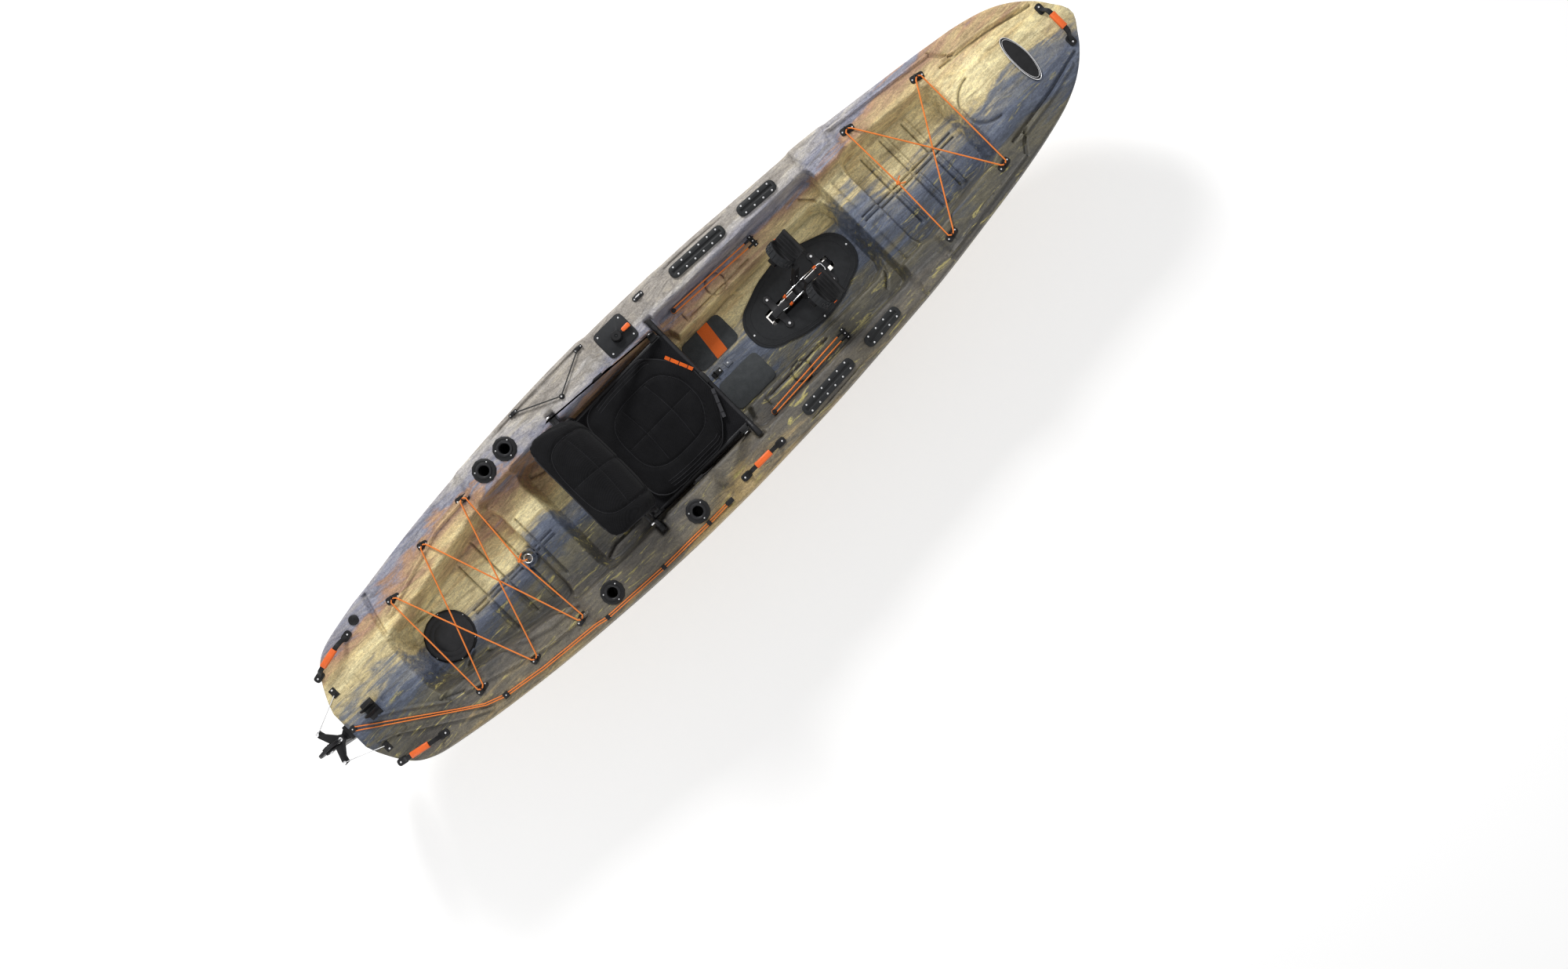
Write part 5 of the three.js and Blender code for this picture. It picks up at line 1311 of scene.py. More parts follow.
@dataclass
class Mouldings:
    """Upper and lower mouldings as smooth skins drawn over the CAD shells."""

    pitch: float = 0.003
    blur: float = 0.0036
    wall: float = 0.004
    edge_round: float = 0.014
    edge_lean: float = 0.005
    ease: float = 0.06
    rows: int = 1150
    columns: int = 150
    half_beam: float = 0.432
    samples: int = 1200
    share_blur: float = 6.0
    hull_wall: float = 0.0045
    lengths: int = 4
    edge_steps: int = 6

    def tree(self, node: str) -> BVHTree:
        """Search tree over one CAD node.

        Args:
            node: Name of the node.

        Returns:
            The tree.
        """
        return BVHTree.FromBMesh(merged_copy(node))

    def stations(self, node: str, top: bool) -> np.ndarray:
        """Places of the seam along the boat, whose outline bulges all the way.

        Args:
            node: CAD node to read.
            top: Whether the seam is the node's highest edge there.

        Returns:
            Rows of place along the boat, half width and height.
        """
        copy = merged_copy(node)
        found: dict[int, Point] = {}
        for vert in copy.verts:
            key = round(vert.co.x * 500)
            x, y, z = vert.co
            if key not in found or y > found[key][1] + 1e-4 or (
                abs(y - found[key][1]) <= 1e-4 and (z > found[key][2]) == top
            ):
                found[key] = (x, y, z)
        copy.free()
        outline: list[Point] = []
        for spot in sorted(found.values()):
            while len(outline) > 1 and (outline[-1][0] - outline[-2][0]) * (spot[1] - outline[-2][1]) >= (
                outline[-1][1] - outline[-2][1]
            ) * (spot[0] - outline[-2][0]):
                outline.pop()
            outline.append(spot)
        return np.array(outline)

    def eased(self, table: np.ndarray, places: object, column: int) -> np.ndarray:
        """Seam read at places along the boat, as a line without corners.

        Args:
            table: Stations of the seam.
            places: Where to read it.
            column: 1 for the half width, 2 for the height.

        Returns:
            The values there.
        """
        fine = np.linspace(table[0, 0], table[-1, 0], 1500)
        values = np.interp(fine, table[:, 0], table[:, column])
        sigma = self.ease / (fine[1] - fine[0])
        reach = int(3 * sigma)
        kernel = np.exp(-0.5 * (np.arange(-reach, reach + 1) / sigma) ** 2)
        carried = np.pad(values, reach, mode="reflect", reflect_type="odd")
        return np.interp(places, fine, np.convolve(carried, kernel / kernel.sum(), "valid"))

    def heights(self, tree: BVHTree, xs: np.ndarray, ys: np.ndarray) -> np.ndarray:
        """Height of a shell seen from above, on a grid.

        Args:
            tree: Search tree of the shell.
            xs: Places of the rows.
            ys: Places of the columns.

        Returns:
            The heights, with gaps where nothing is met.
        """
        field = np.full((len(xs), len(ys)), np.nan)
        for row, x in enumerate(xs):
            for column, y in enumerate(ys):
                spot = tree.ray_cast(Vector((x, y, 1.0)), DOWN)[0]
                if spot is not None:
                    field[row, column] = spot.z
        return field

    @staticmethod
    def smoothed(values: np.ndarray, sigma: float, axis: int) -> np.ndarray:
        """Values blurred along one axis, with the ends carried on.

        Args:
            values: The values.
            sigma: Width of the blur in cells.
            axis: Axis to blur along.

        Returns:
            The blurred values.
        """
        reach = max(1, int(3 * sigma))
        kernel = np.exp(-0.5 * (np.arange(-reach, reach + 1) / sigma) ** 2)
        kernel /= kernel.sum()
        pads = [(reach, reach) if index == axis else (0, 0) for index in range(values.ndim)]
        padded = np.pad(values, pads, mode="edge")
        return np.apply_along_axis(lambda line: np.convolve(line, kernel, "valid"), axis, padded)

    @staticmethod
    def filled(field: np.ndarray) -> np.ndarray:
        """Field whose gaps take the nearest value in their row.

        Args:
            field: Heights with gaps.

        Returns:
            The heights without gaps.
        """
        result = field.copy()
        places = np.arange(field.shape[1])
        for row in result:
            known = ~np.isnan(row)
            if known.any():
                row[~known] = np.interp(places[~known], places[known], row[known])
        for row in range(len(result)):
            if np.isnan(result[row]).any():
                known = [other for other in range(len(result)) if not np.isnan(result[other]).any()]
                result[row] = result[min(known, key=lambda other: abs(other - row))]
        return result

    @staticmethod
    def mould_marks(xs: np.ndarray, ys: np.ndarray) -> np.ndarray:
        """Grooves, ribs, pockets and pads of the deck as a field of heights to add.

        Args:
            xs: Places of the rows.
            ys: Places of the columns.

        Returns:
            The heights.
        """
        marks = Marks(xs, ys)
        for x, port, starboard in (
            (-1.222, 0.165, -0.168), (-1.125, 0.201, -0.168), (-1.026, 0.212, -0.190), (-0.928, 0.134, -0.150),
        ):
            marks.groove([(x, starboard), (x, port)], 0.0045, 0.004)
            marks.groove([(x - 0.013, starboard + 0.02), (x - 0.013, -0.02)], 0.004, -0.0022)
        for y in (0.006, -0.012):
            marks.groove([(-1.30, y), (-0.86, y)], 0.0045, 0.0035)
        marks.arc((DRAIN_X, 0.0), 0.036, 0.006, -0.004)
        marks.arc((DRAIN_X, 0.0), 0.025, 0.004, 0.003)
        marks.panel(oblong((-1.74, -0.016), (-1.57, 0.006)), -0.005, 0.008)
        marks.groove([(-1.782, -0.036), (-1.70, -0.085), (-1.56, -0.187)], 0.006, -0.004)
        marks.groove([(-1.576, -0.154), (-1.50, -0.140), (-1.406, -0.099)], 0.006, -0.004)
        marks.groove([(-1.562, -0.168), (-1.465, -0.213)], 0.005, 0.003)
        marks.groove([(-1.855, -0.105), (-1.776, -0.137), (-1.547, -0.280), (-1.47, -0.318)], 0.005, -0.005)
        marks.groove([(-1.512, 0.330), (-1.535, 0.25), (-1.559, 0.15)], 0.009, 0.005)
        marks.groove([(-1.559, 0.15), (-1.49, 0.130), (-1.42, 0.118)], 0.006, 0.004)
        marks.groove(
            [(-1.36, -0.14), (-1.28, -0.18), (-1.20, -0.225), (-1.10, -0.255), (-0.97, -0.262)], 0.008, -0.004,
        )
        for x, port, starboard in ((0.986, 0.178, -0.155), (1.089, 0.178, -0.171), (1.192, 0.165, -0.160)):
            marks.groove([(x - 0.010, starboard), (x - 0.010, port)], 0.0045, 0.004)
            marks.groove([(x + 0.010, starboard), (x + 0.010, port)], 0.0045, -0.0028)
        for y in (0.010, -0.010):
            marks.groove([(0.81, y), (1.29, y)], 0.0045, 0.0038)
        marks.arc((1.437, 0.0), 0.095, 0.006, 0.0045, 95.0, 170.0)
        marks.panel([(1.50, -0.115), (1.74, -0.085), (1.74, 0.085), (1.50, 0.115)], -0.004, 0.03, 0.006)
        for low, high in ((-0.225, -0.035), (0.045, 0.190)):
            marks.panel(oblong((0.815, low), (0.880, high)), -0.009, 0.010, 0.006)
        for side in (1, -1):
            marks.panel(
                [(0.765, side * 0.374), (0.93, side * 0.356), (0.905, side * 0.285), (0.79, side * 0.285)], 0.0045,
                0.004, 0.003,
            )
            marks.arc((0.245, side * 0.238), 0.041, 0.004, 0.0035)
            marks.groove([(0.07, side * 0.245), (0.07, side * 0.215), (0.40, side * 0.215)], 0.004, 0.0035)
            marks.groove(
                [(-1.50, side * 0.20), (-1.32, side * 0.255), (-1.16, side * 0.30), (-0.97, side * 0.315)], 0.006,
                -0.004,
            )
            marks.groove([(0.93, side * 0.330), (1.20, side * 0.292), (1.40, side * 0.262)], 0.006, -0.004)
            marks.groove([(1.40, side * 0.262), (1.43, side * 0.222), (1.46, side * 0.192)], 0.007, 0.004)
            marks.groove([(1.40, side * 0.193), (1.62, side * 0.160), (1.79, side * 0.120)], 0.006, 0.0045)
            marks.groove([(1.42, side * 0.210), (1.62, side * 0.178), (1.75, side * 0.145)], 0.006, -0.004)
            marks.groove([(-0.93, side * 0.392), (-0.30, side * 0.405)], 0.005, 0.003)
            marks.groove([(0.14, side * 0.398), (0.74, side * 0.368)], 0.005, 0.003)
            marks.groove([(0.70, side * 0.24), (0.74, side * 0.20), (0.76, side * 0.12)], 0.006, 0.004)
            marks.groove([(-0.80, side * 0.22), (-0.74, side * 0.20), (-0.60, side * 0.20)], 0.006, 0.004)
        for x, y in ((-1.765, 0.125), (-1.765, -0.125)):
            marks.panel(oblong((x - 0.026, y - 0.020), (x + 0.026, y + 0.020)), -0.004, 0.008)
        return marks.heights()

    def deck_field(self, table: np.ndarray) -> tuple[np.ndarray, np.ndarray, np.ndarray]:
        """Heights of the deck with its marks, read from the CAD shell and smoothed.

        Args:
            table: Stations of the seam.

        Returns:
            Places of the rows, places of the columns, and the heights.
        """
        tree = self.tree("deck_shell")
        end = CAD_BOX[1][0]
        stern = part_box("deck_shell")[0].x
        xs = np.arange(stern + 0.0005, end, self.pitch)
        ys = np.arange(-self.half_beam, self.half_beam + 0.0001, self.pitch)
        field = self.filled(self.heights(tree, xs, ys))
        sigma = self.blur / self.pitch
        for row, half in enumerate(self.eased(table, xs, 1)):
            safe = max(half - self.edge_round - self.edge_lean - 0.003, half * 0.4)
            inside = np.abs(ys) <= safe
            field[row] = np.interp(ys, ys[inside], field[row][inside])
        return xs, ys, self.smoothed(self.smoothed(field, sigma, 0), sigma, 1) + self.mould_marks(xs, ys)

    def deck_spans(self, table: np.ndarray) -> tuple[np.ndarray, list[tuple], np.ndarray]:
        """Sections across the deck, closer together where it is steep.

        Args:
            table: Stations of the seam.

        Returns:
            Places of the sections, the sections, and the shares along each at which its points stand.
        """
        xs, ys, field = self.deck_field(table)
        half_at = self.eased(table, xs, 1)
        step_x = np.abs(np.diff(field, axis=0)).max(axis=1) * 0.5 + np.abs(np.diff(half_at)) * 1.5
        travel = np.concatenate([[0.0], np.cumsum(np.hypot(np.diff(xs), step_x))])
        rows = np.interp(np.linspace(0, travel[-1], self.rows), travel, xs)
        inner = np.linspace(-1, 1, self.samples)
        spans = []
        for x, half in zip(rows, self.eased(table, rows, 1)):
            narrow = min(1.0, half / 0.08)
            top_half = half - narrow * (self.edge_round + self.edge_lean)
            line_y = inner * top_half
            column = np.clip((line_y - ys[0]) / self.pitch, 0, len(ys) - 1.001)
            row = min((x - xs[0]) / self.pitch, len(xs) - 1.001)
            r, c = int(row), column.astype(int)
            fr, fc = row - r, column - c
            heights = (
                field[r, c] * (1 - fr) * (1 - fc) + field[r + 1, c] * fr * (1 - fc)
                + field[r, c + 1] * (1 - fr) * fc + field[r + 1, c + 1] * fr * fc
            )
            arc = np.concatenate([[0.0], np.cumsum(np.hypot(np.diff(line_y), np.diff(heights) * 0.9))])
            spans.append((line_y, heights, arc / arc[-1], half, narrow, top_half))
        shares = np.array([
            np.interp(np.linspace(0, 1, self.columns), arc, np.linspace(0, 1, len(arc))) for _, _, arc, *_ in spans
        ])
        return rows, spans, self.smoothed(shares, self.share_blur, 0)

    def deck_grid(self) -> list[list[Point]]:
        """Points of the deck with its rounded edges down to the seam.

        Returns:
            Rows of points from stern to bow.
        """
        table = self.stations("deck_shell", False)
        rows, spans, shares = self.deck_spans(table)
        seams = self.eased(table, rows, 2)
        grid: list[list[Point]] = []
        for index, (line_y, heights, _, half, narrow, top_half) in enumerate(spans):
            x, seam = float(rows[index]), float(seams[index])
            spots = shares[index] * (len(line_y) - 1)
            y_in = np.interp(spots, np.arange(len(line_y)), line_y)
            z_in = np.interp(spots, np.arange(len(line_y)), heights)
            rim = z_in[0]
            side: list[Flat] = [(half, seam)]
            rounded = narrow * self.edge_round
            for step in range(1, self.edge_steps):
                angle = math.pi / 2 * (step - 1) / (self.edge_steps - 1)
                side.append((top_half + rounded * math.cos(angle), rim - rounded + rounded * math.sin(angle)))
            starboard = [(-y, z) for y, z in side]
            grid.append([(x, y, z) for y, z in [*starboard, *zip(y_in, z_in), *reversed(side)]])
        for at_end, shift in ((0, -0.0004), (-1, 0.0004)):
            edge = grid[at_end]
            seam = edge[0][2]
            fall = [[(x + shift * step, y, z + (seam - z) * step / 4) for x, y, z in edge] for step in range(1, 5)]
            grid = [*reversed(fall), *grid] if at_end == 0 else [*grid, *fall]
        return grid

    def deck(self) -> None:
        """Deck skin with moulded edges, grooves and ribs, in lengths that meet edge to edge."""
        grid = self.deck_grid()
        borders = np.linspace(0, len(grid) - 1, self.lengths + 1).astype(int)
        for number, (first, last) in enumerate(zip(borders, borders[1:])):
            part = grid[first:last + 1]
            mesh = self.holed(self.sheet(part), self.deck_cutters(part[0][0][0], part[-1][0][0]))
            settle(painted(mesh, Finish.DECK), f"deck_skin_{number + 1}", Body.HULL, ["deck_shell"], 48.0)

    def sheet(self, grid: list[list[Point]], wall: float | None = None) -> Mesh:
        """Closed skin over a grid of points.

        Args:
            grid: Rows of points.
            wall: Thickness of the skin.

        Returns:
            The mesh.
        """
        part = bmesh.new()
        columns = len(grid[0])
        bmesh.ops.create_grid(part, x_segments=columns - 1, y_segments=len(grid) - 1, size=1.0)
        part.verts.ensure_lookup_table()
        for index, vert in enumerate(part.verts):
            row, column = divmod(index, columns)
            vert.co = grid[row][column]
        part.normal_update()
        part.faces.ensure_lookup_table()
        middle = part.faces[len(part.faces) // 2]
        outward = middle.normal.z if grid[len(grid) // 2][columns // 2][2] > 0.05 else -middle.normal.z
        if outward < 0:
            bmesh.ops.reverse_faces(part, faces=part.faces)
        return baked(meshed(part, "skin"), ("SOLIDIFY", {"thickness": wall or self.wall, "offset": -1.0}))

    def holed(self, mesh: Mesh, cutters: list[Solid]) -> Mesh:
        """Cuts holes through a skin.

        Args:
            mesh: The skin.
            cutters: Closed shapes to take away.

        Returns:
            The cut skin.
        """
        if not cutters:
            return mesh
        joined = bmesh.new()
        for cutter in cutters:
            pour(cutter, joined)
        tool = placed("cutters", meshed(joined, "cutters"))
        result = baked(mesh, ("BOOLEAN", {"operation": "DIFFERENCE", "object": tool, "solver": "EXACT"}))
        bpy.data.objects.remove(tool)
        return result

    @staticmethod
    def slot_outline() -> list[Flat]:
        """Outline of the drive slot through the boat.

        Returns:
            Its points in X and Y.
        """
        return rounded_outline(oblong((0.301, -0.030), (0.639, 0.030)), 0.012, 4)

    def deck_cutters(self, aft: float, forward: float) -> list[Solid]:
        """Shapes of the holes that lie in one length of the deck.

        Args:
            aft: Lowest X of the length.
            forward: Highest X of the length.

        Returns:
            The closed shapes.
        """
        holes = [(*HATCH, 0.0895, 0.12, 0.3), (DRAIN_X, 0.0, 0.015, 0.12, 0.3), (-1.6, 0.28, 0.0125, 0.3, 0.4)]
        holes += [(x, y, 0.0262, 0.3, 0.42) for _, x, y in ROD_TUBES]
        near = [hole for hole in holes if aft - hole[2] < hole[0] < forward + hole[2]]
        cutters = [rod((x, y, low), (x, y, high), radius, 40) for x, y, radius, low, high in near]
        if aft < 0.66 and forward > 0.28:
            cutters.append(plate(self.slot_outline(), 0.05, 0.14, 0.0))
        return cutters

    def hull(self) -> Thing:
        """Hull skin with its strakes and the drive slot.

        Returns:
            The skin's object.
        """
        tree = self.tree("hull_shell")
        table = self.stations("hull_shell", True)
        low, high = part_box("hull_shell")
        stern, bow = low.x + 0.0006, high.x - 0.0006
        rows = np.concatenate([
            np.arange(stern, -1.74, 0.005), np.arange(-1.74, 1.60, 0.014), np.arange(1.60, bow - 0.002, 0.006), [bow],
        ])
        turns = np.linspace(0.0, math.pi, 121)
        hits = np.full((len(rows), len(turns), 2), np.nan)
        for row, x in enumerate(rows):
            seam = float(np.interp(x, table[:, 0], table[:, 2]))
            for column, turn in enumerate(turns):
                way = Vector((0.0, math.cos(turn), -math.sin(turn)))
                target = Vector((x, 0.0, seam - 0.0004))
                spot = tree.ray_cast(target + way * 0.9, -way)[0]
                if spot is not None and (spot - target).dot(way) > 0.004:
                    hits[row, column] = (spot - target).length, seam
        reach = hits[:, :, 0]
        opened = (np.abs(rows[:, None] - 0.47) < 0.20) & (np.abs(turns[None, :] - math.pi / 2) < 0.22)
        reach[opened] = np.nan
        reach = self.filled(reach)
        seams = np.interp(rows, table[:, 0], table[:, 2])
        points = np.stack([reach * np.cos(turns)[None, :], seams[:, None] - reach * np.sin(turns)[None, :]], axis=2)
        body = self.smoothed(points, 2.2, 0)
        blend = np.clip(np.minimum(rows - rows[0], rows[-1] - rows) / 0.10, 0, 1)[:, None, None]
        points = points * (1 - blend) + body * blend
        inner = slice(1, len(rows) - 1)
        points[inner, :, 0] *= (self.eased(table, rows, 1) / np.maximum(points[:, 0, 0], 0.001))[inner, None]
        lift = self.eased(table, rows, 2) - points[:, 0, 1]
        points[inner, :, 1] += (lift[:, None] * points[:, :, 1] / points[:, :1, 1])[inner]
        points[:, :, 1] = np.maximum(points[:, :, 1], 0.0001)
        grid = [[(float(x), float(y), float(z)) for y, z in ring_points] for x, ring_points in zip(rows, points)]
        closed = []
        for at_end, x in ((grid[0], low.x + 0.0002), (grid[-1], high.x - 0.0002)):
            middle_z = sum(z for _, _, z in at_end) / len(at_end)
            closed.append([
                [(x, y * share, middle_z + (z - middle_z) * share) for _, y, z in at_end]
                for share in (0.9, 0.5, 0.02)
            ])
        grid = [*reversed(closed[0]), *grid, *closed[1]]
        skin = self.sheet(grid, self.hull_wall)
        mesh = self.holed(skin, [
            plate(self.slot_outline(), -0.05, 0.2, 0.0),
            rod((DRAIN_X, 0.0, -0.1), (DRAIN_X, 0.0, 0.15), 0.015, 32),
        ])
        return settle(painted(mesh, Finish.HULL), "hull_skin", Body.HULL, ["hull_shell"], 48.0)

    def pipe(self) -> Thing:
        """Drain pipe and drive trunk between the two skins.

        Returns:
            Their object.
        """
        piece = Piece("trunk_and_drain", Body.HULL)
        piece.take(refined("drive_trunk", 0.001), Finish.TRUNK)
        piece.take(
            turned([(0.0148, 0.02), (0.0178, 0.02), (0.0178, 0.1965), (0.0148, 0.1965)], 32), Finish.HULL,
            Matrix.Translation((DRAIN_X, 0, 0)),
        )
        piece.take(ring((DRAIN_X, 0, 0.1975), 0.0168, 0.0017, sides=32), Finish.STEEL)
        return piece.done("drive_trunk")

    def build(self) -> None:
        """Makes the skins and what joins them."""
        self.deck()
        self.hull()
        self.pipe()


# Fittings.


@dataclass
class DeckFittings:
    """Rigid fittings on the deck: tracks, rod tubes, hatch, eyes, pads, badge and small hardware."""

    tracks: tuple[tuple[str, float, float, float, int], ...] = (
        ("port_aft", 0.273, 0.353, -3.06, 6),
        ("port_forward", 0.572, 0.337, -4.15, 4),
        ("starboard_aft", 0.264, -0.353, 3.06, 6),
        ("starboard_forward", 0.566, -0.337, 4.15, 4),
    )
    track_top: float = 0.3263
    screw_pitch: float = 0.0425
    screw_row: float = 0.0155

    def gear_tracks(self) -> None:
        """Slotted rails with two rows of screws."""
        for name, x, y, turn, count in self.tracks:
            node = f"gear_track_{name}"
            piece = Piece(f"{node}_shown", Body.HULL).take(refined(node, 0.0015), Finish.TRACK)
            cosine, sine = math.cos(math.radians(turn)), math.sin(math.radians(turn))
            heads = []
            for step in range(count):
                along = (step - (count - 1) / 2) * self.screw_pitch
                for row in (-self.screw_row, self.screw_row):
                    heads.append((
                        (x + along * cosine - row * sine, y + along * sine + row * cosine, self.track_top), UP,
                    ))
            piece.screwed(heads, 0.0042, 0.002).done(node)

    def rod_tubes(self) -> None:
        """Flanged tubes with a raised collar and three screws each."""
        for name, x, y in ROD_TUBES:
            node = f"rod_holder_{name}"
            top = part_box(node)[1].z
            piece = Piece(f"{node}_shown", Body.HULL).take(refined(node, 0.0012), Finish.BLACK)
            collar = turned([
                (0.0206, -0.0004), (0.031, -0.0004), (0.0305, 0.0025), (0.028, 0.0046), (0.024, 0.0048),
                (0.0212, 0.003),
            ], 40)
            piece.take(collar, Finish.SATIN, Matrix.Translation((x, y, top)))
            rim = turned([(0.036, -0.0004), (0.0385, -0.0004), (0.0385, 0.0009), (0.036, 0.0009)], 40)
            piece.take(rim, Finish.BLACK, Matrix.Translation((x, y, top)))
            turns = [math.radians(angle) for angle in (30, 150, 270)]
            heads = [((x + 0.0345 * math.cos(a), y + 0.0345 * math.sin(a), top - 0.0002), UP) for a in turns]
            piece.screwed(heads, 0.0033, 0.0018).done(node)

    def round_hatch(self) -> None:
        """Hatch ring with its screws, and the lid with its grip and its moulded circles."""
        x, y = HATCH
        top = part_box("hatch_ring")[1].z
        piece = Piece("hatch_ring_shown", Body.HULL).take(refined("hatch_ring", 0.001), Finish.BLACK)
        heads = [
            ((x + 0.0965 * math.cos(a), y + 0.0965 * math.sin(a), top - 0.0003), UP)
            for a in (math.radians(60 * n + 15) for n in range(6))
        ]
        piece.screwed(heads, 0.003, 0.0018).done("hatch_ring")
        low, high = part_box("hatch_lid")
        lid = Piece("hatch_lid_shown", Body.LID)
        radius = (high.x - low.x) / 2
        base = low.z
        rise = high.z - low.z
        lid.take(turned([
            (0.0, 0.0), (radius * 0.9, 0.0), (radius * 0.9, 0.0041), (radius, 0.0042), (radius, 0.0075),
            (radius - 0.0015, 0.009),
            (radius * 0.86, 0.0098), (radius * 0.83, 0.0092), (radius * 0.80, 0.0102), (radius * 0.64, rise * 0.80),
            (radius * 0.62, rise * 0.76), (radius * 0.60, rise * 0.83), (radius * 0.3, rise * 0.94),
            (0.0, rise * 0.96),
        ], 72), Finish.SATIN, Matrix.Translation((x, y, base)))
        for angle in range(0, 360, 30):
            rib = block((radius * 0.875, -0.003, 0.006), (radius * 0.965, 0.003, 0.0105), 0.0008)
            lid.take(rib, Finish.SATIN, moved(x, y, base, angle))
        lid.done("hatch_lid")

    def eyes(self) -> None:
        """Eyes of the stretch cords with two screws each."""
        for node in [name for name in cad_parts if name.startswith("cord_eye_")]:
            low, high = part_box(node)
            middle = (low + high) / 2
            piece = Piece(f"{node}_shown", Body.HULL).take(refined(node, 0.0006, 1), Finish.BLACK)
            reach = 0.022 if "middle" in node else 0.029
            turn = moved(middle.x, middle.y, 0, -14.0 if middle.y > 0 else 14.0)
            corners = oblong((-reach, -0.0145), (reach, 0.0145))
            piece.take(
                plate(rounded_outline(corners, 0.011), low.z - 0.001, low.z + 0.0022, 0.0009), Finish.BLACK, turn,
            )
            heads = [((side * (reach - 0.008), 0.0, low.z + 0.0021), UP) for side in (-1, 1)]
            piece.screwed(heads, 0.0038, 0.002, place=turn).done(node)

    def plug(self) -> None:
        """Drain plug with a coin slot."""
        low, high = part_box("drain_plug")
        middle = (low + high) / 2
        piece = Piece("drain_plug_shown", Body.PLUG).take(refined("drain_plug", 0.001), Finish.BLACK)
        for angle in range(0, 360, 45):
            knob = block((0.0155, -0.002, -0.0052), (0.0195, 0.002, -0.0008), 0.0006)
            piece.take(knob, Finish.BLACK, moved(middle.x, middle.y, high.z, angle))
        piece.take(ring((middle.x, middle.y, high.z - 0.0003), 0.010, 0.0011), Finish.BLACK)
        piece.take(block(
            (middle.x - 0.008, middle.y - 0.0016, high.z - 0.001),
            (middle.x + 0.008, middle.y + 0.0016, high.z + 0.0014), 0.0006,
        ), Finish.BLACK)
        piece.done("drain_plug")

    def badge(self) -> None:
        """Bare oval plate on the bow deck, with a bright edge."""
        deck = BVHTree.FromBMesh(merged_copy("deck_shell"))
        x, half_x, half_y, sides = 1.617, 0.034, 0.104, 56

        def laid(share: float, angle: float, lift: float) -> Vector:
            """Place on the deck.

            Args:
                share: Share of the oval's radius.
                angle: Angle round the oval.
                lift: Height over the deck.

            Returns:
                The place.
            """
            px, py = x + half_x * share * math.cos(angle), half_y * share * math.sin(angle)
            spot = deck.ray_cast(Vector((px, py, 1.0)), DOWN)[0]
            return Vector((px, py, spot.z + lift))

        part = bmesh.new()
        bmesh.ops.create_circle(part, cap_ends=True, segments=sides, radius=1.0)
        bmesh.ops.inset_region(part, faces=part.faces[:], thickness=0.08, depth=0.0)
        for vert in part.verts:
            angle = math.atan2(vert.co.y, vert.co.x)
            vert.co = laid(vert.co.length, angle, 0.0052 if vert.co.length < 0.97 else 0.0035)
        bmesh.ops.triangulate(part, faces=[face for face in part.faces if len(face.verts) > 4])
        solid = baked(meshed(part, "badge"), ("SOLIDIFY", {"thickness": 0.004, "offset": -1.0}))
        piece = Piece("bow_badge", Body.HULL).take(opened(solid), Finish.BLACK)
        line = [laid(1.0, 2 * math.pi * step / sides, 0.0035) for step in range(sides)]
        piece.take(cord(line, 0.0014, 2, True), Finish.STEEL)
        inner = [laid(0.9, 2 * math.pi * step / sides, 0.0046) for step in range(sides)]
        piece.take(cord(inner, 0.0007, 2, True), Finish.STEEL)
        piece.done()

    def small_hardware(self) -> None:
        """Floor pads, anchor in the footwell and the pad eye on the port side deck."""
        for side in ("port", "starboard"):
            dressed(f"floor_pad_{side}", Finish.PAD, Body.HULL, 0.0012)
        floor = COCKPIT_FLOOR
        piece = Piece("footwell_anchor", Body.HULL)
        piece.take(block((-0.012, -0.011, floor), (0.034, 0.011, floor + 0.006), 0.0015), Finish.BLACK)
        loop = curved([
            (0.0, -0.009, floor + 0.004), (0.006, -0.009, floor + 0.017), (0.006, 0.009, floor + 0.017),
            (0.0, 0.009, floor + 0.004),
        ], 6)
        piece.take(cord(loop, 0.0026, 3), Finish.BLACK)
        piece.take(block((0.054, -0.014, floor), (0.086, 0.014, floor + 0.004), 0.0018), Finish.DECK)
        piece.screwed([((0.069, 0.0, floor + 0.0038), UP), ((0.026, 0.0, floor + 0.0058), UP)], 0.0045, 0.0022)
        piece.done()
        eye = Piece("port_pad_eye", Body.HULL)
        top = 0.3292
        eye.take(plate(
            rounded_outline(oblong((-0.027, 0.379), (0.023, 0.401)), 0.010), top, top + 0.0035, 0.001,
        ), Finish.GREY)
        arch = curved([
            (-0.012, 0.390, top + 0.002), (-0.010, 0.390, top + 0.013), (0.006, 0.390, top + 0.013),
            (0.008, 0.390, top + 0.002),
        ], 6)
        eye.take(cord(arch, 0.0026, 3), Finish.STEEL)
        eye.screwed([((-0.020, 0.390, top + 0.0034), UP), ((0.016, 0.390, top + 0.0034), UP)], 0.0036, 0.0018)
        eye.done()

    def build(self) -> None:
        """Makes all the fittings."""
        self.gear_tracks()
        self.rod_tubes()
        self.round_hatch()
        self.eyes()
        self.plug()
        self.badge()
        self.small_hardware()


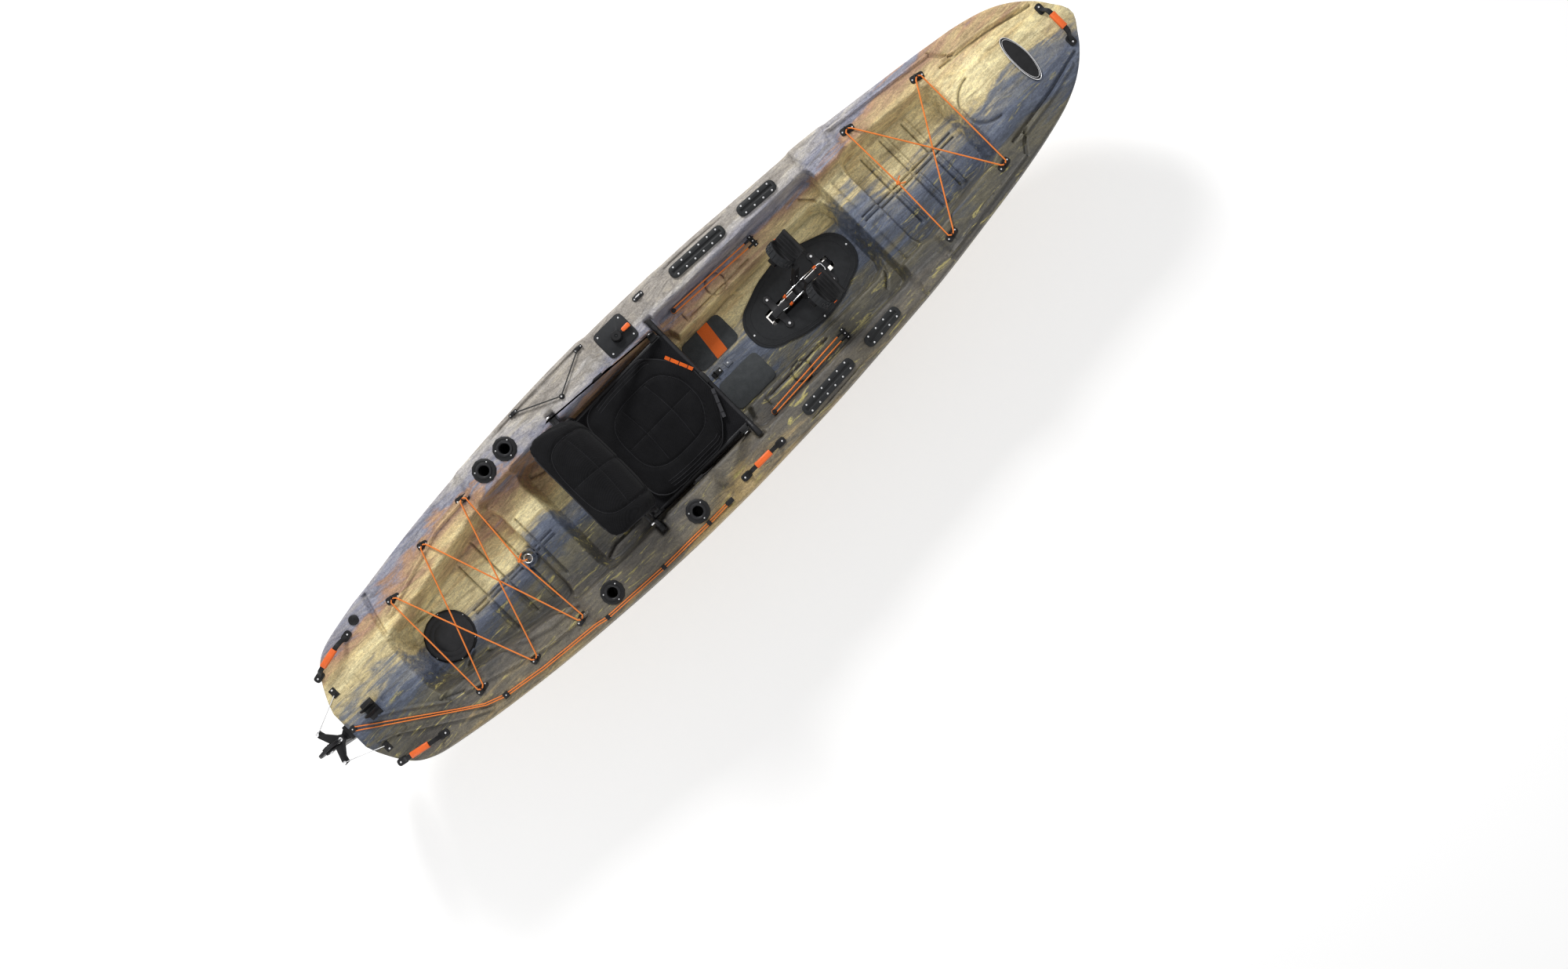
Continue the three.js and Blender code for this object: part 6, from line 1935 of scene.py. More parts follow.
@dataclass
class CarryHandles:
    """Four carrying handles: screwed feet, a flat arched bar and an orange grip."""

    places: tuple[tuple[str, float, float, float, float, float], ...] = (
        ("handle_stern_port", -1.750, 0.238, 0.176, 0.205, 0.3602),
        ("handle_stern_starboard", -1.750, -0.238, 0.176, -0.205, 0.3602),
        ("handle_midship_starboard", -0.100, -0.374, 0.172, 0.0, 0.3293),
        ("handle_bow", 1.808, 0.0, 0.158, math.pi / 2, 0.3602),
    )
    rise: float = 0.046
    bar_half: float = 0.0085
    bar_thick: float = 0.010
    grip_share: float = 0.44
    foot_length: float = 0.044
    foot_half: float = 0.0145

    def handle(self, name: str, x: float, y: float, span: float, turn: float, low: float) -> None:
        """Makes one handle.

        Args:
            name: CAD node of the handle.
            x: Place of its middle along the boat.
            y: Place of its middle across the boat.
            span: Distance between its feet.
            turn: Turn about the upright axis.
            low: Height of its feet.
        """
        place = Matrix.Translation((x, y, low)) @ Matrix.Rotation(turn, 4, "Z")
        half = span / 2
        piece = Piece(f"{name}_shown", Body.HULL)
        knots = [
            (-half - 0.004, 0, 0.003), (-half * 0.93, 0, 0.012), (-half * 0.70, 0, self.rise * 0.86),
            (-half * 0.42, 0, self.rise), (0, 0, self.rise + 0.001),
        ]
        knots += [(-a, b, c) for a, b, c in reversed(knots[:-1])]
        line = curved(knots, 5)
        arch = band(line, [Vector((0, self.bar_half, 0))] * len(line), self.bar_thick, 2)
        bmesh.ops.translate(arch, vec=(0, 0, self.bar_thick / 2), verts=arch.verts)
        piece.take(softened(arch, 0.0028, 3, 50.0), Finish.BLACK, place)
        reach = half * self.grip_share
        profile = oblong((-0.0125, -0.0085), (0.0125, 0.0085))
        grip = plate(rounded_outline(profile, 0.0075, 5), -reach, reach, 0.0)
        bmesh.ops.transform(
            grip,
            matrix=Matrix.Translation((
                0, 0, self.rise + 0.001,
            )) @ Matrix.Rotation(math.pi / 2, 4, "Y") @ Matrix.Rotation(math.pi / 2, 4, "Z"), verts=grip.verts,
        )
        piece.take(softened(grip, 0.002, 2, 60.0), Finish.ORANGE, place)
        for step in range(-3, 4):
            offset = step * reach * 0.24
            rib_line = [
                Vector((offset, 0.0122 * math.cos(a) * 1.03, self.rise + 0.001 + 0.0083 * math.sin(a) * 1.03))
                for a in (math.radians(v) for v in range(20, 161, 20))
            ]
            piece.take(cord(rib_line, 0.0009, 2), Finish.ORANGE, place)
        for end in (-1, 1):
            middle = end * (half + 0.003)
            aft, ahead = middle - self.foot_length / 2, middle + self.foot_length / 2
            outline = rounded_outline(oblong((aft, -self.foot_half), (ahead, self.foot_half)), 0.013)
            piece.take(plate(outline, 0.0, 0.006, 0.0015), Finish.BLACK, place)
            piece.take(ring((middle + end * 0.008, 0, 0.006), 0.0068, 0.0012, sides=20), Finish.BLACK, place)
            piece.screwed([((middle + end * 0.008, 0.0, 0.0056), UP)], 0.0045, 0.0022, place=place)
        piece.done(name)

    def build(self) -> None:
        """Makes the four handles."""
        for place in self.places:
            self.handle(*place)


@dataclass
class Lacing:
    """Stretch cords laced through the eyes, side cords and the paddle cord."""

    radius: float = 0.003
    hook: float = 0.013
    apart: float = 0.0042
    stern_eyes: tuple[Point, ...] = ((-1.447, 0.235, 0.3482), (-1.227, 0.298, 0.3500), (-1.000, 0.315, 0.3518))
    bow_eyes: tuple[Point, ...] = ((0.993, 0.277, 0.3357), (1.315, 0.230, 0.3410))

    def through(self, eye: Point, side: int, ahead: int) -> list[Point]:
        """Points of a cord as it goes through an eye.

        Args:
            eye: Place of the eye's hole on the port side.
            side: Sign of the side it is on.
            ahead: One if the cord goes forward through it.

        Returns:
            The points in order.
        """
        x, y, z = eye
        inner = side * (y - self.hook * 0.5)
        return [
            (x - ahead * self.hook, inner, z),
            (x - ahead * self.hook * 0.4, side * y, z),
            (x + ahead * self.hook * 0.4, side * y, z),
            (x + ahead * self.hook, inner, z),
        ]

    def route(self, legs: Sequence[Sequence[Point]], lifts: Sequence[float]) -> list[Vector]:
        """One line through the legs, with a lifted middle between each two.

        Args:
            legs: Points of each leg.
            lifts: Lift of the line between each leg and the next.

        Returns:
            The points of the line.
        """
        points = [Vector(point) for point in legs[0]]
        for leg, lift in zip(legs[1:], lifts):
            points.append((points[-1] + Vector(leg[0])) / 2 + Vector((0, 0, lift)))
            points.extend(Vector(point) for point in leg)
        return points

    def knotted(self, name: str, node: str, points: list[Vector], knot: Point) -> None:
        """One laced cord and its knot.

        Args:
            name: Name of the piece.
            node: CAD node that it stands for.
            points: Route of the cord.
            knot: Place of the knot.
        """
        piece = Piece(name, Body.HULL).take(cord(points, self.radius, 4), Finish.ORANGE_CORD)
        centre = Vector(knot)
        for turn in range(3):
            angle = math.radians(60 * turn + 15)
            way = (math.cos(angle) * 0.35, math.sin(angle), 0.25)
            piece.take(ring(tuple(centre), 0.0062, 0.0027, way, 20), Finish.ORANGE_CORD)
        for sign in (1, -1):
            tail = curved([
                knot, (knot[0] + 0.010, knot[1] + sign * 0.010, knot[2] - 0.001),
                (knot[0] + 0.024, knot[1] + sign * 0.016, knot[2] - 0.003),
            ], 5)
            piece.take(cord(tail, self.radius * 0.9, 4), Finish.ORANGE_CORD)
        piece.done(node)

    def laced(self) -> None:
        """The two laced deck cords."""
        aft, middle, forward = self.stern_eyes
        lift = self.apart
        z = forward[2]
        legs = [
            [(-1.010, 0.005, z)], self.through(forward, 1, -1), self.through(middle, -1, -1),
            self.through(aft, 1, -1),
            self.through(aft, -1, 1), self.through(middle, 1, 1), self.through(forward, -1, 1), [(-1.010, -0.005, z)],
        ]
        self.knotted(
            "stern_lacing", "stern_bungee", self.route(legs, [0, lift, lift, 0, -lift, -lift, 0]), (-1.010, 0.0, z),
        )
        aft, forward = self.bow_eyes
        z = aft[2]
        legs = [
            [(0.985, 0.005, z)], self.through(aft, 1, 1), self.through(forward, -1, 1), self.through(forward, 1, -1),
            self.through(aft, -1, -1), [(0.985, -0.005, z)],
        ]
        self.knotted("bow_lacing", "bow_bungee", self.route(legs, [0, lift, 0, -lift, 0]), (0.985, 0.0, z))

    def side_cord(self, side: Side) -> None:
        """Doubled cord on the cockpit shelf, round a peg and into a double hook.

        Args:
            side: Side of the boat.
        """
        sign = side.value
        z, peg_x, peg_y, hook_x, hook_y, apart = 0.235, 0.058, 0.272, 0.441, 0.250, 0.011
        low = 0.2153
        reach = 0.0081
        turn = [
            (peg_x + reach * math.cos(a), sign * (peg_y + reach * math.sin(a)), z)
            for a in (math.radians(90 + 22.5 * n) for n in range(9))
        ]
        line = [
            Vector(p)
            for p in [
                (hook_x + 0.012, sign * (hook_y + apart), z), *turn, (hook_x + 0.012, sign * (hook_y - apart), z),
            ]
        ]
        piece = Piece(f"side_cord_{side.name.lower()}", Body.HULL).take(
            cord(line, self.radius, 4), Finish.ORANGE_CORD,
        )
        peg = turned([
            (0.0, 0.0), (0.010, 0.0), (0.010, 0.003), (0.0058, 0.005), (0.0058, 0.0235), (0.0095, 0.0245),
            (0.0095, 0.0265), (0.0, 0.0275),
        ], 24)
        piece.take(peg, Finish.BLACK, Matrix.Translation((peg_x, sign * peg_y, low)))
        for offset in (apart, -apart):
            y = sign * (hook_y + offset)
            piece.take(rod((hook_x - 0.012, y, z), (hook_x + 0.014, y, z), 0.0046, 16, 0.0012), Finish.BLACK)
            bend = curved([
                (hook_x + 0.012, y, z), (hook_x + 0.024, y, z + 0.001), (hook_x + 0.032, y, z - 0.008),
                (hook_x + 0.026, y, z - 0.016), (hook_x + 0.015, y, z - 0.0165),
            ], 6)
            piece.take(cord(bend, 0.0024, 3), Finish.BLACK)
        piece.take(block(
            (hook_x + 0.012, sign * 0.226, low), (hook_x + 0.030, sign * 0.274, low + 0.0065), 0.0018,
        ), Finish.BLACK)
        piece.screwed(
            [((hook_x + 0.021, sign * (hook_y + o), low + 0.0062), UP) for o in (0.0, 0.019, -0.019)], 0.003,
        )
        piece.done(f"side_bungee_{side.name.lower()}")

    def paddle_cord(self) -> None:
        """Cord that holds a paddle on the port gunwale, with its clips and its button."""
        z = 0.3768
        ends, button = [(-0.638, 0.402, z), (-0.297, 0.402, z)], (-0.465, 0.319, z)
        piece = Piece("paddle_holder", Body.HULL)
        piece.take(cord([
            Vector(ends[0]), Vector(button) + Vector((-0.004, 0.003, 0)), Vector(button) + Vector((0.004, 0.003, 0)),
            Vector(ends[1]),
        ], 0.0026, 4), Finish.BLACK_CORD)
        for x, y, _ in ends:
            piece.take(block((x - 0.019, y - 0.007, 0.3683), (x + 0.019, y + 0.007, 0.3725), 0.0015), Finish.BLACK)
            piece.take(
                turned([(0.0, 0.0), (0.0085, 0.0), (0.0085, 0.006), (0.006, 0.011), (0.0, 0.0115)], 20), Finish.BLACK,
                Matrix.Translation((x, y, 0.3683)),
            )
            piece.screwed([((x + s * 0.0135, y, 0.3723), UP) for s in (-1, 1)], 0.0028)
        foot = turned([
            (0.0, 0.0), (0.011, 0.0), (0.0105, 0.004), (0.0065, 0.005), (0.0065, 0.0095), (0.0, 0.0105),
        ], 24)
        piece.take(foot, Finish.BLACK, Matrix.Translation((button[0], button[1], 0.3683)))
        piece.screwed([((button[0], button[1], 0.3784), UP)], 0.0038, 0.0014)
        piece.done("paddle_cord")

    def build(self) -> None:
        """Makes all the cords."""
        self.laced()
        for side in Side:
            self.side_cord(side)
        self.paddle_cord()


@dataclass
class Rudder:
    """Rudder, its cables and lines, the cleat that holds the raised blade, and the steering lever."""

    route: tuple[Point, ...] = (
        (-1.888, -0.014, 0.364), (-1.560, -0.236, 0.364), (-1.480, -0.292, 0.345), (-1.400, -0.322, 0.345),
        (-1.227, -0.350, 0.346), (-0.985, -0.374, 0.348), (-0.962, -0.378, 0.361), (-0.936, -0.384, 0.373),
        (-0.922, -0.386, 0.373), (-0.644, -0.402, 0.374), (-0.409, -0.404, 0.374), (-0.300, -0.402, 0.374),
    )
    apart: float = 0.009

    def lines(self) -> None:
        """Two orange lines along the starboard gunwale, with their clips and the grip."""
        piece = Piece("lifting_lines", Body.HULL)
        for index in (0, 1):
            points = [
                Vector((x, y + index * self.apart * (2 if place == 0 else 1), z))
                for place, (x, y, z) in enumerate(self.route)
            ]
            piece.take(cord(points, 0.0022, 4), Finish.ORANGE_CORD)
        for place in (8, 9, 10):
            x, y, z = self.route[place]
            middle = y + self.apart / 2
            piece.take(block(
                (x - 0.008, middle - 0.0095, z - 0.005), (x + 0.008, middle + 0.0095, z + 0.0035), 0.0016,
            ), Finish.BLACK)
        x, y, _ = self.route[3]
        for px, py, pz in (self.route[3], (-1.888, -0.010, 0.364)):
            middle = py + self.apart / 2
            base = pz - 0.0035
            piece.take(
                block((px - 0.012, middle - 0.012, base), (px + 0.012, middle + 0.012, base + 0.007), 0.002),
                Finish.BLACK,
            )
            piece.screwed([((px, middle, base + 0.0068), UP)], 0.0032)
        x, y, z = self.route[-1]
        middle = y + self.apart / 2
        piece.take(block(
            (x - 0.017, middle - 0.0095, z - 0.0055), (x + 0.017, middle + 0.0095, z + 0.010), 0.004, 3,
        ), Finish.BLACK)
        piece.done("rudder_lines")

    def cables(self) -> None:
        """Steering cables from their boots to the arms of the head."""
        for side in Side:
            sign = side.value
            z = 0.3633
            start, end = Vector((-1.843, sign * 0.135, z)), Vector((-1.9908, sign * 0.0735, z))
            line = [start.lerp(end, step / 14) for step in range(15)]
            name = side.name.lower()
            wire = Piece(f"steering_cable_{name}", None).take(cord(line, 0.0017, 3), Finish.STEEL)
            shown = wire.done(f"rudder_cable_{name}")
            tuple(start)
            tuple(end)
            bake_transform(shown)
            boot = Piece(f"cable_boot_{name}", Body.HULL)
            inner, outer = start.y - sign * 0.014, start.y + sign * 0.024
            boot.take(
                block((start.x - 0.013, inner, 0.3585), (start.x + 0.013, outer, 0.3625), 0.0018, 3), Finish.BLACK,
            )
            boot.screwed([((start.x + 0.001, start.y + sign * 0.017, 0.3623), UP)], 0.0046, 0.0024)
            boot.take(turned([
                (0.0, 0.0), (0.0095, 0.0), (0.009, 0.002), (0.006, 0.004), (0.0062, 0.006), (0.0045, 0.0075),
                (0.0047, 0.009), (0.0, 0.0095),
            ], 24), Finish.RUBBER, Matrix.Translation((start.x, start.y, 0.3602)))
            boot.done()

    def head(self) -> None:
        """Bracket, head and blade."""
        bracket = Piece("rudder_bracket_shown", Body.HULL).take(refined("rudder_bracket", 0.0015), Finish.BLACK)
        heads = [((-1.9228, sign * 0.021, z), (-1, 0, 0)) for sign in (1, -1) for z in (0.3215, 0.3355)]
        bracket.screwed(heads, 0.0042, 0.002)
        bracket.take(rod((-1.945, 0, 0.3635), (-1.945, 0, 0.3705), 0.0085, 6, 0.0008), Finish.STEEL)
        bracket.done("rudder_bracket")
        head = Piece("rudder_head_shown", Body.HEAD).take(refined("rudder_head", 0.0015), Finish.BLACK)
        for sign in (1, -1):
            head.take(
                rod((-1.985, sign * 0.0125, 0.406), (-1.985, sign * 0.0165, 0.406), 0.0085, 6, 0.0008), Finish.STEEL,
            )
            head.take(
                rod((-1.995, sign * 0.072, 0.3655), (-1.995, sign * 0.072, 0.3685), 0.0062, 16, 0.0008), Finish.STEEL,
            )
        head.done("rudder_head")
        blade = Piece("rudder_blade_shown", Body.BLADE).take(refined("rudder_blade", 0.0022), Finish.SATIN)
        pivot = Vector((-1.985, 0, 0.406))
        for sign in (1, -1):
            rim = [
                pivot + Vector((0.037 * math.cos(a), sign * 0.006, 0.037 * math.sin(a)))
                for a in (2 * math.pi * n / 36 for n in range(36))
            ]
            blade.take(cord(rim, 0.0008, 2, True), Finish.BLACK)
            spine = [
                pivot + Vector((x, sign * 0.0042, z))
                for x, z in ((-0.010, -0.06), (-0.014, -0.16), (-0.022, -0.26), (-0.020, -0.36), (-0.008, -0.43))
            ]
            blade.take(cord(curved(spine, 8), 0.0024, 3), Finish.SATIN)
        blade.done("rudder_blade")
        dressed("stow_cleat", Finish.BLACK, Body.HULL, 0.0015)

    def lever(self) -> None:
        """Steering plate with four screws, and the lever with its orange tip."""
        plate_top = 0.3343
        plate_piece = Piece("steering_plate_shown", Body.HULL).take(refined("steering_plate", 0.0015), Finish.GREY)
        spots = [(-0.219, 0.301), (-0.111, 0.301), (-0.219, 0.385), (-0.111, 0.385)]
        plate_piece.screwed([((x, y, plate_top - 0.0002), UP) for x, y in spots], 0.0042, 0.002)
        plate_piece.done("steering_plate")
        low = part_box("steering_lever")[0]
        lever = Piece("steering_lever_shown", Body.LEVER)
        x, y = -0.163, 0.338
        hub = turned([
            (0.0066, 0.0), (0.023, 0.0), (0.023, 0.008), (0.0222, 0.0095), (0.0215, 0.0185), (0.019, 0.0245),
            (0.017, 0.026), (0.0066, 0.026),
        ], 40)
        lever.take(hub, Finish.BLACK, Matrix.Translation((x, y, low.z)))
        for angle in range(0, 360, 40):
            rib = block((0.0195, -0.0016, 0.010), (0.0228, 0.0016, 0.020), 0.0006)
            lever.take(rib, Finish.BLACK, moved(x, y, low.z, angle))
        neck = plate(rounded_outline([
            (x + 0.012, y - 0.0075), (x + 0.034, y - 0.0065), (x + 0.034, y + 0.0065), (x + 0.012, y + 0.0075),
        ], 0.002), low.z + 0.008, low.z + 0.018, 0.001)
        lever.take(neck, Finish.BLACK)
        tip = plate(rounded_outline([
            (x + 0.028, y - 0.0078), (x + 0.066, y - 0.0092), (x + 0.066, y + 0.0092), (x + 0.028, y + 0.0078),
        ], 0.007), low.z + 0.0065, low.z + 0.0195, 0.0025)
        lever.take(tip, Finish.ORANGE)
        lever.done("steering_lever")

    def build(self) -> None:
        """Makes the steering gear."""
        self.lines()
        self.cables()
        self.head()
        self.lever()


def side_plate(outline: Sequence[Flat], one: float, other: float, round_off: float = 0.001) -> Solid:
    """Outline in the side view, as X and Z, pulled across between two places on Y, in either order.

    Args:
        outline: Corners of the outline in order.
        one: One place on Y.
        other: The other place on Y.
        round_off: Width of the rounded edges.

    Returns:
        The new mesh.
    """
    part = plate(outline, -max(one, other), -min(one, other), round_off)
    bmesh.ops.rotate(part, cent=(0, 0, 0), matrix=Matrix.Rotation(math.pi / 2, 3, "X"), verts=part.verts)
    return part


@dataclass
class Cushion:
    """Padded form over a line in the side view, blown up as cloth and then sewn.

    Attributes:
        name: Name of the object.
        node: CAD node that it stands for.
        body: Body that it rides on.
        line: Side view of its underside, as X and Z.
        half_width: Half of its width.
        thickness: Thickness at its rim and middle.
        crown: Rise of the middle.
        facing: Sign of the side that it faces.
        taper: Widths along it, as pairs of place and share.
        oval: Shares of the length and of the width at which the middle panel is sewn.
        power: How square the corners of that panel are.
        crosses: Places of the cross channels as shares of half the length.
        bow: How far the cross channels bow.
        ribs: Number of lengthwise ribs on each side.
        shrink: How much smaller it starts before it is filled.
        pressure: Pressure that fills it.
        frames: Frames for which it is filled.
        seam_depth: Depth of its seams.
        seam_width: Half of their width.
        round_steps: Steps in its rim and its oval seam.
        cell: Size of the cells of its even mesh.
    """

    name: str
    node: str
    body: Body
    line: tuple[Flat, ...]
    half_width: float
    thickness: float
    crown: float
    facing: int
    taper: tuple[Flat, ...]
    oval: Flat
    power: float
    crosses: tuple[float, ...]
    bow: float
    ribs: int = 0
    shrink: float = 0.0035
    cell: float = 0.0065
    pressure: float = 4.0
    frames: int = 20
    seam_depth: float = 0.0052
    seam_width: float = 0.0075
    round_steps: int = 96

    def __post_init__(self) -> None:
        """Measures the line."""
        points = curved([(x, 0.0, z) for x, z in self.line], 24)
        steps = [(b - a).length for a, b in zip(points, points[1:])]
        self.places = np.concatenate([[0.0], np.cumsum(steps)])
        self.track = np.array([(point.x, point.z) for point in points])
        self.length = float(self.places[-1])

    def frame_at(self, share: float) -> tuple[np.ndarray, np.ndarray]:
        """Point and outward direction at a share of the line from -1 to 1.

        Args:
            share: Share of the line.

        Returns:
            The point and the direction, each as X and Z.
        """
        place = (share + 1) / 2 * self.length
        spot = np.array([np.interp(place, self.places, self.track[:, axis]) for axis in (0, 1)])
        step = self.length * 0.02
        ahead, behind = [
            np.array([np.interp(np.clip(place + d, 0, self.length), self.places, self.track[:, k]) for k in (0, 1)])
            for d in (step, -step)
        ]
        along = (ahead - behind) / np.linalg.norm(ahead - behind)
        return spot, np.array([along[1], -along[0]]) * self.facing

    def width_at(self, u: float) -> float:
        """Half width at a share of the line.

        Args:
            u: Share of the line.

        Returns:
            The half width in metres.
        """
        places, widths = zip(*self.taper)
        share = sum(float(np.interp(u + step, places, widths)) for step in (-0.06, -0.02, 0.02, 0.06)) / 4
        return self.half_width * (1 - 0.11 * abs(u) ** 6) * share

    def spot(self, u: float, v: float, height: float) -> Vector:
        """Place from shares along and across, and a height over the line.

        Args:
            u: Share along.
            v: Share across.
            height: Height in metres.

        Returns:
            The place.
        """
        reach = u * (1 - 0.06 * abs(v) ** 6)
        point, out = self.frame_at(reach)
        return Vector((point[0] + out[0] * height, v * self.width_at(u), point[1] + out[1] * height))

    def form(self) -> Mesh:
        """Closed crowned form, a little smaller than the finished pad.

        Returns:
            The form.
        """
        rows, columns = 40, 36
        part = bmesh.new()
        grids = []
        for side in (1, -1):
            grid = []
            for i in range(rows + 1):
                u = math.sin((2 * i / rows - 1) * math.pi / 2)
                line = []
                for j in range(columns + 1):
                    v = math.sin((2 * j / columns - 1) * math.pi / 2)
                    full = math.sqrt(max(0.0, (1 - abs(u) ** 5) * (1 - abs(v) ** 5)))
                    top = self.thickness * (0.4 + 0.6 * full) + full * self.crown * (1 - v * v) - self.shrink * full
                    under = self.thickness * 0.4 * (1 - full) ** 2 + self.shrink * full
                    trim = 1 - self.shrink / self.half_width
                    line.append(part.verts.new(self.spot(u * trim, v * trim, top if side > 0 else under)))
                grid.append(line)
            grids.append(grid)
            for i in range(rows):
                for j in range(columns):
                    corners = [grid[i][j], grid[i + 1][j], grid[i + 1][j + 1], grid[i][j + 1]]
                    part.faces.new(corners if side > 0 else corners[::-1])
        bmesh.ops.remove_doubles(part, verts=part.verts, dist=0.0004)
        bmesh.ops.recalc_face_normals(part, faces=part.faces)
        return meshed(part, self.name)

    def blown(self, mesh: Mesh, cap: float = 0.007) -> Mesh:
        """Form after it is filled, as cloth under pressure, with no point moved further than the cap.

        Args:
            mesh: The form.
            cap: Greatest move in metres.

        Returns:
            The filled form.
        """
        even = baked(
            mesh, ("REMESH", {"mode": "VOXEL", "voxel_size": self.cell}),
            ("SMOOTH", {"factor": 0.5, "iterations": 4}),
        )
        holder = placed(f"{self.name}_filling", even)
        cloth = holder.modifiers.new("cloth", "CLOTH")
        cloth.settings.use_pressure = True
        cloth.settings.uniform_pressure_force = self.pressure
        cloth.settings.effector_weights.gravity = 0.0
        cloth.settings.quality = 4
        cloth.point_cache.frame_end = self.frames
        before = np.array([vert.co[:] for vert in even.vertices])
        for step in range(1, self.frames + 1):
            bpy.context.scene.frame_set(step)
        result = evaluated(holder)
        after = np.array([vert.co[:] for vert in result.vertices])
        bpy.context.scene.frame_set(1)
        bpy.data.objects.remove(holder)
        move = after - before
        size = np.linalg.norm(move, axis=1, keepdims=True)
        after = before + move * np.minimum(1.0, cap / np.maximum(size, 1e-9))
        result.vertices.foreach_set("co", after.ravel())
        result.update()
        return result

    def shares(self, co: Vector) -> Flat:
        """Shares along and across of a place.

        Args:
            co: The place.

        Returns:
            The two shares.
        """
        away = (self.track[:, 0] - co.x) ** 2 + (self.track[:, 1] - co.z) ** 2
        u = 2 * float(self.places[int(np.argmin(away))]) / self.length - 1
        return u, co.y / self.width_at(u)

    def sewn(self, mesh: Mesh) -> Mesh:
        """Pad with its oval seam, its middle seam and its cross channels drawn in.

        Args:
            mesh: The filled form.

        Returns:
            The sewn pad.
        """
        fine = baked(mesh, ("SUBSURF", {"levels": 1, "render_levels": 1}))
        depth, width = self.seam_depth, self.seam_width
        part = opened(fine)
        part.normal_update()
        half = self.length / 2
        for vert in part.verts:
            u, v = self.shares(vert.co)
            out = self.frame_at(u)[1]
            if vert.normal.x * out[0] + vert.normal.z * out[1] < 0.25:
                continue
            reach = (abs(u / self.oval[0]) ** self.power + abs(v / self.oval[1]) ** self.power) ** (1 / self.power)
            oval = (reach - 1) * self.half_width * self.oval[1]
            draw = depth * math.exp(-((oval / width) ** 2))
            if oval < 0:
                near = min(abs(u - place + self.bow * v * v) for place in self.crosses) * half
                middle = abs(vert.co.y)
                draw += 0.6 * depth * (math.exp(-((near / width) ** 2)) + math.exp(-((middle / width) ** 2)))
            vert.co -= vert.normal * min(draw, depth * 1.3)
        part.to_mesh(fine)
        part.free()
        return fine

    def trims(self, mesh: Mesh) -> None:
        """Piping round the rim and thread along the seams, laid on the finished pad.

        Args:
            mesh: The finished pad.
        """
        body = opened(mesh)
        tree = BVHTree.FromBMesh(body)
        body.free()

        def laid(u: float, v: float, lift: float) -> Vector:
            """Place on the face of the pad.

            Args:
                u: Share along.
                v: Share across.
                lift: Height over the pad.

            Returns:
                The place.
            """
            place, out = self.spot(u, v, self.thickness * 2.2), self.frame_at(u)[1]
            hit = tree.ray_cast(place, Vector((-out[0], 0, -out[1])))
            return hit[0] + hit[1] * lift if hit[0] is not None else tree.find_nearest(place)[0]

        piece = Piece(f"{self.name}_trim", self.body)
        rim = []
        for step in range(self.round_steps):
            angle = 2 * math.pi * step / self.round_steps
            reach = [math.copysign(abs(value) ** 0.42, value) for value in (math.cos(angle), math.sin(angle))]
            near = tree.find_nearest(self.spot(reach[0], reach[1], self.thickness * 0.52))
            rim.append(near[0] + near[1] * 0.0006)
        piece.take(cord(rim, 0.0026, 3, True), Finish.PIPING)
        self.threads(piece, laid)
        piece.done()

    def threads(self, piece: Piece, laid: Callable[[float, float, float], Vector]) -> None:
        """Thread along the oval, the middle and the cross seams, and the ribs.

        Args:
            piece: Piece that takes them.
            laid: Gives a place on the face of the pad.
        """
        line = []
        for step in range(self.round_steps):
            angle = 2 * math.pi * step / self.round_steps
            reach = [
                math.copysign(abs(value) ** (2 / self.power), value) for value in (math.cos(angle), math.sin(angle))
            ]
            line.append(laid(self.oval[0] * reach[0], self.oval[1] * reach[1], 0.0002))
        piece.take(cord(line, 0.0010, 2, True), Finish.PIPING)
        seam = [laid(self.oval[0] * t, 0.0, 0.0001) for t in np.linspace(-0.97, 0.97, 26)]
        piece.take(cord(seam, 0.0007, 2), Finish.PIPING)
        for place in self.crosses:
            edge = max(0.0, 1 - abs(place / self.oval[0]) ** self.power) ** (1 / self.power)
            reach = self.oval[1] * edge * 0.95
            line = [laid(place - self.bow * v * v, v, 0.0001) for v in np.linspace(-reach, reach, 24)]
            piece.take(cord(line, 0.0007, 2), Finish.PIPING)
        for sign in (1, -1):
            for rib in range(self.ribs):
                v = sign * (0.80 + 0.055 * rib)
                line = [laid(u, v - sign * 0.10 * max(0.0, -u) ** 2, 0.0002) for u in np.linspace(-0.62, 0.52, 24)]
                piece.take(cord(line, 0.0011, 2), Finish.PIPING)

    def build(self) -> Mesh:
        """Makes the pad and its trims, and gives the pad's mesh.

        Returns:
            The pad's mesh.
        """
        mesh = painted(self.sewn(self.blown(self.form())), Finish.CLOTH)
        for face in mesh.polygons:
            face.material_index = 0
        pad = settle(mesh, self.name, self.body, (self.node,), 80.0)
        self.trims(mesh)
        return mesh


